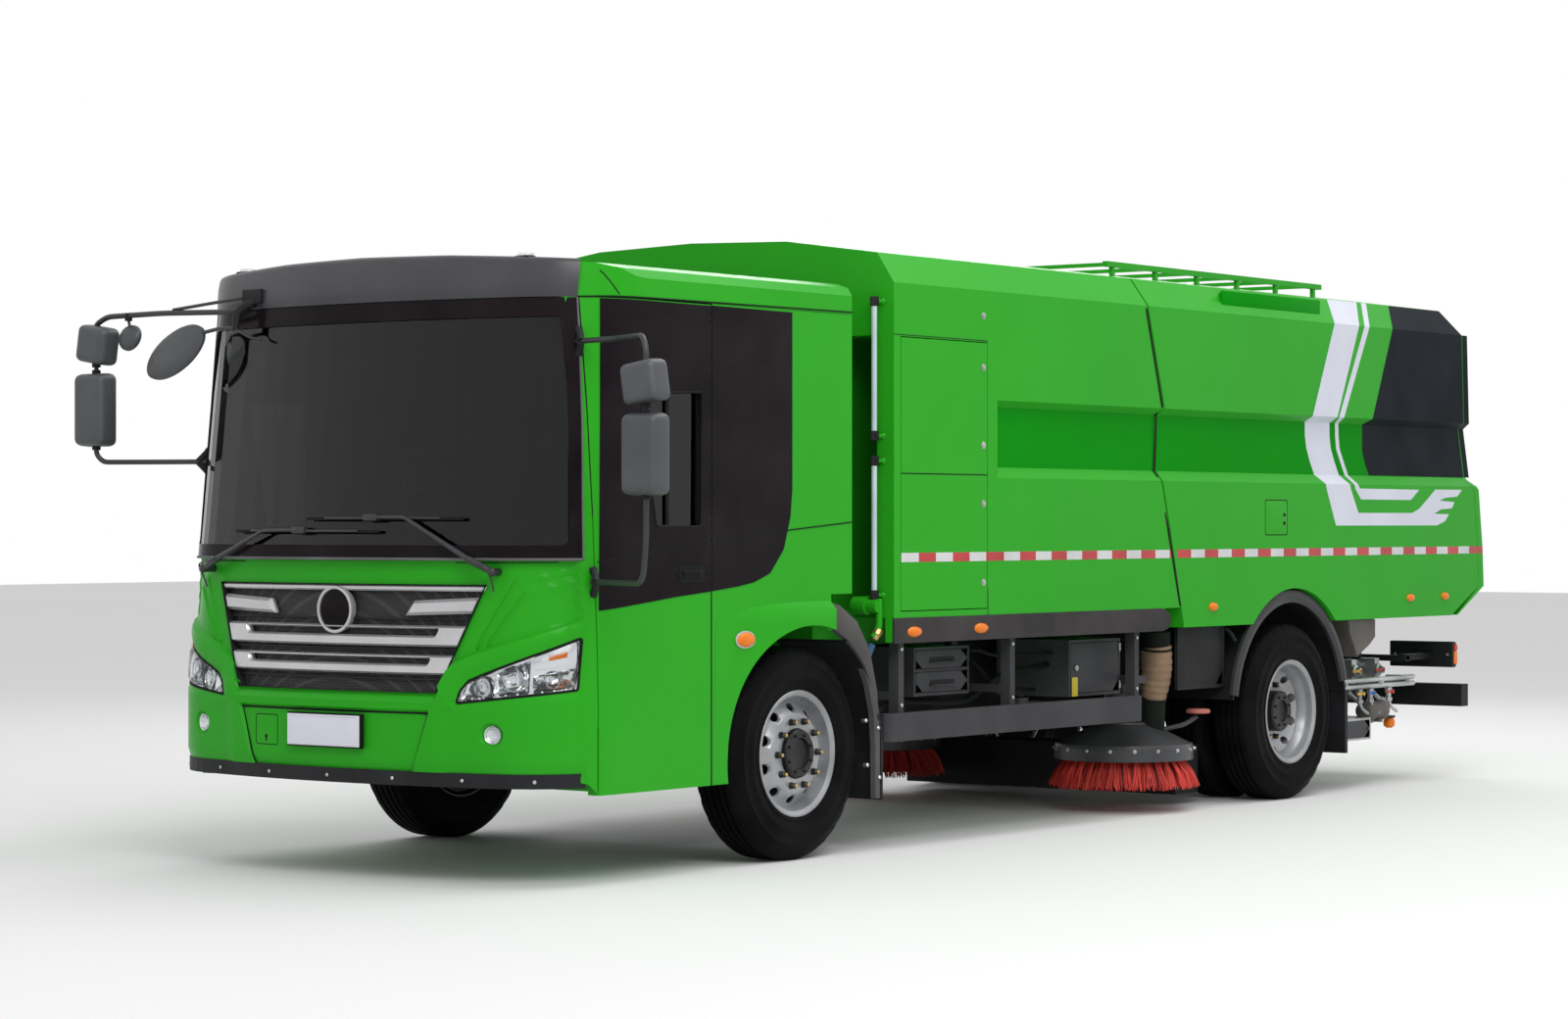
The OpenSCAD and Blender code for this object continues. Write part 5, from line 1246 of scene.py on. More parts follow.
def wheel(side, x, face_y, disc, hub, names, body, slots, dual):
    """One road wheel of the truck, or a rear pair on one hub."""
    def at(r, turn, depth):
        """A point of the wheel: radius, turn about the axle and depth in from the face."""
        return Vector((x + r * math.cos(turn), side * (face_y - depth), WHEEL_R + r * math.sin(turn)))

    def dish(u, v, out):
        """The disc's face as a surface about the axle."""
        return Vector((x + u, side * (face_y - level(disc, math.hypot(u, v)) + out), WHEEL_R + v))

    bm = bmesh.new()
    for y in (face_y, face_y - TWIN_GAP) if dual else (face_y,):
        tyre(bm, side, x, y)
    rubber = made(bm, names + "_treads", tyre_black, body, slots[0], 40)
    bm = bmesh.new()
    for n, y in enumerate((face_y, face_y - TWIN_GAP) if dual else (face_y,)):
        line = BARREL + [(d, r + 0.004) for d, r in reversed(BARREL[1:-1])]
        if n:
            line = [(TYRE_WIDE - d, r) for d, r in line]
        turned(bm, (x, side * y, WHEEL_R), (x, side * (y - 1), WHEEL_R), line + line[:1], 64, shut=False)
    ring = oval((0, 0), (disc[-1][0], disc[-1][0]), 64)
    eye = oval((0, 0), (disc[0][0], disc[0][0]), 40)
    hand_holes = []
    for i in range(10):
        t = 2 * math.pi * (i + 0.5) / 10
        hole = []
        for k in range(14):
            a = 2 * math.pi * k / 14
            r, w = 0.217 + 0.019 * math.cos(a), 0.027 * math.sin(a)
            hole.append((r * math.cos(t) - w * math.sin(t), r * math.sin(t) + w * math.cos(t)))
        hand_holes.append(hole)
    circles = [oval((0, 0), (r, r), 48) for r, _ in disc[1:-1] if not 0.195 < r < 0.24]
    folds = [one + one[:1] for one in circles]
    skin(bm, ring, dish, 0.0, 0.011, 0.03, holes=[eye] + hand_holes, creases=folds)
    metal = made(bm, names + "_discs", rim_silver, body, slots[1], 38)
    # Nuts, their stud ends, and the valve
    nuts = bmesh.new()
    studs = bmesh.new()
    seat = level(disc, NUT_R)
    for i in range(10):
        t = 2 * math.pi * i / 10
        turned(nuts, at(NUT_R, t, seat), at(NUT_R, t, seat - 1),
               [(0, 0.0185), (0.004, 0.0185), (0.0045, 0.0160), (0.024, 0.0160),
                                                                 (0.027, 0.0135)], 6)
        turned(studs, at(NUT_R, t, seat - 0.02), at(NUT_R, t, seat - 1),
               [(0, 0.0085), (0.0155, 0.0085), (0.0175, 0.0065)], 12)
    made(nuts, names + "_nuts", nut_black, body, slots[1])
    turned(studs, at(0.232, 0.9, disc[-1][1] - 0.002), at(0.262, 0.9, disc[-1][1] - 0.045),
           [(0, 0.005), (0.04, 0.005), (0.05, 0.0035)], 8)
    made(studs, names + "_studs", brass, body, slots[1])
    bm = bmesh.new()
    turned(bm, at(0, 0, 0), at(0, 0, 1), hub, 40)
    for i in range(8):
        t = 2 * math.pi * (i + 0.5) / 8
        r, d = (hub[2][1] + hub[3][1]) / 2, hub[2][0]
        turned(bm, at(r, t, d + 0.004), at(r, t, d - 1), [(0, 0.008), (0.012, 0.008), (0.014, 0.006)], 6)
    drum = 0.160 if dual else 0.096
    turned(bm, at(0, 0, drum), at(0, 0, 1), [(0, 0.12), (0.002, 0.214), (0.010, 0.222), (0.012, 0.222),
                                             (0.080, 0.222), (0.085, 0.12)], 40)
    made(bm, names + "_hubs", hub_black, body, slots[1], 30)
    return rubber, metal


FRONT_HUB = [(0.020, 0.046), (0.014, 0.070), (-0.004, 0.076), (-0.004, 0.106), (0.003, 0.114),
             (0.060, 0.116)]
REAR_HUB = [(0.090, 0.042), (0.084, 0.060), (0.070, 0.064), (0.070, 0.106), (0.078, 0.116), (0.150, 0.118)]
for side, hand in SIDES:
    treads, discs = wheel(side, ARCH_AT.x, 1.19, FRONT_DISC, FRONT_HUB, "front_wheel_" + hand,
                          "front_wheel_" + hand,
                          ("tyre_rubber", "steel_silver"), False)
    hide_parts("front_" + hand + "_tyre")
    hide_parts("front_" + hand + "_rim")
    treads, discs = wheel(side, REAR_WHEEL_X, 1.235, REAR_DISC, REAR_HUB, "rear_wheels_" + hand,
                          "rear_wheels_" + hand,
                          ("tyre_rubber", "steel_silver"), True)
    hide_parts("rear_" + hand + "_tyres")
    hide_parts("rear_" + hand + "_rims")

# ---- Tank and hopper: stripes, reflective tape and the dark rear panel ---------------
# Vinyl films stuck to the painted sides: a white band with a thin line beside it, a dark
# grey area at the rear, and red and white reflective tape. They follow the side's folds.
BODY_LINE = [(0.90, 1.25), (1.821, 1.25), (1.876, 1.205), (2.181, 1.205), (2.216, 1.25), (2.765, 1.25),
             (2.915, 1.15), (2.992, 0.60), (3.010, 0.0)]
HOPPER_TAIL = [(1.020, -4.144), (1.196, -4.521), (1.431, -4.506), (1.802, -4.450), (1.822, -4.418),
               (2.215, -4.311), (2.765, -4.283), (2.915, -4.167), (3.010, -4.103)]
DOOR_EDGE = [(1.021, -4.152), (1.196, -4.531), (1.431, -4.516), (1.802, -4.460), (1.822, -4.428),
             (2.215, -4.321), (2.763, -4.293)]
DOOR_TAIL = [(1.021, -4.222), (1.196, -4.598), (1.431, -4.583), (1.802, -4.527), (1.822, -4.495),
             (2.215, -4.388), (2.763, -4.360)]
TAPE = (1.402, 1.447)
TAPE_RUN = 0.150
white_film = moulded("white_film", (0.60, 0.62, 0.71), 0.32, 0.06, 0.05, grit=300.0, height=0.0001)
slate_film = moulded("slate_film", (0.0095, 0.0128, 0.0170), 0.38, 0.06, 0.10, grit=300.0, height=0.0001,
                     sheen=0.02)
tape_red = moulded("tape_red", (0.42, 0.018, 0.022), 0.28, 0.06, 0.20, grit=420.0, height=0.0005)
tape_white = moulded("tape_white", (0.56, 0.56, 0.57), 0.28, 0.06, 0.10, grit=420.0, height=0.0005)


def body_side(side):
    """The body's side and roof slope as a surface: (length, height, out) to a point."""
    def surface(x, z, out):
        y = level(BODY_LINE, z)
        lean = (level(BODY_LINE, z + 0.002) - level(BODY_LINE, z - 0.002)) / 0.004
        normal = Vector((0, 1, -lean)).normalized()
        return Vector((x, side * (y + normal.y * out), z + normal.z * out))
    return surface


def kept_between(outline, behind, ahead):
    """An outline with its length held between two lines that run up the tail."""
    out = []
    for x, z in along(outline, 0.04):
        if ahead:
            x = min(x, level(ahead, z))
        out.append((max(x, level(behind, z)), z))
    return out


def film(bm, outline, surface):
    """A thin film that is folded where the side is folded."""
    ends = [p[0] for p in outline]
    bends = [[(min(ends) - 0.01, z), (max(ends) + 0.01, z)] for z, _ in BODY_LINE[1:-2]
             if min(p[1] for p in outline) < z < max(p[1] for p in outline)]
    skin(bm, outline, surface, 0.0009, 0.0012, 0.30, creases=bends)


WHITE_BAND = [(-2.700, 2.914), (-2.610, 2.765), (-2.342, 2.216), (-2.326, 2.181), (-2.328, 2.10),
              (-2.345, 2.03), (-2.385, 1.955), (-2.440, 1.876), (-2.500, 1.821), (-2.512, 1.79),
              (-2.626, 1.578), (-3.941, 1.578), (-4.053, 1.604), (-4.110, 1.647), (-3.904, 1.650),
              (-3.997, 1.677), (-4.148, 1.684), (-4.185, 1.723), (-3.978, 1.731), (-4.053, 1.748),
              (-4.223, 1.757), (-4.288, 1.800), (-3.922, 1.799), (-3.829, 1.747), (-3.701, 1.679),
              (-3.609, 1.654), (-2.907, 1.653), (-2.814, 1.790), (-2.800, 1.821), (-2.745, 1.876),
              (-2.690, 1.955), (-2.645, 2.03), (-2.630, 2.10), (-2.627, 2.181), (-2.643, 2.216),
              (-2.917, 2.765), (-3.070, 2.914)]
WHITE_LINE = [(-3.130, 2.914), (-2.987, 2.765), (-2.667, 2.216), (-2.697, 2.181), (-2.700, 2.10),
              (-2.712, 2.03), (-2.762, 1.955), (-2.818, 1.876), (-2.858, 1.821), (-2.870, 1.795),
              (-2.941, 1.733), (-3.591, 1.733), (-3.701, 1.796), (-2.925, 1.798), (-2.905, 1.821),
              (-2.862, 1.876), (-2.806, 1.955), (-2.756, 2.03), (-2.742, 2.10), (-2.738, 2.181),
              (-2.728, 2.216), (-3.049, 2.765), (-3.195, 2.914)]
DARK_AREA = [(-3.487, 2.914), (-3.350, 2.765), (-3.091, 2.216), (-3.040, 2.181), (-3.040, 2.02),
             (-3.075, 1.95), (-3.126, 1.878), (-4.60, 1.878), (-4.60, 2.206), (-4.60, 2.765),
             (-4.60, 2.914)]
for side, hand in SIDES:
    wall = body_side(side)
    for name, outlines, finish, slot in (("white_band", (WHITE_BAND, WHITE_LINE), white_film, "body_green"),
                                         ("dark_area", (DARK_AREA,), slate_film, "body_green")):
        for body, behind, ahead in (("hopper", HOPPER_TAIL, None),
                                    ("hopper_rear_door", DOOR_TAIL, DOOR_EDGE)):
            if body == "hopper" or name == "dark_area":
                bm = bmesh.new()
                for outline in outlines:
                    if body != "hopper":
                        outline = [(x, min(z, 2.763)) for x, z in outline]
                    film(bm, kept_between(outline, behind, ahead), wall)
                made(bm, f"{name}_{body}_{hand}", finish, body, slot)
    # Reflective tape in blocks of 150 mm, cut at each shut line
    strips = {}
    for start, stop, body, first in ((1.857, 1.098, "service_door_" + hand, 1),
                                     (1.092, -0.722, "chassis", 0),
                                     (-0.790, -4.505, "hopper", 0),
                                     (-4.517, -4.582, "hopper_rear_door", 0)):
        x, n = start, first
        while x > stop + 0.001:
            end = max(x - TAPE_RUN, stop)
            finish = "white" if n % 2 else "red"
            bm = strips.setdefault((finish, body), bmesh.new())
            skin(bm, [(x, TAPE[0]), (end, TAPE[0]), (end, TAPE[1]), (x, TAPE[1])],
                 wall, 0.0008, 0.001, 0.3)
            x, n = end, n + 1
    for (finish, body), bm in strips.items():
        made(bm, f"tape_{finish}_{body}_{hand}", tape_red if finish == "red" else tape_white, body,
             "body_green")

# ---- Tank and hopper: panel lines, locks, hatch, skirt and sight tubes --------------------
# Quarter-turn locks hold the service panels; a clear sight tube shows the water level.
# The dark skirt below is bent sheet with a rounded rear end.
TANK_REAR = [(1.145, -0.832), (1.56, -0.703), (1.822, -0.621), (1.876, -0.623), (2.181, -0.638),
             (2.226, -0.640), (2.745, -0.475), (2.915, -0.453), (2.985, -0.445)]
skirt_black = moulded("skirt_brown_black", (0.034, 0.031, 0.031), 0.52, 0.08, 0.25, sheen=0.12)
# A darker, matt green for films over the recess bands: painted shade in the recesses.
shade_darkened_green = sprayed("green_darkened_for_shade", (0.003, 0.250, 0.005), (0.003, 0.212, 0.004), 0.30)
matt = shade_darkened_green.node_tree.nodes["Principled BSDF"]
matt.inputs["Specular IOR Level"].default_value = 0.02
matt.inputs["Coat Weight"].default_value = 0.0
lock_steel = moulded("lock_steel", (0.50, 0.50, 0.50), 0.30, 0.1, 0.2, metal=0.9)
sight_tube = moulded("sight_tube_clouded", (0.50, 0.60, 0.64), 0.16, 0.05, 0.12, grit=80.0, height=0.0004)
SKIRT = [(1.920, 1.130), (1.920, 1.006), (-0.640, 1.006), (-0.700, 1.022), (-0.726, 1.060), (-0.705, 1.100),
         (-0.655, 1.124), (-0.60, 1.130)]
for side, hand in SIDES:
    wall = body_side(side)
    bm = bmesh.new()
    skin(bm, SKIRT, wall, crowned(SKIRT, 0.0018, -0.0012, 0.008), 0.010, 0.12)
    made(bm, "tank_skirt_" + hand, skirt_black, "chassis", "frame_black")
    # Darker green films over the tank's and hopper's recess bands: painted shade.
    bm = bmesh.new()
    skin(bm, [(0.998, 1.8765), (0.998, 2.1805), (-0.618, 2.1805), (-0.612, 1.8765)], wall, 0.0006, 0.0009,
         0.3)
    made(bm, "tank_recess_" + hand, shade_darkened_green, "chassis", "body_green")
    bm = bmesh.new()
    skin(bm, [(-0.650, 2.1805), (-0.640, 1.8765), (-4.401, 1.8765), (-4.319, 2.1805)], wall, 0.0005, 0.0008,
         0.3)
    made(bm, "hopper_recess_" + hand, shade_darkened_green, "hopper", "body_green")
    # Joints between panels
    bm = bmesh.new()
    seam(bm, [(1.089, 1.132), (1.089, 2.78)], wall, 0.005, 0.0009, 3)
    seam(bm, [(1.918, 2.512), (1.094, 2.512)], wall, 0.004, 0.0009, 3)
    made(bm, "tank_joints_" + hand, shut_line, "chassis", "body_green")
    # Rubber seal round the tank's rear edge, where the hopper comes down against it
    bm = bmesh.new()
    seam(bm, [(x + 0.011, z) for z, x in TANK_REAR], wall, 0.020, 0.0012, 3)
    made(bm, "tank_rear_seal_" + hand, shut_line, "chassis", "body_green")
    door_face = flat_side(side, 1.25)
    bm = bmesh.new()
    seam(bm, [(1.856, 1.836), (1.098, 1.836)], door_face, 0.005, 0.0007, 3)
    made(bm, "service_door_joint_" + hand, shut_line, "service_door_" + hand, "body_green")
    # Quarter-turn locks: a cup, a turned head and its slot
    for body, spots in (("chassis", ((1.130, 2.637),)),
                        ("service_door_" + hand, tuple((1.130, z) for z in (2.376, 1.985, 1.690, 1.294)))):
        bm = bmesh.new()
        for x, z in spots:
            turned(bm, door_face(x, z, -0.001), door_face(x, z, 1),
                   [(0, 0.018), (0.003, 0.018), (0.0042, 0.0165), (0.0042, 0.0145),
                   (0.0030, 0.0140), (0.0030, 0.0120), (0.0070, 0.0115), (0.0080, 0.0095)], 24)
            side_block(bm, side, (x - 0.009, 1.2575, z - 0.0014), (x + 0.009, 1.2592, z + 0.0014), 0)
        made(bm, "locks_" + body + "_" + hand, lock_steel, body, "steel_silver")
    # Small hatch on the hopper with two locks
    hatch = rounded([(-1.775, 1.724), (-2.033, 1.724), (-2.033, 1.525), (-1.775, 1.525)], 0.015)
    bm = bmesh.new()
    skin(bm, hatch, wall, crowned(hatch, 0, 0.0040, 0.004), 0.003, 0.05)
    made(bm, "hatch_" + hand, green, "hopper", "body_green")
    bm = bmesh.new()
    for edge in zip(hatch, hatch[1:] + hatch[:1]):
        seam(bm, list(edge), wall, 0.005, 0.0008, 1)
    for z in (1.640, 1.592):
        turned(bm, wall(-1.992, z, 0.003), wall(-1.992, z, 1),
               [(0, 0.0095), (0.004, 0.0095), (0.0055, 0.008)], 20)
    made(bm, "hatch_locks_" + hand, shut_line, "hopper", "body_green")
    # Raised board along the roof edge, in the same darker green as the painted recess shade
    bm = bmesh.new()
    side_block(bm, side, (-2.490, 1.202, 2.800), (-1.345, 1.218, 2.896), 0.004)
    for x in (-2.44, -1.92, -1.40):
        side_block(bm, side, (x - 0.02, 1.150, 2.862), (x + 0.02, 1.206, 2.884), 0.002)
    made(bm, "roof_edge_board_" + hand, shade_darkened_green, "hopper", "body_green")

# Sight tubes on the tank's front, left side, with black ends, tees, drain and tap
bm = bmesh.new()
for low, high in ((1.250, 1.880), (2.030, 2.660)):
    tube(bm, [(1.962, 1.163, low), (1.962, 1.163, high)], 0.014, 16)
made(bm, "sight_tubes", sight_tube, "chassis", "grille_black")
bm = bmesh.new()
for z in (1.242, 1.896, 2.018, 2.673):
    turned(bm, (1.962, 1.163, z - 0.024), (1.962, 1.163, 3), [(0, 0.017), (0.004, 0.022), (0.044, 0.022),
                                                              (0.048, 0.017)], 6)
    turned(bm, (1.962, 1.185, z), (1.962, 1.10, z),
           [(0, 0.010), (0.003, 0.015), (0.03, 0.015), (0.032, 0.011)], 12)
made(bm, "sight_tube_ends", black_plastic, "chassis", "grille_black")
bm = bmesh.new()
for z in (1.242, 1.896, 2.018, 2.673):
    tube(bm, [(1.962, 1.163, z), (1.915, 1.190, z)], 0.010, 10)
    turned(bm, (1.930, 1.182, z), (1.90, 1.199, z), [(0, 0.013), (0.008, 0.016), (0.016, 0.016),
                                                     (0.02, 0.012)], 6)
tube(bm, [(1.945, 1.180, 1.225), (1.945, 1.180, 1.080), (1.975, 1.165, 1.035)], 0.017, 12, 0.03, 4)
made(bm, "tank_pipe_green", green, "chassis", "body_green")
bm = bmesh.new()
turned(bm, (1.945, 1.180, 1.075), (1.985, 1.160, 1.000),
       [(0, 0.020), (0.012, 0.024), (0.03, 0.024), (0.034, 0.020), (0.055, 0.018),
                                                         (0.058, 0.012)], 8)
turned(bm, (1.905, 1.06, 1.187), (1.99, 1.06, 1.187),
       [(0, 0.018), (0.02, 0.018), (0.024, 0.012), (0.05, 0.012), (0.052, 0.009)], 12)
made(bm, "tank_drain_brass", brass, "chassis", "grille_black")
blue_hose = moulded("blue_rubber", (0.012, 0.090, 0.210), 0.42, 0.08, 0.25)
valve_red = moulded("valve_red_plastic", (0.42, 0.020, 0.018), 0.42, 0.08, 0.2)
bm = bmesh.new()
tube(bm, [(1.983, 1.161, 1.004), (2.000, 1.150, 0.955), (1.99, 1.120, 0.900)], 0.021, 14, 0.02, 4)
made(bm, "fill_hose_blue", blue_hose, "chassis", "frame_black")
bm = bmesh.new()
block(bm, (1.950, 1.020, 1.190), (1.962, 1.100, 1.212), 0.004)
block(bm, (1.946, 1.050, 1.166), (1.966, 1.070, 1.214), 0.004)
made(bm, "tank_tap_red", valve_red, "chassis", "lamp_red")


# ---- Side guards, locker boxes, hoses and the water filter ---------------------------
# Folded steel guards and lockers painted grey: a locker with two drawers, and a cabinet
# with a round lock and a blank tag. Their doors stand on a thin shadow line.
guard_paint = moulded("guard_grey_paint", (0.046, 0.046, 0.050), 0.48, 0.08, 0.12, grit=240.0,
                      height=0.0003, sheen=0.08)
locker_paint = moulded("locker_grey_paint", (0.055, 0.056, 0.061), 0.48, 0.08, 0.15, grit=240.0,
                       height=0.0003, sheen=0.15)
frame_paint = moulded("chassis_black_paint", (0.011, 0.011, 0.0125), 0.52, 0.10, 0.35, grit=160.0,
                      height=0.0006, sheen=0.15)
cast_paint = moulded("cast_iron_paint", (0.016, 0.016, 0.018), 0.58, 0.10, 0.4, grit=120.0, height=0.0015,
                     sheen=0.2)
tag_yellow = moulded("tag_yellow", (0.62, 0.50, 0.02), 0.40, 0.05, 0.08)
repaint(guard_paint, "side_guards")
repaint(locker_paint, "equipment_boxes")
repaint(frame_paint, "chassis_frame", "battery_pack", "rear_bumper")
repaint(cast_paint, "front_axle", "rear_axle", "knuckle_left", "knuckle_right", "drive_motor")
repaint(black_plastic, "suction_nozzle", "suction_duct")
for side, hand in SIDES:
    front = flat_side(side, 1.055)
    faces, shadows, steel, tags = bmesh.new(), bmesh.new(), bmesh.new(), bmesh.new()
    for x0, x1, z0, z1 in ((0.985, 1.450, 0.742, 0.845), (0.985, 1.450, 0.860, 0.955),
                           (-0.495, -0.006, 0.684, 0.952)):
        edge = rounded([(x0, z0), (x1, z0), (x1, z1), (x0, z1)], 0.008, 3)
        skin(faces, edge, front, crowned(edge, 0, 0.0045, 0.004), 0.004, 0.06)
        for a, b in zip(edge, edge[1:] + edge[:1]):
            seam(shadows, [a, b], front, 0.007, 0.0006, 1)
    for z in (0.790, 0.905):
        lip = rounded([(1.110, z - 0.016), (1.330, z - 0.016), (1.330, z + 0.014), (1.110, z + 0.014)],
                      0.008, 3)
        skin(shadows, lip, front, 0.0052, 0.001, 0.06)
        tube(faces, [front(1.118, z - 0.012, 0.005), front(1.130, z - 0.012, 0.022),
                     front(1.310, z - 0.012, 0.022),
                     front(1.322, z - 0.012, 0.005)], 0.0045, 8, 0.008, 3)
    rod(steel, front(-0.052, 0.820, 0.004), front(-0.052, 0.820, 0.013), 0.016, 24)
    rod(steel, front(-0.052, 0.820, 0.012), front(-0.052, 0.820, 0.018), 0.007, 16)
    for z in (0.72, 0.92):
        rod(steel, front(-0.500, z - 0.022, 0.004), front(-0.500, z + 0.022, 0.004), 0.006, 10)
    skin(tags, rounded([(-0.070, 0.668), (-0.012, 0.668), (-0.012, 0.770), (-0.070, 0.770)], 0.004, 2),
         front, 0.0056, 0.001, 0.05)
    made(faces, "locker_faces_" + hand, locker_paint, "chassis", "box_grey")
    made(shadows, "locker_shadow_lines_" + hand, black_plastic, "chassis", "box_grey")
    made(steel, "locker_locks_" + hand, lock_steel, "chassis", "steel_silver")
    made(tags, "locker_tag_" + hand, tag_yellow, "chassis", "box_grey")
    # Bolt heads where the guard's posts meet the beam, and pipes and wires behind it
    bm = bmesh.new()
    for x in (1.797, 0.797, -0.432):
        for z in (0.70, 0.975):
            turned(bm, (x, side * 1.207, z), (x, side * 1.3, z),
                   [(0, 0.011), (0.006, 0.011), (0.008, 0.008)], 6)
    made(bm, "guard_bolts_" + hand, steel_bolt, "chassis", "guard_grey")
    bm = bmesh.new()
    tube(bm, [(1.45, side * 0.88, 0.70), (0.70, side * 0.86, 0.66), (0.45, side * 0.90, 0.80),
              (-0.02, side * 0.92, 0.84)], 0.016, 10, 0.12)
    tube(bm, [(0.62, side * 0.70, 0.98), (0.60, side * 0.84, 0.86), (0.40, side * 0.86, 0.72),
              (0.05, side * 0.86, 0.70)], 0.012, 10, 0.10)
    tube(bm, [(0.95, side * 0.90, 0.92), (0.72, side * 0.94, 0.94), (0.55, side * 0.92, 0.90),
              (0.02, side * 0.95, 0.90)], 0.009, 8, 0.08)
    made(bm, "side_hoses_" + hand, shut_line, "chassis", "frame_black")
    bm = bmesh.new()
    turned(bm, (0.93, side * 0.92, 0.93), (0.93, side * 0.92, 0.5),
           [(0, 0.03), (0.01, 0.036), (0.05, 0.036), (0.055, 0.026),
           (0.10, 0.026), (0.105, 0.034), (0.17, 0.034), (0.19, 0.02)], 20)
    side_block(bm, side, (0.90, 0.90, 0.93), (0.96, 0.94, 1.00), 0.004)
    made(bm, "side_water_filter_" + hand, cast_paint, "chassis", "pipe_grey")

# ---- Rear wheel arch trim and black panel -------------------------------------------
# A ribbed black rubber trim follows the grey guard round the rear wheels.
trim_rubber = moulded("arch_trim_rubber", (0.036, 0.036, 0.040), 0.40, 0.08, 0.2, sheen=0.2)


def ring_part(r0, r1, start, stop, step=6):
    """A part of a flat ring about the rear wheels' centre."""
    turns = [math.radians(a) for a in range(start, stop + 1, step)]
    return ([(REAR_WHEEL_X + r1 * math.cos(t), WHEEL_R + r1 * math.sin(t)) for t in turns]
            + [(REAR_WHEEL_X + r0 * math.cos(t), WHEEL_R + r0 * math.sin(t)) for t in reversed(turns)])


for side, hand in SIDES:
    wall = flat_side(side, 1.216)
    bm = bmesh.new()
    arch_trim = ring_part(0.630, 0.700, 10, 166)
    skin(bm, arch_trim, wall, lambda u, v: 0.010 + 0.010 * math.sin(math.pi * min(max(
         (math.hypot(u - REAR_WHEEL_X, v - WHEEL_R) - 0.630) / 0.07, 0), 1)) ** 2, 0.02, 0.018)
    made(bm, "rear_arch_trim_" + hand, trim_rubber, "chassis", "frame_black", 50)
    bm = bmesh.new()
    panel = rounded([(-0.960, 0.690), (-1.440, 0.690), (-1.440, 1.006), (-0.960, 1.006)], 0.012, 3)
    skin(bm, panel, flat_side(side, 1.16), crowned(panel, 0, 0.004, 0.006), 0.003, 0.06)
    tube(bm, [(-1.455, side * 1.175, 1.000), (-1.470, side * 1.20, 0.975), (-1.515, side * 1.20, 0.930)],
         0.011, 10, 0.02)
    made(bm, "black_panel_" + hand, frame_paint, "chassis", "frame_black")

# ---- Gutter brushes, hoods and suction hoses ------------------------------------------
# Coral-red plastic bristles in tufts hang from a black plate that a motor turns. A dark
# hood with a bolted rim covers them; a canvas-covered hose leads up from it.
bristle_red = moulded("bristle_coral_red", (0.52, 0.042, 0.030), 0.48, 0.10, 0.35, grit=300.0,
                      height=0.0006, sheen=0.3)
# Dark red for the tufts' root mass: painted shade among the dense bristles.
bristle_shade_red = moulded("bristle_root_shade_red", (0.20, 0.012, 0.010), 0.60, 0.10, 0.4, grit=120.0, height=0.003)
roller_coral = moulded("roller_coral", (0.46, 0.14, 0.11), 0.45)
hood_grey = moulded("hood_dark_grey", (0.045, 0.046, 0.050), 0.36, 0.08, 0.18, grit=200.0, height=0.0004,
                    sheen=0.4)
canvas, canvas_tree, canvas_shader = new_finish("tan_canvas")
canvas_tree.links.new(blend_colour(canvas_tree, spread(canvas_tree, grain(canvas_tree, 9.0, 6.0), 0, 1,
                                                       (0.3, 0.7)), (0.30, 0.19, 0.115),
                      (0.19, 0.125, 0.080)), canvas_shader.inputs["Base Color"])
canvas_shader.inputs["Roughness"].default_value = 0.85
rough_surface(canvas_tree, canvas_shader, grain(canvas_tree, 420.0, 1.0, (1, 1, 0.35)), 0.6, 0.0010)
repaint(hood_grey, "brush_arm_left", "brush_arm_right")
BRUSH_AT = (-0.89, 0.85)
random.seed(7)
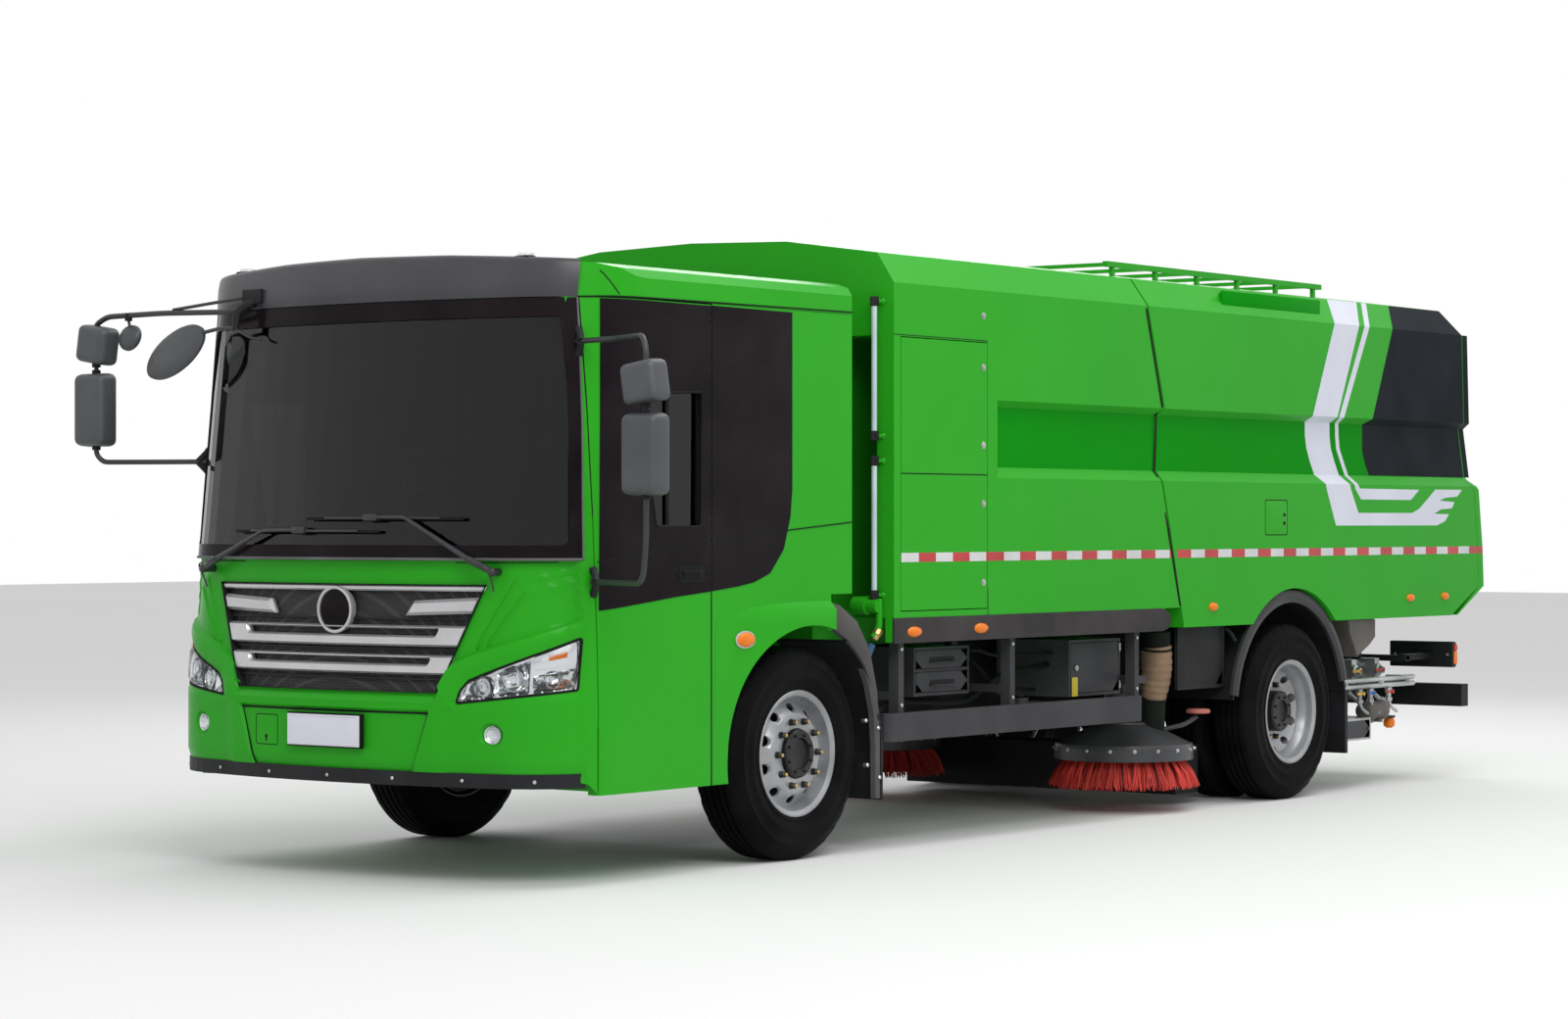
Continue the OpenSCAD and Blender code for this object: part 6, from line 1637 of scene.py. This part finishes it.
for side, hand in SIDES:
    cx, cy = BRUSH_AT[0], side * BRUSH_AT[1]
    bm = bmesh.new()
    for ring, count, root, tip, low in ((0, 34, 0.318, 0.412, 0.136), (1, 34, 0.296, 0.385, 0.131)):
        for i in range(count):
            turn = 2 * math.pi * (i + 0.5 * ring) / count
            lean = random.uniform(-0.05, 0.05)
            reach = tip + random.uniform(-0.014, 0.004)
            for k in range(15):
                a = turn + random.uniform(-0.040, 0.040)
                b = turn + lean + random.uniform(-0.075, 0.075)
                r0 = root + random.uniform(-0.012, 0.012)
                r1 = min(reach + random.uniform(-0.03, 0.012), 0.419)
                z1 = max(low + random.uniform(-0.006, 0.022), 0.1305)
                p0 = Vector((cx + r0 * math.cos(a), cy + r0 * math.sin(a), 0.298))
                p2 = Vector((cx + r1 * math.cos(b), cy + r1 * math.sin(b), z1))
                p1 = Vector((cx + (r0 * 0.35 + r1 * 0.65) * math.cos((a + b) / 2),
                             cy + (r0 * 0.35 + r1 * 0.65) * math.sin((a + b) / 2), 0.218))
                rings = []
                for p, w in ((p0, 0.0042), (p1, 0.0036), (p2, 0.0022)):
                    rings.append([bm.verts.new(p + Vector((w * math.cos(t), w * math.sin(t),
                                                           0))) for t in (0, 2.094, 4.189)])
                walled(bm, rings)
                bm.faces.new(rings[-1])
    bristles = made(bm, "brush_bristles_" + hand, bristle_red, "brush_" + hand, "bristle_red", 80,
                    merge=False)
    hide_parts("brush_" + hand)
    # Solid root mass under the tufts, darker red as painted shade among the bristles.
    bm = bmesh.new()
    turned(bm, (cx, cy, 0.297), (cx, cy, 0), [(0, 0.295), (0.04, 0.318), (0.09, 0.340), (0.135, 0.356),
                                              (0.138, 0.30), (0.10, 0.20)], 48)
    made(bm, "brush_roots_" + hand, bristle_shade_red, "brush_" + hand, "bristle_red", 60)
    bm = bmesh.new()
    turned(bm, (cx, cy, 0.296), (cx, cy, 1), [(-0.012, 0.24), (-0.010, 0.305), (0, 0.322), (0.014, 0.326),
                                              (0.020, 0.318), (0.022, 0.16), (0.032, 0.12)], 48)
    made(bm, "brush_plate_" + hand, frame_paint, "brush_" + hand, "frame_black")
    # Hood rim band, its bolts, the motor on top, and the guard roller behind
    bm = bmesh.new()
    turned(bm, (cx, cy, 0.286), (cx, cy, 1), [(0, 0.3815), (0.002, 0.3850), (0.060, 0.3860),
                                              (0.072, 0.3850), (0.088, 0.3800), (0.092, 0.374)],
           72, shut=False)
    turned(bm, (cx, cy, 0.480), (cx, cy, 1), [(0, 0.152), (0.008, 0.150), (0.012, 0.140), (0.014, 0.10)],
           40)
    turned(bm, (cx, cy, 0.60), (cx, cy, 1), [(0, 0.112), (0.045, 0.112), (0.052, 0.100), (0.054, 0.066),
                                             (0.100, 0.062), (0.112, 0.050), (0.114, 0.02)], 32)
    tube(bm, [(cx - 0.16, cy + side * 0.16, 0.445), (cx - 0.27, cy + side * 0.235, 0.470),
              (cx - 0.345, cy + side * 0.262, 0.512)],
         0.014, 10, 0.05)
    made(bm, "brush_hood_" + hand, hood_grey, "brush_arm_" + hand, "guard_grey")
    bm = bmesh.new()
    for i in range(18):
        t = 2 * math.pi * i / 18
        p = Vector((cx + 0.384 * math.cos(t), cy + 0.384 * math.sin(t), 0.345))
        turned(bm, p, p + Vector((math.cos(t), math.sin(t), 0)),
               [(0, 0.012), (0.005, 0.012), (0.006, 0.008), (0.012, 0.008), (0.014, 0.006)], 6)
    for i in range(6):
        t = 2 * math.pi * (i + 0.5) / 6
        rod(bm, (cx + 0.125 * math.cos(t), cy + 0.125 * math.sin(t), 0.490),
            (cx + 0.125 * math.cos(t), cy + 0.125 * math.sin(t), 0.506),
            0.009, 6)
    made(bm, "brush_hood_bolts_" + hand, steel_bolt, "brush_arm_" + hand, "steel_silver")
    bm = bmesh.new()
    at = Vector((cx - 0.355, cy + side * 0.268, 0.528))
    turned(bm, at, at + Vector((0, 0, 1)), [(0, 0.03), (0.002, 0.062), (0.008, 0.068), (0.020, 0.068),
                                            (0.026, 0.062), (0.028, 0.03)], 32)
    made(bm, "brush_guard_roller_" + hand, roller_coral, "brush_arm_" + hand, "bristle_red")
    # Hose: black cuff, canvas sleeve gathered in folds, black foot
    top = Vector((-0.880, side * 1.065, 1.000))
    foot = Vector((-0.945, side * 1.000, 0.455))
    bm = bmesh.new()
    tube(bm, [top, top.lerp(foot, 0.10), top.lerp(foot, 0.20)], [0.076, 0.080, 0.084], 28, 0.02, 3)
    tube(bm, [top.lerp(foot, 0.66), top.lerp(foot, 0.82), foot,
              foot + Vector((0.012, side * -0.01, -0.035))], [0.064, 0.068, 0.068, 0.066], 28,
         0.02, 3)
    for share, r in ((0.17, 0.087), (0.69, 0.069)):
        p = top.lerp(foot, share)
        d = (foot - top).normalized()
        turned(bm, p, p + d, [(0, r), (0.001, r + 0.003), (0.013, r + 0.003), (0.014, r)], 28, shut=False)
    made(bm, "brush_hose_cuffs_" + hand, shut_line, "brush_arm_" + hand, "frame_black")
    bm = bmesh.new()
    folds = []
    sizes = []
    for i in range(24):
        share = 0.16 + 0.53 * i / 23
        folds.append(top.lerp(foot, share) + Vector((0, side * 0.012 * math.sin(math.pi * i / 23), 0)))
        sizes.append(0.0850 - 0.019 * (i / 23) + 0.008 * math.sin(math.pi * i / 23)
                     + 0.0022 * math.sin(i * 2.1))
    tube(bm, folds, sizes, 32, 0.004, 1)
    sag = random.Random(3)
    for v in bm.verts:
        v.co += Vector((sag.uniform(-1, 1), sag.uniform(-1, 1), 0)) * 0.0012
    made(bm, "brush_hose_sleeve_" + hand, canvas, "brush_arm_" + hand, "frame_black", 60)


# ---- Rear lamps, spray gear and sump ----------------------------------------------------
# Black lamp housings with red and amber lenses; steel pipes with ball valves and coloured
# handles feed the rear nozzles, and a sloping sump hangs under the hopper.
red_lens, red_tree, red_shader = new_finish("red_lens")
red_tree.links.new(blend_colour(red_tree, grain(red_tree, 200.0, 1.0, (1, 0.3, 1)), (0.36, 0.010, 0.008),
                                (0.58, 0.022, 0.014)),
                   red_shader.inputs["Base Color"])
red_shader.inputs["Roughness"].default_value = 0.16
red_shader.inputs["Specular IOR Level"].default_value = 0.35
rough_surface(red_tree, red_shader, grain(red_tree, 300.0, 1.0, (1, 0.2, 1)), 0.5, 0.002)
pipe_steel = moulded("pipe_zinc", (0.42, 0.43, 0.44), 0.34, 0.12, 0.3, metal=0.8, grit=120.0, height=0.0005)
rod_chrome = moulded("rod_chrome", (0.66, 0.67, 0.68), 0.12, 0.06, 0.08, metal=1.0, grit=60.0,
                     height=0.0001)
sump_paint = moulded("sump_grey_brown", (0.105, 0.092, 0.084), 0.60, 0.10, 0.35, grit=60.0, height=0.002)
repaint(rod_chrome, "tip_rods")
repaint(frame_paint, "tip_cylinders")
repaint(pipe_steel, "rear_spray_gear")
housings, reds, ambers, screws = bmesh.new(), bmesh.new(), bmesh.new(), bmesh.new()
for side in (1, -1):
    side_block(housings, side, (-4.324, 0.760, 0.690), (-4.271, 1.194, 0.850), 0.008, 3)
    side_block(housings, side, (-4.272, 1.002, 0.741), (-3.905, 1.058, 0.779), 0.004)
    side_block(housings, side, (-3.958, 0.434, 0.736), (-3.902, 1.058, 0.774), 0.004)
    for a, b, target in ((0.768, 0.905, reds), (0.910, 1.045, reds), (1.050, 1.192, ambers)):
        side_block(target, side, (-4.3385, a, 0.700), (-4.318, b, 0.840), 0.006, 3)
    side_block(ambers, side, (-4.336, 1.188, 0.712), (-4.290, 1.1995, 0.790), 0.004)
    side_block(reds, side, (-4.336, 1.188, 0.796), (-4.290, 1.1995, 0.830), 0.004)
    for y in (0.80, 1.02, 1.16):
        rod(screws, (-4.272, side * y, 0.77), (-4.264, side * y, 0.77), 0.010, 6)
rear_housing = made(housings, "rear_lamp_housings", black_plastic, "chassis", "lamp_red")
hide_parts("rear_lamps")
made(reds, "rear_lamp_red_lenses", red_lens, "chassis", "lamp_red")
made(ambers, "rear_lamp_amber_lenses", amber, "chassis", "lamp_red")
made(screws, "rear_lamp_screws", steel_bolt, "chassis", "steel_silver")
handle_finish = {"blue": moulded("handle_blue", (0.02, 0.10, 0.36), 0.4),
                 "yellow": moulded("handle_yellow", (0.70, 0.40, 0.02), 0.4),
                 "red": valve_red}
for side, hand in SIDES:
    collars = bmesh.new()
    for x in (-2.96, -3.20, -3.30, -3.50, -3.60, -3.76):
        for z in (0.650, 0.720):
            turned(collars, (x, side * 0.86, z), (x - 1, side * 0.86, z),
                   [(0, 0.023), (0.002, 0.030), (0.028, 0.030), (0.030, 0.023)], 6)
    for x in (-3.06, -3.41, -3.71):
        turned(collars, (x, side * 0.955, 0.690), (x, side * 2, 0.690),
               [(0, 0.034), (0.006, 0.038), (0.020, 0.038), (0.026, 0.024), (0.05, 0.020),
                                                                        (0.052, 0.012)], 16)
        tube(collars, [(x, side * 0.90, 0.612), (x, side * 0.92, 0.56), (x - 0.05, side * 0.96, 0.50)],
             0.013, 10, 0.03)
        turned(collars, (x - 0.05, side * 0.96, 0.51), (x - 0.085, side * 0.99, 0.465),
               [(0, 0.016), (0.02, 0.020), (0.04, 0.020), (0.045, 0.010)], 10)
    made(collars, "spray_collars_" + hand, pipe_steel, "chassis", "pipe_grey")
    for tone, x in (("blue", -3.06), ("yellow", -3.41), ("red", -3.71)):
        bm = bmesh.new()
        side_block(bm, side, (x - 0.010, 1.000, 0.682), (x + 0.105, 1.008, 0.700), 0.003)
        side_block(bm, side, (x - 0.013, 1.000, 0.677), (x + 0.013, 1.008, 0.703), 0.004)
        made(bm, f"spray_handle_{tone}_{hand}", handle_finish[tone], "chassis", "pipe_grey")
    bm = bmesh.new()
    tube(bm, [(-2.93, side * 0.90, 0.742), (-3.25, side * 0.92, 0.790), (-3.66, side * 0.90, 0.780),
              (-3.72, side * 0.72, 0.74)], 0.014, 10, 0.10)
    tube(bm, [(-3.10, side * 0.94, 0.416), (-3.14, side * 0.96, 0.50), (-3.30, side * 0.93, 0.56),
              (-3.62, side * 0.90, 0.60)], 0.012, 10, 0.08)
    made(bm, "spray_hoses_" + hand, shut_line, "chassis", "frame_black")
    bm = bmesh.new()
    lid = rounded([(-3.245, 0.302), (-2.925, 0.302), (-2.925, 0.408), (-3.245, 0.408)], 0.010, 3)
    skin(bm, lid, flat_side(side, 1.150), crowned(lid, 0, 0.003, 0.004), 0.002, 0.06)
    rod(bm, (-3.22, side * 1.150, 0.355), (-3.22, side * 1.158, 0.355), 0.012, 16)
    made(bm, "low_box_lid_" + hand, locker_paint, "chassis", "pipe_grey")
    # Outer spray bar: two pipes on brackets, a pump body, ball valves and nozzles
    bars = bmesh.new()
    for z in (0.604, 0.642):
        rod(bars, (-2.90, side * 1.095, z), (-3.93, side * 1.095, z), 0.015, 16)
    for x in (-3.02, -3.48, -3.84):
        side_block(bars, side, (x - 0.02, 0.96, 0.590), (x + 0.02, 1.100, 0.655), 0.003)
        rod(bars, (x, side * 1.108, 0.623), (x, side * 1.120, 0.623), 0.010, 6)
    for x in (-3.22, -3.36, -3.60):
        turned(bars, (x, side * 1.095, 0.590), (x, side * 1.095, 0),
               [(0, 0.014), (0.004, 0.021), (0.030, 0.021), (0.034, 0.015), (0.060, 0.015),
               (0.064, 0.022), (0.085, 0.022), (0.088, 0.012)], 12)
        tube(bars, [(x, side * 1.095, 0.510), (x - 0.02, side * 1.100, 0.470),
                    (x - 0.08, side * 1.110, 0.440)], 0.010, 10, 0.02)
    made(bars, "spray_bar_" + hand, pipe_steel, "chassis", "pipe_grey")
    pump = bmesh.new()
    turned(pump, (-3.33, side * 1.06, 0.452), (-4, side * 1.06, 0.452),
           [(0, 0.03), (0.004, 0.052), (0.030, 0.060), (0.10, 0.060), (0.115, 0.050),
           (0.20, 0.050), (0.212, 0.062), (0.235, 0.062), (0.240, 0.03)], 24)
    for x in (-3.38, -3.50):
        side_block(pump, side, (x - 0.015, 0.955, 0.380), (x + 0.015, 1.10, 0.400), 0.003)
        side_block(pump, side, (x - 0.012, 1.045, 0.398), (x + 0.012, 1.075, 0.420), 0.002)
    side_block(pump, side, (-3.60, 0.78, 0.375), (-3.26, 0.965, 0.405), 0.003)
    made(pump, "spray_pump_" + hand, sump_paint, "chassis", "pipe_grey")
    for tone, x in (("yellow", -3.22), ("blue", -3.36), ("red", -3.60)):
        bm = bmesh.new()
        side_block(bm, side, (x - 0.009, 1.118, 0.556), (x + 0.075, 1.125, 0.571), 0.002)
        turned(bm, (x, side * 1.100, 0.563), (x, side * 1.130, 0.563),
               [(0, 0.009), (0.022, 0.009), (0.028, 0.013), (0.030, 0.009)], 10)
        made(bm, f"spray_lever_{tone}_{hand}", handle_finish[tone], "chassis", "pipe_grey")
    bm = bmesh.new()
    turned(bm, (-3.675, side * 1.06, 0.400), (-3.675, side * 1.06, 0),
           [(0, 0.02), (0.006, 0.030), (0.030, 0.036), (0.052, 0.034), (0.064, 0.018)], 20)
    made(bm, "low_marker_lamp_" + hand, amber, "chassis", "lamp_red")
    bm = bmesh.new()
    side_block(bm, side, (-3.70, 1.03, 0.398), (-3.56, 1.09, 0.412), 0.002)
    made(bm, "low_marker_bracket_" + hand, frame_paint, "chassis", "lamp_red")
    # Sump: a sheet-steel trough with a sloping end
    bm = bmesh.new()
    outline = [(-2.895, 1.018), (-3.245, 1.018), (-3.245, 0.905), (-3.165, 0.862), (-3.010, 0.790),
               (-2.915, 0.930)]
    y0, y1 = sorted((side * 0.98, side * 1.19))
    near_side = [bm.verts.new((x, y1, z)) for x, z in outline]
    far_side = [bm.verts.new((x, y0, z)) for x, z in outline]
    bm.faces.new(near_side)
    bm.faces.new(list(reversed(far_side)))
    for i in range(len(outline)):
        j = (i + 1) % len(outline)
        bm.faces.new([near_side[i], far_side[i], far_side[j], near_side[j]])
    bmesh.ops.bevel(bm, geom=list(bm.edges), offset=0.006, segments=2, affect="EDGES")
    made(bm, "hopper_sump_" + hand, sump_paint, "hopper", "body_green")
    # Shackle and grease cup on each tipping cylinder
    bm = bmesh.new()
    base, end = Vector((-1.75, side * 0.29, 0.70)), Vector((-2.80, side * 0.29, 0.927))
    for share in (0.86, 0.97):
        p = base.lerp(end, share)
        turned(bm, p, p + (end - base), [(0, 0.044), (0.004, 0.058), (0.024, 0.058), (0.028, 0.046)], 24,
               shut=False)
    made(bm, "tip_cylinder_bands_" + hand, cast_paint, "tip_cylinders", "cast_dark")

# ---- Air outlet at the top of the tail ------------------------------------------------
# The fan's air leaves under the end of the roof, through a black wire screen behind
# folded louvres that span the whole width above the rear door.
slats, screen_back = bmesh.new(), bmesh.new()
OUTLET = [(2.772, 1.150), (2.848, 1.095), (2.925, 0.590), (2.942, 0.02)]
OUTLET_X = -4.262
OUTLET_Z = 2.765
OUTLET_SLOPE = 0.78


def outlet_surface(y, z, out):
    """The slope behind the louvres as a surface: (width, height, out) to a point."""
    return Vector((OUTLET_X + (z - OUTLET_Z) * OUTLET_SLOPE - out, y, z))


arch = [(y, z) for z, y in OUTLET] + [(-y, z) for z, y in reversed(OUTLET)]
skin(screen_back, arch, outlet_surface, 0.0, 0.002, 0.15)
for i in range(7):
    z = 2.782 + i * 0.023
    half = level(OUTLET, z + 0.006) - 0.012
    x = OUTLET_X + (z - OUTLET_Z) * OUTLET_SLOPE
    corners = [(x - 0.004, z + 0.008), (x - 0.020, z - 0.004), (x - 0.0185, z - 0.006),
               (x - 0.0015, z + 0.006)]
    ends = [[slats.verts.new((a, y, b)) for a, b in corners] for y in (-half, half)]
    slats.faces.new(ends[0])
    slats.faces.new(list(reversed(ends[1])))
    walled(slats, ends)
for y in (-0.8, -0.4, 0.0, 0.4, 0.8):
    lift = level([(-b, a) for a, b in OUTLET], -abs(y)) - 0.012
    bottom, top = outlet_surface(y, 2.778, 0.010), outlet_surface(y, lift, 0.010)
    rod(slats, bottom, top, 0.004, 8)
# The screen takes the honeycomb finish, with painted shade in its cells.
made(screen_back, "outlet_screen", mesh_black, "hopper", "body_green")
made(slats, "outlet_louvres", green, "hopper", "body_green")
# Rear door: hinge barrels along its top edge, each on a flat leaf
hinges = bmesh.new()
for y in (-0.95, -0.35, 0.35, 0.95):
    rod(hinges, (-4.350, y - 0.055, 2.752), (-4.350, y + 0.055, 2.752), 0.012, 16)
    block(hinges, (-4.366, y - 0.045, 2.690), (-4.357, y + 0.045, 2.756), 0.002)
made(hinges, "rear_door_hinges", green, "hopper_rear_door", "body_green")


# ---- Cab inside: trim, dashboard, steering wheel --------------------------------------------
# Charcoal moulded trim lines the cab and its doors. The dashboard has a hood over the dials,
# air vents and a plain dark screen; the steering wheel is soft-wrapped, with a plain boss.
trim_dark = moulded("cabin_trim_charcoal", (0.022, 0.022, 0.024), 0.62, 0.08, 0.25, sheen=0.25)
repaint(trim_dark, "dashboard", "steering_wheel")
wheel_wrap = moulded("wheel_wrap_black", (0.012, 0.012, 0.013), 0.50, 0.08, 0.25)
for name in ("cab_shell", "door_left", "door_right"):
    mesh = nodes[name].data
    mesh.materials.append(trim_dark)
    for face in mesh.polygons:
        c, n = face.center, face.normal
        depth = cab_side_y(c.x, max(c.z, 0.5)) - abs(c.y)
        inner_end = cab_nose(c.y, min(max(c.z, 0.5), 2.7), 0).x - c.x
        within = Vector((3.35, 0, 1.75)) - Vector(c)
        lining = (depth > 0.012 and inner_end > 0.05 and 0.86 < c.z < 2.765
                  and n.dot(within) > 0 and c.x > 2.28)
        behind_glass = depth > 0.012 and inner_end > 0.014 and 1.45 < c.z < 2.56 and c.x > 3.9
        if lining or behind_glass:
            face.material_index = 1
bm = bmesh.new()
column = frame_at((3.96, 0.56, 1.35),
                  (3.96 - math.sin(math.radians(35)), 0.56, 1.35 + math.cos(math.radians(35))))
grip = oval((0, 0), (0.215, 0.215), 48)
loop = [column @ Vector((*p, 0)) for p in grip + grip[:1]]
tube(bm, loop, 0.0152, 12, 0.004, 1)
made(bm, "steering_rim", wheel_wrap, "chassis", "cabin_trim", 60)
bm = bmesh.new()
turned(bm, column @ Vector((0, 0, 0.008)), column @ Vector((0, 0, 1)),
       [(0, 0.060), (0.010, 0.062), (0.020, 0.056), (0.025, 0.040), (0.026, 0.01)], 32)
made(bm, "steering_boss", trim_dark, "chassis", "cabin_trim")
bm = bmesh.new()
block(bm, (4.02, 0.34, 1.382), (4.20, 0.80, 1.402), 0.010, 3)
for y in (-0.62, -0.10, 0.22, 0.86):
    turned(bm, (4.028, y, 1.345), (3.9, y, 1.345), [(0, 0.045), (0.008, 0.045), (0.012, 0.038),
                                                    (0.006, 0.034)], 24)
for y in (-0.64, -0.60, -0.12, -0.08, 0.20, 0.24):
    block(bm, (4.014, y - 0.003, 1.318), (4.022, y + 0.003, 1.372), 0.001)
made(bm, "dashboard_vents", black_plastic, "chassis", "cabin_trim")
bm = bmesh.new()
block(bm, (4.010, -0.06, 1.225), (4.024, 0.18, 1.315), 0.005, 3)
made(bm, "dashboard_screen", black_film, "chassis", "cabin_trim")

# ---- Seats ------------------------------------------------------------------------------
# Two sprung seats with foam cushions in dark woven cloth, sewn in three channels, on steel
# boxes. The foam crowns in the middle and the cover pulls in at its corners and seams.
cloth, cloth_tree, cloth_shader = new_finish("seat_cloth_charcoal")
weave = grain(cloth_tree, 650.0, 1.0, (1, 0.5, 1))
cloth_tree.links.new(blend_colour(cloth_tree,
                                  times(cloth_tree, weave, spread(cloth_tree, grain(cloth_tree, 12.0, 4.0),
                                                                  0.6, 1.4)),
                     (0.020, 0.021, 0.024), (0.075, 0.078, 0.085)), cloth_shader.inputs["Base Color"])
cloth_shader.inputs["Roughness"].default_value = 0.9
cloth_shader.inputs["Sheen Weight"].default_value = 0.2
rough_surface(cloth_tree, cloth_shader, weave, 0.6, 0.0012)
lean_back = Matrix.Rotation(math.radians(-12), 4, "Y")


def cushion(name, place, size, channels, rise, body="chassis"):
    """A crowned foam cushion in a sewn cover, its size along its own axes."""
    bm = bmesh.new()
    bmesh.ops.create_cube(bm, size=2.0)
    bmesh.ops.subdivide_edges(bm, edges=bm.edges[:], cuts=19, use_grid_fill=True)
    half = [s / 2 for s in size]
    for v in bm.verts:
        u, w, t = v.co
        big = max(abs(u), abs(w), abs(t))
        norm = (abs(u) ** 5 + abs(w) ** 5 + abs(t) ** 5) ** 0.2
        k = big / norm
        u, w, t = u * k, w * k, t * k
        crown = (1 - abs(u) ** 3) * (1 - abs(w) ** 3)
        pull = 1 - 0.035 * (1 - crown) * (1 - abs(t))
        groove = 0.0
        for c in channels:
            groove = max(groove, math.exp(-((w - c) / 0.035) ** 2) * (abs(u) < 0.92))
        piping = math.exp(-((abs(t) - 0.42) / 0.10) ** 2) * (max(abs(u), abs(w)) > 0.9) * 0.005
        lift = (0.80 + rise * crown) * t - math.copysign(groove * 0.10, t) * (abs(t) > 0.5)
        v.co = Vector((u * pull * (half[0] - 0.004) + math.copysign(piping, u),
                       w * pull * (half[1] - 0.004) + math.copysign(piping, w) * 0.6,
                       lift * (half[2] - 0.002)))
        v.co = place @ v.co
    piece = made(bm, name, cloth, body, "seat_cloth", 75)
    return piece


for side, hand in SIDES:
    y = side * 0.56
    seat = cushion("seat_cushion_" + hand, Matrix.Translation((3.66, y, 1.149)), (0.48, 0.48, 0.118),
                   (-0.5, 0.5), 0.20)
    middle = Vector((3.51, y, 1.16)) + lean_back @ Vector((0, 0, 0.31))
    cushion("seat_back_" + hand,
            Matrix.Translation(middle) @ lean_back @ Matrix.Rotation(math.radians(90), 4, "Y"),
            (0.60, 0.47, 0.116), (-0.5, 0.5), 0.20)
    top = Vector((3.51, y, 1.16)) + lean_back @ Vector((0, 0, 0.71))
    cushion("headrest_" + hand,
            Matrix.Translation(top) @ lean_back @ Matrix.Rotation(math.radians(90), 4, "Y"),
            (0.17, 0.255, 0.095), (), 0.20)
    bm = bmesh.new()
    block(bm, (3.465, y - 0.155, 0.763), (3.775, y + 0.155, 0.800), 0.006)
    block(bm, (3.500, y - 0.130, 0.800), (3.740, y + 0.130, 1.040), 0.012)
    for i in range(6):
        block(bm, (3.490, y - 0.140, 0.825 + i * 0.035), (3.750, y + 0.140, 0.842 + i * 0.035), 0.006)
    block(bm, (3.470, y - 0.175, 1.040), (3.800, y + 0.175, 1.088), 0.008)
    made(bm, "seat_base_" + hand, trim_dark, "chassis", "cabin_trim")
    bm = bmesh.new()
    for dy in (-0.06, 0.06):
        a = Vector((3.51, y + dy, 1.16)) + lean_back @ Vector((0, 0, 0.58))
        b = Vector((3.51, y + dy, 1.16)) + lean_back @ Vector((0, 0, 0.68))
        rod(bm, a, b, 0.007, 12)
    made(bm, "headrest_posts_" + hand, rod_chrome, "chassis", "cabin_trim")
    if side > 0:
        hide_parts("seats")
